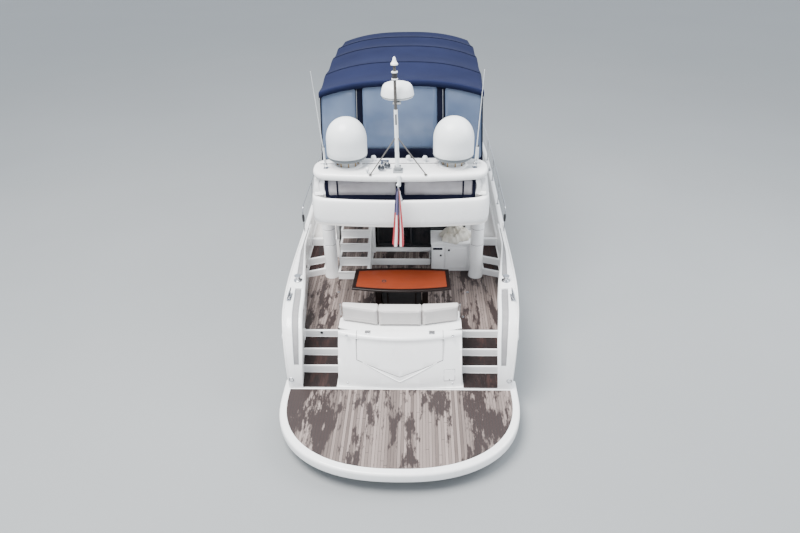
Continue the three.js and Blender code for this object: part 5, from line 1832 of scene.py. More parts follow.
def leg_plan(inner, height):
    """The flybridge's corner outside inner x, whose inner face turns outward abaft the curtain."""
    lean = 0.012 + 0.05 * (height - 3.63) / 0.34
    aft, half = FLY["aft"] + lean + 0.03, FLY["half"] - lean
    edge = inner + LEG_FLARE
    corner = [p for p in stern_corner(aft, half) if p[0] > 1.66]
    start = corner[0][1]
    return [(inner, LEG_FRONT_Y), (inner, -3.77), (edge, start + 0.05), (edge + 0.012, start + 0.02), *corner,
            (half, LEG_FRONT_Y - 0.06), (half - 0.05, LEG_FRONT_Y)]


def make_wing():
    rows = [[(x, y, WING["top"] + height) for x, y in wing_outline(inset)] for inset, height in WING_SECTION]
    bm = bmesh.new()
    solid_skin(bm, rows)
    piece("wing_slab", bm, gelcoat, stands_for=["radar_wing"], angle=40)
    bm = bmesh.new()
    solid_skin(bm, [[(x, y, z) for x, y in leg_plan(inner, z)] for inner, z in LEG_INNER])
    mirror_copy(bm)
    piece("wing_legs", bm, gelcoat, angle=35)


make_wing()
print("wing ring:", len(wing_outline(0)), "points, leg ring:", len(leg_plan(*LEG_INNER[0])), "points")

# %% [markdown]
# A curtain closes the arch: pale see-through vinyl in a navy frame, with a post in the middle and a
# zip near each end. The frame is cut as one flat shape with two holes, which triangle_fill makes from
# loops of edges. The panes are thin sheets that hang a little wavy.

# %% Flat shapes with holes
def rounded(x, z, radius, steps=6):
    """A rectangle with round corners, from its (low, high) pairs."""
    points = []
    corners = ((x[1], z[1], 0), (x[0], z[1], 90), (x[0], z[0], 180), (x[1], z[0], 270))
    for cx, cz, start in corners:
        centre = (cx - math.copysign(radius, cx - sum(x) / 2), cz - math.copysign(radius, cz - sum(z) / 2))
        points += arc(centre, radius, start, start + 90, steps)
    return points


def cut_shape(bm, outline, holes):
    """Flat faces between an outline and its holes, in the (u, v) plane."""
    edges = []
    for loop in [outline] + holes:
        edges += new_loop(bm, [(u, v, 0) for u, v in loop])[1]
    bmesh.ops.triangle_fill(bm, use_beauty=True, use_dissolve=False, edges=edges)


def wavy_pane(bm, u, v, place, each=0.12):
    """A grid of quads between two (low, high) pairs, laid where place puts it."""
    counts = [max(2, round((high - low) / each)) for low, high in (u, v)]
    columns = spread(*u, counts[0])
    skin(bm, [[place(a, b) for a in columns] for b in spread(*v, counts[1])])


def cloth_piece(name, bm, material, thick, stands_for=()):
    """A piece of cloth or vinyl, which Solidify gives its body."""
    obj = piece(name, bm, material, stands_for=stands_for)
    thicken(obj, thick, 0)
    return obj


def window_panel(name, frame, panes, vinyl, flat, stands_for=()):
    """Vinyl panes sewn into a canvas frame: the vinyl is the sheet, and the frame is its hem."""
    area = flat_area(panes)
    # The frame is in the darker canvas, navy with painted shade.
    hem = cloth_piece(f"{name}_canvas", frame, dark_and_shaded_canvas, 0.003, stands_for)
    sheet = cloth_piece(f"{name}_vinyl", panes, vinyl, 0.0015)
    print(f"{name}: {area:.2f} of {flat[0] * flat[1]:.2f} square metres are vinyl")


# %% Curtain
CURTAIN = {
    "half": 1.473, "low": 3.30, "high": 3.956, "y": -3.7825, "band": 0.065, "post": 0.085, "sill": 3.625,
}


def make_curtain():
    half, low, high, y0 = (CURTAIN[key] for key in ("half", "low", "high", "y"))
    outline = [(-half, low), (half, low), (half, high), (-half, high)]
    spans = ((-half + CURTAIN["band"], -CURTAIN["post"]), (CURTAIN["post"], half - CURTAIN["band"]))
    holes = [rounded(span, (CURTAIN["sill"], high - 0.02), 0.03, 4) for span in spans]
    frame, panes = bmesh.new(), bmesh.new()
    cut_shape(frame, outline, holes)
    for vert in frame.verts:
        u, v, _ = vert.co
        vert.co = (u, y0 - 0.003, v)
    for u in spans:
        grown = (u[0] - 0.012, u[1] + 0.012)
        wavy_pane(panes, grown, (CURTAIN["sill"] - 0.02, high - 0.008),
                  lambda a, b: (a, y0 + 0.004 + 0.003 * math.sin(9 * a + 3 * b), b))
    flat = (2 * half, high - low)
    window_panel("curtain", frame, panes, curtain_vinyl, flat, ["wing_curtain"])
    bm = bmesh.new()
    for x in (-1.23, 1.23):
        box(bm, (x - 0.016, y0 - 0.011, low), (x + 0.016, y0 - 0.002, high), 0.002, 1)
    # The zips take the darker canvas too, with its painted shade.
    piece("curtain_zips", bm, dark_and_shaded_canvas)


make_curtain()

# %% [markdown]
# Two satellite domes stand on the wing. Each is a lathe body: a round pedestal, a grey-blue skirt and
# a white cap whose side is straight before it closes in a round top. A superellipse gives that top with
# a single exponent.

# %% Satellite domes
DOME = {"x": 1.04, "y": -3.40, "radius": 0.395, "waist": 4.375, "shoulder": 4.62, "top": 5.065, "power": 2.15}


def dome_curve(low, high, radius, power, steps):
    """(radius, z) from the waist up to the pole."""
    points = []
    for k in range(steps + 1):
        a = math.radians(90 * k / steps)
        points.append((radius * math.cos(a) ** (2 / power), low + (high - low) * math.sin(a) ** (2 / power)))
    return points[:-1] + [(0.0, high)]


def make_dome(side, sign):
    x, y, r, waist, foot = sign * DOME["x"], DOME["y"], DOME["radius"], DOME["waist"], WING["top"]
    bm = bmesh.new()
    cap = [(0.0, waist - 0.04), (r - 0.004, waist - 0.04), (r - 0.001, waist - 0.036), (r, waist + 0.06)]
    turned(bm, cap + dome_curve(DOME["shoulder"], DOME["top"], r, DOME["power"], 22), x, y, 64)
    piece(f"dome_cap_{side}", bm, white_plastic, stands_for=[f"satellite_dome_{side}"], angle=40)
    bm = bmesh.new()
    skirt = [(0.0, 4.232), (0.22, 4.232), (0.29, 4.238), (0.335, 4.250), (0.370, 4.275), (0.388, 4.305)]
    turned(bm, skirt + [(0.391, waist - 0.045), (0.385, waist - 0.041), (0.0, waist - 0.041)], x, y, 64)
    piece(f"dome_skirt_{side}", bm, grey_blue, angle=40)
    bm = bmesh.new()
    plinth = [(0.0, 0.002), (0.285, 0.002), (0.285, 0.014), (0.262, 0.030), (0.235, 0.034), (0.225, 0.020),
              (0.15, 0.020), (0.14, 0.132), (0.0, 0.132)]
    turned(bm, [(radius, foot + rise) for radius, rise in plinth], x, y, 56)
    piece(f"dome_plinth_{side}", bm, gelcoat, angle=40)
    bm = bmesh.new()
    for k in range(8):
        a = math.radians(45 * k + 10)
        stud = Vector((x + 0.20 * math.cos(a), y + 0.20 * math.sin(a), foot + 0.018))
        rod(bm, stud, stud + Vector((0, 0, 0.115)), 0.012, segments=10)
        rod(bm, stud, stud + Vector((0, 0, 0.016)), 0.019, segments=6)
    piece(f"dome_studs_{side}", bm, bronze)


both_sides(make_dome)

# %% [markdown]
# The mast stands between the domes: a grey foot plate, a white pole that goes over to grey, a shelf for
# the radar scanner, a lamp box in black and white, and a cone light on top. Two stays brace it. The
# scanner is a flat drum with a grey band round it.

# %% Mast and radar scanner
MAST_Y, RADOME_Y = -3.70, -3.33
RADOME_Z = 5.42
CONE_LIGHT = [(0.0, 6.10), (0.066, 6.104), (0.066, 6.125), (0.05, 6.145), (0.034, 6.175), (0.026, 6.215),
              (0.014, 6.24), (0.0, 6.246)]


def mast_at(z):
    """The pole leans a little to port."""
    return (-0.045 - 0.011 * (z - WING["top"]), MAST_Y, z)


def make_mast():
    foot, x, radar = WING["top"], mast_at(5.1)[0], RADOME_Z
    bm = bmesh.new()
    rod(bm, mast_at(foot + 0.04), mast_at(5.30), 0.040, 0.035, 20)
    for low, high in ((5.845, 5.868), (5.965, 5.99)):
        rod(bm, mast_at(low), mast_at(high), 0.058, 0.058, 20, 0.005)
    turned(bm, CONE_LIGHT, mast_at(6.1)[0], MAST_Y, 24)
    rod(bm, (-0.01, -4.0, 3.90), (-0.01, -4.0, 4.125), 0.036, 0.036, 20, 0.01)
    piece("mast_white_parts", bm, white_plastic, stands_for=["mast"])
    bm = bmesh.new()
    box(bm, (-0.130, MAST_Y - 0.15, foot + 0.002), (0.060, MAST_Y + 0.095, foot + 0.022), 0.006, 2)
    box(bm, (-0.105, MAST_Y - 0.08, foot + 0.02), (0.025, MAST_Y + 0.06, foot + 0.10), 0.012, 2)
    box(bm, (x - 0.055, MAST_Y - 0.02, radar - 0.025), (x + 0.090, RADOME_Y + 0.08, radar - 0.007), 0.004, 1)
    box(bm, (x - 0.008, MAST_Y + 0.02, radar - 0.19), (x + 0.008, RADOME_Y - 0.06, radar - 0.024), 0.003, 1)
    box(bm, (-0.05, -3.985, 4.03), (0.03, -3.955, 4.095), 0.004, 1)
    plate = [(0.0, radar - 0.008), (0.12, radar - 0.008), (0.12, radar), (0.0, radar)]
    turned(bm, plate, -0.035, RADOME_Y, 32)
    piece("mast_grey_parts", bm, grey_plastic)
    bm = bmesh.new()
    rod(bm, mast_at(5.86), mast_at(5.97), 0.048, 0.048, 20)
    box(bm, (x - 0.014, MAST_Y - 0.041, 5.02), (x + 0.014, MAST_Y - 0.030, 5.22), 0.003, 1)
    piece("mast_lamp_box", bm, black_rubber)
    bm = bmesh.new()
    rod(bm, mast_at(5.28), mast_at(6.105), 0.029, 0.026, 20)
    flange = [(0.0, foot + 0.003), (0.034, foot + 0.003), (0.03, foot + 0.012), (0.0, foot + 0.014)]
    for stay_x in (-0.56, 0.50):
        rod(bm, (stay_x, -3.92, foot + 0.01), mast_at(4.79), 0.012, 0.012, 12)
        turned(bm, flange, stay_x, -3.92, 20)
    piece("mast_upper_pole_and_stays", bm, dull_metal)
    bm = bmesh.new()
    pan = [(0.0, 0.002), (0.20, 0.002), (0.27, 0.008), (0.300, 0.022), (0.310, 0.040), (0.312, 0.055)]
    lid = [(0.312, 0.055), (0.308, 0.09), (0.292, 0.17), (0.272, 0.222), (0.245, 0.250), (0.20, 0.266),
           (0.12, 0.2735), (0.0, 0.274)]
    for profile in (pan, lid):
        turned(bm, [(r, radar + z) for r, z in profile], -0.035, RADOME_Y, 64)
    piece("scanner_drum", bm, white_plastic, stands_for=["radome"], angle=40)
    bm = bmesh.new()
    band = [(0.309, 0.042), (0.3135, 0.042), (0.3135, 0.054), (0.309, 0.054), (0.309, 0.042)]
    turned(bm, [(r, radar + z) for r, z in band], -0.035, RADOME_Y, 64)
    piece("scanner_band", bm, grey_blue)


make_mast()
print("mast and scanner made")

# %% [markdown]
# On the outer corners of the wing a whip antenna stands in a chrome ratchet foot, so that it can be laid
# down for a bridge. The foot is bolted to the wing; the knuckle and the whip turn with their joint.
# Along the slab are small receivers: two white tubes with black caps, four mushrooms and twin horns.

# %% Whip antennas
WHIP_FOOT = Vector((1.46, -3.56, 4.19))
WHIP_TIP = Vector((1.485, -4.20, 6.12))


def make_whip(side, sign):
    foot, tip = (Vector((sign * p.x, p.y, p.z)) for p in (WHIP_FOOT, WHIP_TIP))
    up = (tip - foot).normalized()
    body = f"whip_antenna_{side}"
    bm = bmesh.new()
    rod(bm, foot + up * 0.10, foot + up * 0.42, 0.0155, 0.0145, 14)
    rod(bm, foot + up * 0.42, tip, 0.0095, 0.004, 12)
    ball(bm, tip, 0.006, segments=10, rings=6)
    piece(f"whip_{side}", bm, white_plastic, body=body, stands_for=[body])
    bm = bmesh.new()
    rod(bm, foot + up * 0.02, foot + up * 0.10, 0.019, 0.017, 18, 0.003)
    rod(bm, foot + Vector((-0.02, 0, 0)), foot + Vector((0.02, 0, 0)), 0.029, 0.029, 24, 0.004)
    rod(bm, foot + up * 0.415, foot + up * 0.435, 0.0175, 0.016, 14)
    piece(f"whip_knuckle_{side}", bm, steel, body=body)
    bm = bmesh.new()
    box(bm, (foot.x - 0.045, foot.y - 0.05, 4.100), (foot.x + 0.045, foot.y + 0.05, 4.110), 0.003, 2)
    for x in (foot.x - 0.030, foot.x + 0.030):
        box(bm, (x - 0.004, foot.y - 0.026, 4.108), (x + 0.004, foot.y + 0.026, 4.205), 0.0035, 2)
    rod(bm, foot + Vector((-0.040, 0, 0)), foot + Vector((-0.0345, 0, 0)), 0.014, 0.014, 8)
    rod(bm, foot + Vector((0.0345, 0, 0)), foot + Vector((0.058, 0, 0)), 0.010, 0.010, 12, 0.002)
    piece(f"whip_mount_{side}", bm, steel)


both_sides(make_whip)

# %% Small receivers and horns
MUSHROOMS = [(-0.54, -3.22, 0.052), (0.156, -3.22, 0.046), (0.488, -3.25, 0.052), (-0.62, -3.86, 0.040)]
MUSHROOM = [(0.0, 0.002), (0.62, 0.002), (0.42, 0.02), (0.40, 0.055), (0.92, 0.062), (1.0, 0.078),
            (0.94, 0.102), (0.66, 0.124), (0.0, 0.134)]
TUBES = [(-1.53, -3.22), (1.53, -3.22)]
HORNS = [(-0.36, -3.42, 0.34), (-0.25, -3.38, 0.27)]


def make_receivers():
    top = WING["top"]
    bm = bmesh.new()
    for x, y, r in MUSHROOMS:
        turned(bm, [(r * share, top + rise) for share, rise in MUSHROOM], x, y, 28)
    flange = [(0.0, top + 0.002), (0.034, top + 0.002), (0.03, top + 0.016), (0.0, top + 0.018)]
    for x, y in TUBES:
        rod(bm, (x, y, top + 0.002), (x, y, top + 0.30), 0.020, 0.020, 16)
        turned(bm, flange, x, y, 20)
    piece("receivers", bm, white_plastic)
    bm = bmesh.new()
    for x, y in TUBES:
        rod(bm, (x, y, top + 0.30), (x, y, top + 0.335), 0.022, 0.019, 16, 0.004)
    piece("receiver_caps", bm, black_rubber)
    bm = bmesh.new()
    for x, y, length in HORNS:
        z = top + 0.085
        rows = []
        for share in spread(0, 1, 12):
            r = 0.015 + 0.056 * share ** 3.0
            rows.append([(x + r * math.cos(a), y - length * share, z + r * math.sin(a))
                         for a in [math.radians(15 * k) for k in range(24)]])
        rows.append([(x + (p[0] - x) * 0.9, p[1] + 0.004, z + (p[2] - z) * 0.9) for p in rows[-1]])
        rows.append([(x + (p[0] - x) * 0.25, p[1] + 0.10, z + (p[2] - z) * 0.25) for p in rows[-1]])
        solid_skin(bm, rows)
        box(bm, (x - 0.012, y - 0.09, top + 0.002), (x + 0.012, y - 0.03, z - 0.008), 0.003, 1)
    box(bm, (-0.39, -3.42, top + 0.002), (-0.22, -3.35, top + 0.09), 0.012, 2)
    piece("horns", bm, steel)


make_receivers()

# %% [markdown]
# The canopy over the flybridge is one continuous curved sheet of navy canvas, stretched over four steel
# bows. Across the boat its section is a flat arch; along the boat it dips a little between the bows.
# Each section is skinned to the next, the sides and ends turn down in a hem, and Solidify gives the
# cloth its body. Sewn seams lie over the bows as thin welts.

# %% Canopy
CANOPY_LINE = [
    # y, crown, half breadth, height of the edge
    (-2.35, 0.225, 1.675, 5.262),
    (-1.00, 0.270, 1.740, 5.230),
    (0.50, 0.290, 1.770, 5.230),
    (2.20, 0.275, 1.770, 5.230),
    (3.00, 0.240, 1.690, 5.205),
]
SEAM_YS = (-0.82, 0.78, 1.95)
DIP = 0.055
HEM = 0.115


def canopy_dip(y):
    """Sag between two bows, nothing over them."""
    stops = [CANOPY_LINE[0][0], *SEAM_YS, CANOPY_LINE[-1][0]]
    for a, b in zip(stops, stops[1:]):
        if a <= y <= b:
            return DIP * min(1, (b - a) / 1.4) * math.sin(math.pi * (y - a) / (b - a)) ** 1.5
    return 0.0


def canopy_z(x, y):
    crown, half, edge = at_station(CANOPY_LINE, y)
    return edge + crown * (1 - min(abs(x) / half, 1) ** 2.6) - canopy_dip(y)


def canopy_section(y, drop=0.0):
    _, half, _ = at_station(CANOPY_LINE, y)
    top = [(half * s, y, canopy_z(half * s, y) - drop) for s in spread(-1, 1, 40)]
    edge = canopy_z(half, y) - drop
    side = [(half + 0.008, edge - 0.012), (half + 0.010, edge - 0.03), (half + 0.006, edge - HEM)]
    starboard = [(x, y, max(z, edge - HEM)) for x, z in side]
    return flipped(starboard)[::-1] + top + starboard


def make_canopy():
    aft, fore = CANOPY_LINE[0][0], CANOPY_LINE[-1][0]
    ys = sorted(set(spread(aft, fore, 64)) | set(SEAM_YS))
    rows = [[(x, y - 0.006, z) for x, y, z in canopy_section(aft, HEM)]]
    rows.append([(x, y - 0.008, z) for x, y, z in canopy_section(aft, 0.012)])
    rows += [canopy_section(y) for y in ys]
    rows.append([(x, y + 0.008, z) for x, y, z in canopy_section(fore, 0.012)])
    rows.append([(x, y + 0.004, z) for x, y, z in canopy_section(fore, HEM)])
    bm = bmesh.new()
    skin(bm, rows)
    seams = bmesh.new()
    for y in SEAM_YS:
        for side in (-0.02, 0.02):
            half = at_station(CANOPY_LINE, y + side)[1]
            xs = [half * s for s in spread(-0.995, 0.995, 40)]
            tube(seams, [(x, y + side, canopy_z(x, y + side) + 0.003) for x in xs], 0.0035, 6)
    # The welts are in the darker canvas, which paints the shade of the dips beside the bows.
    piece("canopy_seams", seams, dark_and_shaded_canvas)
    area = flat_area(bm)
    canopy = piece("canopy_sheet", bm, canvas, stands_for=["canopy_top"], angle=60)
    thicken(canopy, 0.004)


make_canopy()

# %% [markdown]
# Below the canopy hangs the enclosure: clear vinyl windows sewn into navy canvas. Every side is drawn
# flat, as a sailmaker cuts it, with its windows as holes, and then laid where it belongs. The vinyl
# lies just inside the canvas.

# %% Enclosure
ENCLOSURE = [
    # foot y, lean forward per metre up, half breadth and height at the foot, half breadth at the top
    (-2.32, 0.0, 1.735, 3.690, 1.650),
    (1.50, 0.0, 1.710, 3.906, 1.730),
    (2.48, 0.3, 1.600, 3.906, 1.650),
]
ENCLOSURE_TOP = 5.50


def side_place(sign, out=0.0):
    """Puts a flat point (y at the foot, z) on the enclosure's side."""
    def place(u, v):
        low, high = ENCLOSURE[:2] if u < ENCLOSURE[1][0] else ENCLOSURE[1:]
        share = (u - low[0]) / (high[0] - low[0])
        lean, half, foot, top = (a + (b - a) * share for a, b in zip(low[1:], high[1:]))
        x = half + (top - half) * (v - foot) / (ENCLOSURE_TOP - foot)
        return (sign * (x + out), u + lean * (v - foot), v)
    return place


def end_place(station, out=0.0):
    """Puts a flat point (share of the half breadth from -1 to 1, z) on the aft or front side."""
    def place(u, v):
        y, lean, half, foot, top = ENCLOSURE[station]
        x = half + (top - half) * (v - foot) / (ENCLOSURE_TOP - foot)
        return (u * x, y + lean * (v - foot) + out, v)
    return place


def under_canopy(x, y):
    return canopy_z(x, y) - 0.014


def side_top(u):
    """Height at which the side wall, at y u of its foot, meets the canopy."""
    x, y, _ = side_place(1)(u, 5.25)
    return under_canopy(x, y)


def refine(bm, length):
    """Splits long edges so that a flat shape can be bent."""
    for _ in range(3):
        long_edges = [e for e in bm.edges if e.calc_length() > length]
        if long_edges:
            bmesh.ops.subdivide_edges(bm, edges=long_edges, cuts=1, use_grid_fill=True)
    bmesh.ops.triangulate(bm, faces=[f for f in bm.faces if len(f.verts) > 4])


def make_wall(name, outline, windows, place, inside, stands_for=()):
    """Canvas with holes, and a vinyl pane a finger's breadth larger behind each hole. A window is its
    (low, high) ends, its sill and a function for its head, which follows the canopy."""
    frame, panes = bmesh.new(), bmesh.new()
    holes = []
    for ends, sill, head in windows:
        shape = rounded(ends, (0, 1), 0.06)
        holes.append([(u, sill + (head(u) - sill) * v) for u, v in shape])
    cut_shape(frame, outline, holes)
    refine(frame, 0.35)
    for vert in frame.verts:
        vert.co = place(vert.co.x, vert.co.y)
    us, vs = ([p[axis] for p in outline] for axis in (0, 1))
    corners = [Vector(place(u, v)) for u, v in ((min(us), min(vs)), (max(us), min(vs)), (max(us), max(vs)))]
    flat = ((corners[1] - corners[0]).length, (corners[2] - corners[1]).length)
    for ends, sill, head in windows:
        wavy_pane(panes, (ends[0] - 0.008, ends[1] + 0.008), (-0.01, 1.01),
                  lambda u, v: inside(u, sill + (head(u) - sill) * v), 0.06)
    window_panel(name, frame, panes, clear_vinyl, flat, stands_for)


def make_side(side, sign):
    outline = [(y, foot) for y, _, _, foot, _ in ENCLOSURE]
    top = [(y, side_top(y)) for y in spread(ENCLOSURE[2][0], ENCLOSURE[0][0], 26)]
    windows = []
    for y0, y1 in ((-2.25, -0.90), (-0.80, 0.70), (0.80, 2.36)):
        sill = min(3.69 + 0.216 * (y1 + 2.32) / 3.82, 3.906) + 0.09
        windows.append(((y0, y1), sill, lambda y: side_top(y) - 0.09))
    make_wall(f"enclosure_{side}", outline + top, windows, side_place(sign), side_place(sign, -0.006),
              ["enclosure"] if sign > 0 else [])


def make_end(name, station, inside, breadth, drop, windows):
    """The aft or the front side, whose windows are their (low, high) ends and their sills."""
    y, lean, _, foot, _ = ENCLOSURE[station]
    top_y = y + lean * 1.3

    def head(u):
        return under_canopy(u * breadth, top_y) - drop

    top = [(u, under_canopy(u * breadth, top_y)) for u in spread(0.998, -0.998, 24)]
    outline = [(-0.998, foot), (0.998, foot)] + top
    cut_windows = [(ends, sill, head) for ends, sill in windows]
    make_wall(f"enclosure_{name}", outline, cut_windows, end_place(station), end_place(station, inside))


both_sides(make_side)
make_end("aft", 0, 0.006, 1.66, 0.075,
         [((-0.985, -0.560), 3.80), ((-0.476, 0.442), 4.04), ((0.538, 0.985), 3.80)])
make_end("front", 2, -0.006, 1.64, 0.09,
         [((-0.96, -0.36), 4.00), ((-0.31, 0.31), 4.00), ((0.36, 0.96), 4.00)])
dress(["canopy_frame"], steel)

# %% [markdown]
# Zips join the panels, and press studs hold the foot of the canvas down. A zip is a narrow band of grey
# teeth beside each window of the aft side; a stud is a tiny lathe body, repeated along the foot.

# %% Zips and studs
def make_zips():
    place = end_place(0, -0.004)
    bm = bmesh.new()
    for u in (-0.548, 0.512):
        lines = [[place(u + du, v) for v in spread(3.74, 5.30, 20)] for du in (-0.003, 0.003)]
        skin(bm, lines)
    thicken(piece("enclosure_zips", bm, grey_plastic), 0.003)
    bm = bmesh.new()
    for k in range(17):
        u = -0.96 + 0.12 * k
        x, y, z = place(u, 4.14)
        rod(bm, (x, y + 0.001, z), (x, y - 0.006, z), 0.008, 0.006, 10)
    piece("enclosure_studs", bm, steel)


make_zips()

# %% [markdown]
# The ensign hangs limp from a short white staff. A limp flag keeps its full width, which is gathered in
# folds, so each level is a wave whose length along the cloth is the flag's breadth. The stripes and
# the plain blue canton follow the cloth, so they are painted by its own UV map: u across the breadth
# and v down the fly.

# %% Ensign cloth
def ensign_look(tree, shader):
    uv = node(tree, "ShaderNodeSeparateXYZ", i0=tree.nodes.new("ShaderNodeUVMap").outputs["UV"]).outputs
    number = math_node(tree, "FLOOR", math_node(tree, "MULTIPLY", uv[0], 13.0))
    stripe = math_node(tree, "MODULO", number, 2.0)
    striped = mix(tree, stripe, (0.40, 0.012, 0.026), (0.74, 0.70, 0.70))
    across = math_node(tree, "LESS_THAN", uv[0], 7 / 13)
    canton = math_node(tree, "MULTIPLY", across, math_node(tree, "LESS_THAN", uv[1], 0.42))
    faded = mix(tree, canton, striped, (0.050, 0.042, 0.150))
    worn = math_node(tree, "MULTIPLY", use_group(tree, "mottle", Scale=9.0, Contrast=0.8), 0.12)
    set_colour(tree, shader, mix(tree, worn, faded, (0.30, 0.27, 0.28)))
    set_bump(tree, shader, use_group(tree, "weave", Pitch=2200.0), 0.2, 0.0004)


bunting = new_material("bunting", (0.4, 0.1, 0.12), 0.85, ensign_look, Sheen_Weight=0.3)
ENSIGN = {"breadth": 0.62, "fly": 1.20, "top": 3.955, "low": 2.76, "folds": 2}


def ensign_row(v, columns, depth):
    """One level of the hanging cloth, v down its fly from 0 to 1: folds that bulge past each other."""
    width = 0.07 + 0.165 * v ** 0.8
    z = ENSIGN["top"] - (ENSIGN["top"] - ENSIGN["low"]) * v
    centre = -0.015 - 0.02 * v + 0.02 * v * math.sin(3.1 * v)
    row = []
    for u in spread(0, 1, columns):
        turn = 2 * math.pi * ENSIGN["folds"] * u + 0.5 + 0.9 * v
        x = centre + width * (u - 0.5 - 0.09 * math.sin(2 * turn))
        row.append((x, -4.282 + depth * math.sin(turn), z))
    return row


def cut_to_breadth(v, columns):
    """The level whose folds are just deep enough to take up the cloth's breadth."""
    low, high = 0.0, 0.2
    for _ in range(14):
        depth = (low + high) / 2
        row = ensign_row(v, columns, depth)
        longer = sum(math.dist(a, b) for a, b in zip(row, row[1:])) > ENSIGN["breadth"]
        low, high = (low, depth) if longer else (depth, high)
    return ensign_row(v, columns, low)


def make_ensign():
    bm = bmesh.new()
    columns, rows = 96, 60
    skin(bm, [cut_to_breadth(v / rows, columns) for v in range(rows + 1)])
    layer = bm.loops.layers.uv.new("flag")
    wide = {}
    for index, vert in enumerate(bm.verts):
        wide[vert] = ((index % (columns + 1)) / columns, (index // (columns + 1)) / rows)
    for face in bm.faces:
        for loop in face.loops:
            loop[layer].uv = wide[loop.vert]
    area = flat_area(bm)
    print("ensign cloth:", round(area, 3), "square metres")
    obj = piece("ensign_cloth", bm, bunting, stands_for=["ensign"], angle=80)
    bm = bmesh.new()
    rod(bm, (0.035, -4.01, 3.612), (-0.03, -4.25, 4.03), 0.0135, 0.011, 14)
    ball(bm, (-0.031, -4.253, 4.04), 0.024)
    piece("staff", bm, white_plastic, stands_for=["ensign_staff"])
    bm = bmesh.new()
    socket = [(0.0, 3.607), (0.03, 3.607), (0.028, 3.617), (0.018, 3.625), (0.016, 3.665), (0.0, 3.665)]
    turned(bm, socket, 0.031, -4.01, 20)
    piece("staff_socket", bm, steel)


make_ensign()

# %% [markdown]
# The deck moulding is skinned from one section per station like the hull: from bulwark to deckhouse
# along the side decks, and right across before the deckhouse. Walking areas carry panels of non-skid a
# few millimetres proud, with bare gelcoat left round their edges.

# %% Deck
CABIN_HALF, SALOON_Z = 1.65, 1.25
ROOF_LINE = [
    # y, half breadth and height of the coachroof
    (3.72, 1.60, 2.080),
    (4.35, 1.59, 2.080),
    (5.20, 1.45, 2.090),
    (6.20, 1.18, 2.138),
    (6.85, 0.85, 2.110),
    (7.12, 0.60, 2.050),
    (7.26, 0.40, 1.990),
]


def deck_edge(y):
    """Where the deck meets the bulwark's inner face."""
    return max(topside_x(y, deck_z(y)) - WALL - 0.002, 0.01)


def make_deck():
    bm = bmesh.new()
    for sign in (-1, 1):
        rows = []
        for y in spread(-1.598, 3.74, 34):
            z, outer = deck_z(y), deck_edge(y)
            section = [(1.592, z - 0.05), (1.592, z), (outer, z), (outer + 0.02, z + 0.02),
                       (outer + 0.02, z - 0.05)]
            rows.append([(sign * x, y, h) for x, h in section])
        solid_skin(bm, rows)
        x0, x1 = sorted((sign * 1.60, sign * 2.27))
        box(bm, (x0, -1.60, 0.94), (x1, -1.565, 1.46), 0.004, 1)
    rows = []
    for y in spread(3.74, 9.60, 40):
        z, outer = deck_z(y), deck_edge(y)
        half = [(outer, z - 0.05), (outer, z)]
        rows.append([(-x, y, h) for x, h in half] + [(x, y, h) for x, h in reversed(half)])
    solid_skin(bm, rows)
    box(bm, (-1.585, -1.60, 0.94), (1.585, -1.565, 1.225))
    box(bm, (-1.60, 3.70, SALOON_Z - 0.02), (1.60, 3.74, 2.06))
    piece("deck_plates", bm, gelcoat, stands_for=["deck"], angle=30)
    bm = bmesh.new()
    box(bm, (-1.595, -1.565, SALOON_Z - 0.03), (1.595, 3.70, SALOON_Z - 0.002))
    piece("saloon_floor", bm, wenge)


def make_nonskid():
    bm = bmesh.new()
    panels = [(-1.50, 1.04), (1.12, 3.64), (3.72, 5.40), (5.48, 7.30)]
    for sign in (-1, 1):
        for y0, y1 in panels:
            rows = []
            for y in spread(y0, y1, 10):
                inner = at_station(ROOF_LINE, y)[0] + 0.07 if y > 3.7 else CABIN_HALF + 0.05
                z = deck_z(y) + 0.001
                rows.append([(sign * inner, y, z), (sign * (deck_edge(y) - 0.05), y, z)])
            skin(bm, rows)
        rows = []
        for y in spread(7.40, 8.62, 8):
            z = deck_z(y) + 0.001
            rows.append([(sign * 0.05, y, z), (sign * (deck_edge(y) - 0.06), y, z)])
        skin(bm, rows)
    thicken(piece("deck_nonskid", bm, nonskid), 0.004, 1)


def make_coachroof():
    bm = bmesh.new()
    rows = []
    for y in spread(3.72, 7.26, 44):
        x, top = at_station(ROOF_LINE, y)
        foot = deck_z(y) - 0.02
        top = foot + (top - foot) * min(1, (7.32 - y) / 0.30) ** 0.5
        half = [(x + 0.02, foot), (x + 0.008, foot + (top - foot) * 0.3), (x, top - 0.10),
                (x - 0.012, top - 0.045), (x - 0.045, top - 0.012), (x - 0.10, top), (x * 0.5, top + 0.006)]
        half = [(-max(a, 0.02), y, max(h, foot)) for a, h in half]
        rows.append(half + [(0, y, top + 0.008)] + flipped(half[::-1]))
    solid_skin(bm, rows, closed=False)
    box(bm, (-0.32, 6.30, 2.09), (0.32, 6.90, 2.150), 0.012, 2)
    piece("coachroof", bm, gelcoat, angle=35)
    bm = bmesh.new()
    for x0, x1 in ((-1.30, -1.0), (1.0, 1.30)):
        ys = spread(4.10, 5.05, 6)
        skin(bm, [[(x, y, at_station(ROOF_LINE, y)[1] + 0.003) for x in (x0, x1)] for y in ys])
    thicken(piece("coachroof_nonskid", bm, nonskid), 0.004, 1)


make_deck()
make_nonskid()
make_coachroof()
print("deck made")

# %% [markdown]
# On the foredeck lie a sunbathing pad and a hatch with a smoked lid, and before them the anchor gear: a
# windlass with its gypsy, a length of chain, and a plough anchor in a bow roller. The chain is one link
# repeated with every second one turned a quarter.

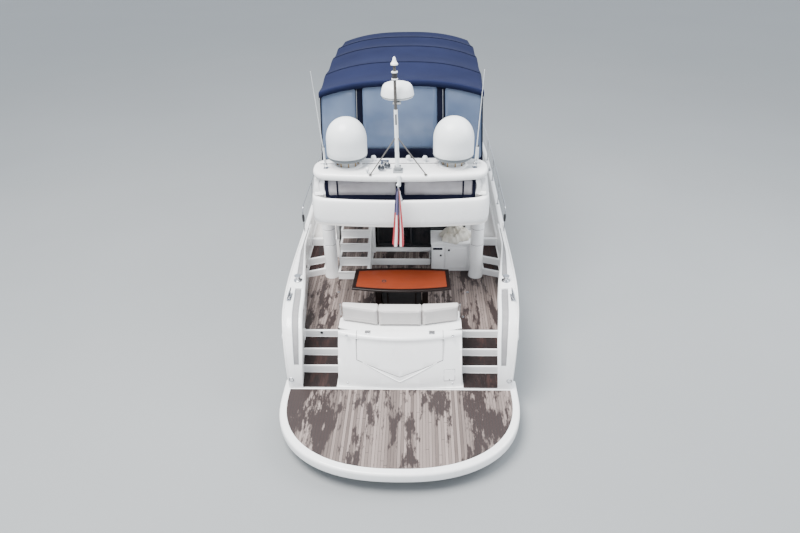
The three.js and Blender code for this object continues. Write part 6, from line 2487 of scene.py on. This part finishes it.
# %% Foredeck
def make_sun_pad():
    bm = bmesh.new()
    for x0, x1 in ((-0.945, -0.32), (-0.312, 0.312), (0.32, 0.945)):
        rows = []
        for y in spread(5.09, 6.09, 12):
            low, high = at_station(ROOF_LINE, y)[1] + 0.010, 2.185 + 0.018 * (y - 5.09)
            edge = 0.02
            rows.append([(x0, y, low), (x0, y, high - edge), (x0 + edge, y, high),
                         (x1 - edge, y, high), (x1, y, high - edge), (x1, y, low)])
        solid_skin(bm, rows)
    cushion("sun_pad_cushions", bm, 0.008, ["sun_pad"])


def make_hatch():
    bm = bmesh.new()
    box(bm, (-0.31, 6.31, 2.157), (0.31, 6.89, 2.168), 0.004, 2)
    frame_bars = [((-0.31, 6.31), (0.31, 6.345)), ((-0.31, 6.855), (0.31, 6.89)),
                  ((-0.31, 6.345), (-0.275, 6.855)), ((0.275, 6.345), (0.31, 6.855))]
    for low, high in frame_bars:
        box(bm, (*low, 2.166), (*high, 2.188), 0.004, 1)
    for x in (-0.2, 0.2):
        rod(bm, (x - 0.03, 6.90, 2.172), (x + 0.03, 6.90, 2.172), 0.009, segments=10)
    piece("deck_hatch_frame", bm, steel, body="deck_hatch", stands_for=["deck_hatch"])
    bm = bmesh.new()
    box(bm, (-0.276, 6.344, 2.168), (0.276, 6.856, 2.181), 0.003, 1)
    piece("deck_hatch_lid", bm, dark_glass, body="deck_hatch")


def chain_link(bm, centre, along, turn):
    across = along.cross(Vector((0, 0, 1))).normalized()
    up = across.cross(along).normalized()
    side = across * math.cos(turn) + up * math.sin(turn)
    ring = []
    for k in range(16):
        a = math.radians(22.5 * k)
        ring.append(centre + along * 0.024 * math.cos(a) + side * 0.016 * math.sin(a))
    tube(bm, ring, 0.0055, 6, closed=True)


def make_anchor_gear():
    bm = bmesh.new()
    foot = deck_z(8.0)
    box(bm, (-0.10, 7.90, foot + 0.002), (0.10, 8.29, foot + 0.03), 0.01, 2)
    drum = [(0.0, 0.03), (0.105, 0.03), (0.105, 0.06), (0.072, 0.075), (0.06, 0.10), (0.06, 0.14),
            (0.088, 0.165), (0.088, 0.185), (0.04, 0.20), (0.0, 0.205)]
    turned(bm, [(radius, foot + rise) for radius, rise in drum], 0, 8.0, 36)
    for x in (-0.055, 0.055):
        box(bm, (x - 0.006, 8.55, deck_z(8.6)), (x + 0.006, 9.61, 2.33), 0.004, 1)
    rod(bm, (-0.052, 9.54, 2.30), (0.052, 9.54, 2.30), 0.022, segments=20)
    piece("windlass_and_roller", bm, steel, stands_for=["windlass"])
    bm = bmesh.new()
    start, end = Vector((0.03, 8.12, foot + 0.06)), Vector((0.0, 8.95, 2.29))
    for k, share in enumerate(spread(0, 1, 23)):
        chain_link(bm, start.lerp(end, share), (end - start).normalized(), math.radians(90 * (k % 2)))
    rod(bm, (0, 8.93, 2.295), (0, 9.56, 2.345), 0.017, 0.017, 12)
    blade = [(0.0, 9.50, 2.275), (0.13, 9.36, 2.245), (0.0, 9.605, 2.17), (-0.13, 9.36, 2.245)]
    solid_skin(bm, [blade, [(x, y - 0.012, z - 0.014) for x, y, z in blade]])
    piece("anchor_and_chain", bm, worn_steel)


def make_cleat(bm, x, y, z, length=0.26):
    """A two-legged horned cleat, lying fore and aft."""
    k = length / 0.26
    horn = [(-0.5, 0.066, 0.007), (-0.3, 0.058, 0.012), (0, 0.056, 0.014), (0.3, 0.058, 0.012),
            (0.5, 0.066, 0.007)]
    line = [(x, y + length * share, z + k * up) for share, up, _ in horn]
    tube(bm, line, 0.012 * k, 10, radii=[k * radius for _, _, radius in horn])
    for step in (-0.045 * k, 0.045 * k):
        rod(bm, (x, y + step, z), (x, y + step, z + 0.056 * k), 0.017 * k, 0.011 * k, 12)
    box(bm, (x - 0.03 * k, y - 0.085 * k, z), (x + 0.03 * k, y + 0.085 * k, z + 0.010), 0.004, 1)


make_sun_pad()
make_hatch()
make_anchor_gear()
bm = bmesh.new()
for sign in (-1, 1):
    make_cleat(bm, sign * 0.74, 8.25, deck_z(8.25))
    make_cleat(bm, sign * (hull_at(1.2, SHEER_X) - 0.045), 1.6, hull_at(1.6, SHEER_Z) + 0.017, 0.24)
piece("deck_cleats", bm, steel)

# %% [markdown]
# The stern cleats stand on white pads on top of the coamings, each beside a drum capstan. Small
# fairleads and the rings at the ends of the coamings complete the gear.

# %% Stern cleats and capstans
def make_stern_gear():
    chrome, pads, dark = bmesh.new(), bmesh.new(), bmesh.new()
    for sign in (-1, 1):
        z = rim_z(-4.05) + 0.008
        pad = [(sign * x, y) for x, y in ((2.03, -4.30), (2.33, -4.27), (2.36, -3.78), (2.06, -3.80))]
        slab(pads, pad, z - 0.02, z + 0.012, 0.008)
        make_cleat(chrome, sign * 2.24, -4.62, rim_z(-4.62) + 0.014, 0.40)
        capstan = [(0.0, 0.0), (0.092, 0.0), (0.086, 0.02), (0.050, 0.04), (0.044, 0.085), (0.072, 0.108),
                   (0.072, 0.122), (0.05, 0.13), (0.0, 0.13)]
        turned(chrome, [(radius, z + 0.012 + rise) for radius, rise in capstan], sign * 2.17, -4.0, 32)
        for y, height, radius in ((-4.06, z - 0.10, 0.038), (-2.9, 1.45, 0.028), (-4.86, 1.50, 0.030)):
            face = at_station(COAMING_INNER, y)[0]
            inner, outer = sign * (face - 0.02), sign * (face + 0.03)
            rod(dark, (inner, y, height), (outer, y, height), radius, radius, 20)
        x = sign * (at_station(COAMING_INNER, -5.0)[0] - 0.03)
        rod(chrome, (x, -5.10, 1.56), (x, -4.84, 1.60), 0.014)
        ring = arc((2.10, 0.66), 0.045, 0, 340, 17)
        tube(chrome, [(sign * x, -5.849, z) for x, z in ring], 0.008, 8, closed=True)
    piece("stern_mooring_gear", chrome, steel)
    piece("stern_pads", pads, gelcoat)
    piece("stern_fairleads", dark, black_rubber)


make_stern_gear()

# %% [markdown]
# Guard rails run from the side steps to the stem. Each is a bent steel tube on stanchions with flanged
# feet, and a wire half-way up. The rail falls in a curve to the bulwark at its aft end, where a black
# sleeve is tied on. The two sides meet in the pulpit round the bow.

# %% Rails
RAIL = {"up": 0.64, "inset": 0.045, "radius": 0.0135}
SIDE_POSTS = [-1.9, -0.5, 0.9, 2.3, 3.7, 5.0]
PULPIT_POSTS = [5.12, 6.2, 7.2, 8.1, 8.9, 9.4]


def rail_point(y, up, sign):
    return (sign * (hull_at(y, SHEER_X) - RAIL["inset"]), y, hull_at(y, SHEER_Z) + up)


def make_posts(bm, posts, sign):
    flange = [(0.0, 0.0), (0.036, 0.0), (0.034, 0.007), (0.018, 0.014), (0.016, 0.04), (0.0, 0.04)]
    for y in posts:
        x, _, z = rail_point(y, 0.018, sign)
        rod(bm, (x, y, z), rail_point(y, RAIL["up"], sign), RAIL["radius"] * 0.92, segments=12)
        turned(bm, [(radius, z + rise) for radius, rise in flange], x, y, 20)


def make_side_rail(side, sign):
    bm = bmesh.new()
    line = [(-1.9, 0.02), (-1.9, 0.30), (-1.9, 0.50), (-1.86, 0.60), (-1.76, RAIL["up"])]
    line += [(y, RAIL["up"]) for y in spread(-1.4, 5.0, 14)]
    tube(bm, smooth_line([rail_point(y, up, sign) for y, up in line], 3), RAIL["radius"], 12)
    make_posts(bm, SIDE_POSTS[1:], sign)
    tube(bm, [rail_point(y, 0.32, sign) for y in spread(-1.9, 5.0, 16)], 0.004, 6)
    piece(f"guard_rail_{side}", bm, steel, stands_for=[f"side_rail_{side}"])
    bm = bmesh.new()
    sleeve = [rail_point(-1.9, up, sign) for up in (0.28, 0.34, 0.40, 0.46)]
    tube(bm, sleeve, 0.030, 12, radii=[0.024, 0.03, 0.03, 0.024])
    piece(f"rail_sleeve_{side}", bm, black_rubber)


both_sides(make_side_rail)
bm = bmesh.new()
for sign in (1, -1):
    make_posts(bm, PULPIT_POSTS, sign)
    tube(bm, [rail_point(y, 0.32, sign) for y in spread(5.12, 9.4, 16)], 0.004, 6)
half = [rail_point(y, RAIL["up"], 1) for y in spread(5.12, 9.4, 18)]
top = half[-1][2]
bow = half + [(0.17, 9.56, top), (0.0, 9.595, top), (-0.17, 9.56, top)] + flipped(half[::-1])
tube(bm, smooth_line(bow, 2), RAIL["radius"], 12)
piece("pulpit_rail", bm, steel, stands_for=["pulpit"])
print("rails made")

# %% [markdown]
# The deckhouse sides are flat panels cut for one long window, whose dark panes lie in a black gasket and
# are parted by thin posts. The windscreen has three raked panes with white frames and a wiper each.

# %% Deckhouse
WINDOW = [(-1.0, 2.0), (3.65, 2.11), (2.4, 2.88), (-0.65, 2.88)]
WALL_OUTLINE = [(-1.6, 1.45), (1.5, 1.6), (4.0, 1.78), (4.4, 1.808), (2.3, 3.05), (-1.6, 3.05)]


def round_corners(points, radius):
    """Each corner of an outline replaced by a curve."""
    rounded_points = []
    for before, here, after in zip([points[-1]] + points[:-1], points, points[1:] + points[:1]):
        a, b, c = Vector(before), Vector(here), Vector(after)
        start, end = b + (a - b).normalized() * radius, b + (c - b).normalized() * radius
        for t in spread(0, 1, 5):
            rounded_points.append(tuple(start * (1 - t) ** 2 + b * 2 * t * (1 - t) + end * t * t))
    return rounded_points


def side_sheet(outline, holes, x, sign):
    bm = bmesh.new()
    cut_shape(bm, outline, holes)
    for vert in bm.verts:
        y, z, _ = vert.co
        vert.co = (sign * x, y, z)
    return bm


def make_cabin_side(side, sign):
    opening = round_corners(WINDOW, 0.14)
    wall = side_sheet(WALL_OUTLINE, [opening], CABIN_HALF, sign)
    thicken(piece(f"cabin_wall_{side}", wall, gelcoat, stands_for=[f"cabin_side_{side}"], angle=20), 0.058)
    glass = side_sheet(opening, [], 1.632, sign)
    thicken(piece(f"cabin_glass_{side}", glass, dark_glass, stands_for=[f"side_window_{side}"]), 0.008)
    bm = bmesh.new()
    tube(bm, [(sign * 1.640, y, z) for y, z in opening], 0.012, 8, closed=True)
    for y, lean in ((0.45, 0.12), (1.75, 0.12)):
        z0, z1 = 2.02 + 0.02 * (y + 1), 2.876
        rod(bm, (sign * 1.640, y - lean, z0), (sign * 1.640, y + lean, z1), 0.012, segments=8)
    piece(f"cabin_gasket_{side}", bm, black_rubber)


SCREEN = {"foot": [(-1.585, 3.96), (-0.76, 4.78), (0.76, 4.78), (1.585, 3.96)], "low": 2.082, "high": 3.048}
SCREEN_HEAD = [(-1.585, 2.28), (-0.68, 3.18), (0.68, 3.18), (1.585, 2.28)]


def make_windscreen():
    feet = [Vector((x, y, SCREEN["low"])) for x, y in SCREEN["foot"]]
    heads = [Vector((x, y, SCREEN["high"])) for x, y in SCREEN_HEAD]
    panes, frames, wipers = bmesh.new(), bmesh.new(), bmesh.new()
    for k in range(3):
        corners = [feet[k], feet[k + 1], heads[k + 1], heads[k]]
        panes.faces.new([panes.verts.new(c) for c in corners])
        mid = (feet[k] + feet[k + 1]) / 2
        up = ((heads[k] + heads[k + 1]) / 2 - mid).normalized()
        out = (feet[k + 1] - feet[k]).cross(up).normalized() * 0.016
        start = mid + up * 0.06 + out
        end = start + up * 0.52 + (feet[k + 1] - feet[k]).normalized() * 0.16
        rod(wipers, start, end, 0.006, segments=8)
        blade = (feet[k + 1] - feet[k]).normalized() * 0.05 + up * 0.20
        rod(wipers, end - blade, end + blade, 0.008, segments=8)
        ball(wipers, start, 0.018, segments=12, rings=8)
    for a, b in list(zip(feet, feet[1:])) + list(zip(heads, heads[1:])) + list(zip(feet, heads)):
        rod(frames, a, b, 0.021, segments=10)
    thicken(piece("windscreen_panes", panes, dark_glass, stands_for=["windscreen"], angle=10), 0.012, 0)
    piece("windscreen_frames", frames, gelcoat)
    piece("wipers", wipers, black_rubber)


both_sides(make_cabin_side)
make_windscreen()
print("deckhouse made")

# %% [markdown]
# The aft bulkhead closes the saloon. It is a white wall cut for the doorway; in it slide a glass leaf
# and a fixed pane, both with thin black frames. A moulded step with a teak tread leads up to the sill.

# %% Bulkhead and door
DOOR = {"left": -0.70, "right": 1.48, "head": 2.99, "sill": 1.172, "pane": 0.15}


def make_bulkhead():
    bm = bmesh.new()
    y0, y1 = BULKHEAD_Y, BULKHEAD_Y + 0.06
    box(bm, (-0.795, y0, SALOON_Z), (DOOR["left"], y1, 3.048), 0.006, 1)
    box(bm, (DOOR["right"], y0, SALOON_Z), (1.588, y1, 3.048), 0.006, 1)
    box(bm, (DOOR["left"], y0, DOOR["head"]), (DOOR["right"], y1, 3.048), 0.004, 1)
    box(bm, (-0.795, y0 + 0.02, SALOON_Z), (-0.765, 0.485, 3.048), 0.004, 1)
    box(bm, (-1.588, 0.455, SALOON_Z), (-0.78, 0.485, 3.048), 0.004, 1)
    box(bm, (-0.782, -2.0, 0.952), (0.638, y0, 1.122), 0.018, 3)
    box(bm, (-0.782, -1.635, 1.12), (0.648, y0, DOOR["sill"]), 0.010, 2)
    box(bm, (-0.782, -1.70, 1.12), (DOOR["left"], y0 + 0.01, 3.048), 0.022, 3)
    piece("bulkhead", bm, gelcoat, stands_for=["aft_bulkhead"])
    bm = bmesh.new()
    slab(bm, [(-0.75, -1.972), (0.61, -1.972), (0.61, -1.64), (-0.75, -1.64)], 1.121, 1.129, 0.003, 1)
    piece("door_step_teak", bm, teak)
    bm = bmesh.new()
    box(bm, (DOOR["left"] - 0.01, y0 + 0.004, 1.13), (DOOR["right"], y0 + 0.10, SALOON_Z - 0.001), 0.004, 1)
    piece("door_track", bm, black_rubber)


def framed_pane(name, x, y, z, body="yacht", stands_for=()):
    """A pane of dark glass in a black frame, between its (low, high) pairs."""
    rail = 0.035
    bm = bmesh.new()
    box(bm, (x[0] + rail, y[0] + 0.004, z[0] + rail), (x[1] - rail, y[1] - 0.004, z[1] - rail))
    piece(f"{name}_glass", bm, dark_glass, body=body, stands_for=stands_for)
    bm = bmesh.new()
    for low, high in ((x[0], x[0] + rail), (x[1] - rail, x[1])):
        box(bm, (low, y[0], z[0]), (high, y[1], z[1]), 0.004, 1)
    for low, high in ((z[0], z[0] + rail), (z[1] - rail, z[1])):
        box(bm, (x[0] + rail, y[0], low), (x[1] - rail, y[1], high), 0.004, 1)
    if body != "yacht":
        grip_x, grip_y = x[0] + 0.017, y[0] - 0.022
        rod(bm, (grip_x, grip_y, 2.05), (grip_x, grip_y, 2.35), 0.009, segments=12)
        for height in (2.07, 2.33):
            rod(bm, (grip_x, y[0] + 0.004, height), (grip_x, grip_y, height), 0.007, segments=10)
    piece(f"{name}_frame", bm, black_rubber, body=body)


make_bulkhead()
framed_pane("door_pane", (DOOR["pane"], DOOR["right"]), (BULKHEAD_Y + 0.012, BULKHEAD_Y + 0.038),
            (SALOON_Z + 0.002, DOOR["head"]), stands_for=["aft_pane"])
framed_pane("door_leaf", (-0.66, 0.185), (BULKHEAD_Y + 0.068, BULKHEAD_Y + 0.10), (1.258, DOOR["head"]),
            "saloon_door", ["saloon_door"])

# %% [markdown]
# Through the glass one sees the saloon: a settee along the port side and the lower helm. Above, on the
# flybridge, are the helm console with its wheel, a bench and a settee. The flybridge's bases are moulded
# white and the saloon's are cherry; the cushions on them are padded pieces.

# %% Furniture
def block_cushion(bm, low, high):
    """A plain cushion block with softened edges."""
    box(bm, low, high, min((b - a) for a, b in zip(low, high)) * 0.22, 3)


def make_wheel(bm, centre, lean, radius):
    """A three-spoked wheel facing aft, leaning back by lean degrees."""
    tilt = Matrix.Rotation(math.radians(lean), 3, "X")

    def rim(angle):
        a = math.radians(angle)
        return centre + tilt @ Vector((radius * math.cos(a), 0, radius * math.sin(a)))

    tube(bm, [rim(11.25 * k) for k in range(32)], 0.013, 8, closed=True)
    hub = centre + tilt @ Vector((0, 0.05, 0))
    for angle in (90, 210, 330):
        rod(bm, hub, rim(angle), 0.008, segments=8)
    rod(bm, hub, hub + tilt @ Vector((0, 0.09, 0)), 0.03, 0.04, 16)


def make_fly_furniture():
    bm = bmesh.new()
    profile = [(1.70, 3.202), (2.45, 3.202), (2.45, 3.93), (2.38, 4.00), (2.10, 4.018), (1.86, 3.93),
               (1.75, 3.88), (1.72, 3.80)]
    solid_skin(bm, [[(x, y, z) for y, z in profile] for x in (0.16, 0.20, 1.20, 1.24)])
    box(bm, (0.16, 0.66, 3.202), (1.44, 1.14, 3.60), 0.03, 3)
    box(bm, (-1.59, 0.81, 3.202), (-0.41, 1.39, 3.50), 0.03, 3)
    box(bm, (-1.59, 1.38, 3.202), (-1.11, 2.09, 3.50), 0.03, 3)
    piece("fly_bases", bm, gelcoat, stands_for=["fly_console"], bevel_width=0.012)
    bm = bmesh.new()
    for x0, x1 in ((0.30, 0.66), (0.74, 1.10)):
        box(bm, (x0, 1.995, 3.985), (x1, 2.18, 4.018), 0.006, 1)
    for k in range(4):
        rod(bm, (0.36 + 0.11 * k, 1.765, 3.885), (0.36 + 0.11 * k, 1.80, 3.90), 0.035, segments=20)
    piece("fly_screens", bm, black_rubber)
    bm = bmesh.new()
    make_wheel(bm, Vector((0.70, 1.60, 3.72)), -25, 0.19)
    piece("fly_wheel", bm, steel)
    bm = bmesh.new()
    for x0, x1 in ((0.16, 0.78), (0.82, 1.44)):
        block_cushion(bm, (x0, 0.70, 3.605), (x1, 1.17, 3.715))
        block_cushion(bm, (x0, 0.605, 3.70), (x1, 0.70, 4.15))
    cushion("fly_bench_cushions", bm, 0.008, ["fly_bench"])
    bm = bmesh.new()
    block_cushion(bm, (-1.09, 0.81, 3.505), (-0.41, 1.39, 3.635))
    block_cushion(bm, (-1.59, 0.81, 3.505), (-1.11, 2.09, 3.635))
    cushion("fly_settee_cushions", bm, 0.008, ["fly_settee"])


def make_saloon():
    bm = bmesh.new()
    box(bm, (-1.555, 0.705, SALOON_Z + 0.002), (-0.905, 2.695, 1.54), 0.02, 2)
    profile = [(2.70, 1.252), (3.69, 1.252), (3.69, 2.05), (3.20, 2.115), (2.92, 2.05), (2.80, 1.99),
               (2.74, 1.90)]
    solid_skin(bm, [[(x, y, z) for y, z in profile] for x in (0.26, 0.30, 1.45, 1.49)])
    piece("saloon_bases", bm, cherry, stands_for=["saloon_helm"])
    bm = bmesh.new()
    block_cushion(bm, (-1.39, 0.71, 1.545), (-0.905, 1.69, 1.66))
    block_cushion(bm, (-1.39, 1.71, 1.545), (-0.905, 2.69, 1.66))
    block_cushion(bm, (-1.555, 0.71, 1.545), (-1.40, 2.69, 1.698))
    cushion("saloon_cushions", bm, 0.008, ["saloon_settee"])
    bm = bmesh.new()
    make_wheel(bm, Vector((0.75, 2.62, 1.80)), -20, 0.18)
    piece("saloon_wheel", bm, black_rubber)


make_fly_furniture()
make_saloon()
print("furniture made")

# %% [markdown]
# What stays of the frame's own solids needs only its finish: the propellers, rudders and brackets in
# bronze, dull from the sea, and the engines, which nobody sees.

# %% Running gear and engines
for side in ("port", "starboard"):
    dress([f"propeller_{side}", f"rudder_{side}", f"shaft_bracket_{side}"], bronze)
    dress([f"engine_{side}"], engine_paint)


HULL_LIGHTS = [
    # y, z of the middle
    (4.3, 1.25),
    (5.4, 1.30),
    (6.4, 1.38),
]


def light_ring(sign, y, z, wide, high, out):
    """An oval that follows the curved topside, a little proud of it."""
    ring = []
    for a in range(0, 360, 12):
        along, up = y + wide * math.cos(math.radians(a)), z + high * math.sin(math.radians(a))
        ring.append((sign * (topside_x(along, up) + out), along, up))
    return ring


def make_hull_fittings():
    rims, glass = bmesh.new(), bmesh.new()
    for sign in (-1, 1):
        for y, z in HULL_LIGHTS:
            tube(rims, light_ring(sign, y, z, 0.21, 0.085, 0.016), 0.014, 8, closed=True)
            rings = [light_ring(sign, y, z, 0.206 * share, 0.081 * share, 0.018) for share in (1, 0.66, 0.33)]
            glass.faces.new(skin(glass, rings, closed=True)[-1])
        for y in (-4.9, -4.4, -2.2, 0.4):
            x = topside_x(y, 0.28)
            rod(rims, (sign * (x - 0.01), y, 0.28), (sign * (x + 0.008), y, 0.28), 0.028, 0.026, 20)
    piece("port_rims_and_drains", rims, steel)
    thicken(piece("port_glass", glass, dark_glass), 0.004, 0)


make_hull_fittings()
print("running gear dressed")

# %% [markdown]
# The floor is plain studio paint at the waterline. It isn't part of the boat.

# %% Floor
bm = bmesh.new()
bmesh.ops.create_circle(bm, cap_ends=True, segments=96, radius=90.0)
floor_mesh = bpy.data.meshes.new("floor")
bm.to_mesh(floor_mesh)
bm.free()
floor_mesh.materials.append(floor_paint)
floor = bpy.data.objects.new("floor", floor_mesh)
bpy.context.scene.collection.objects.link(floor)
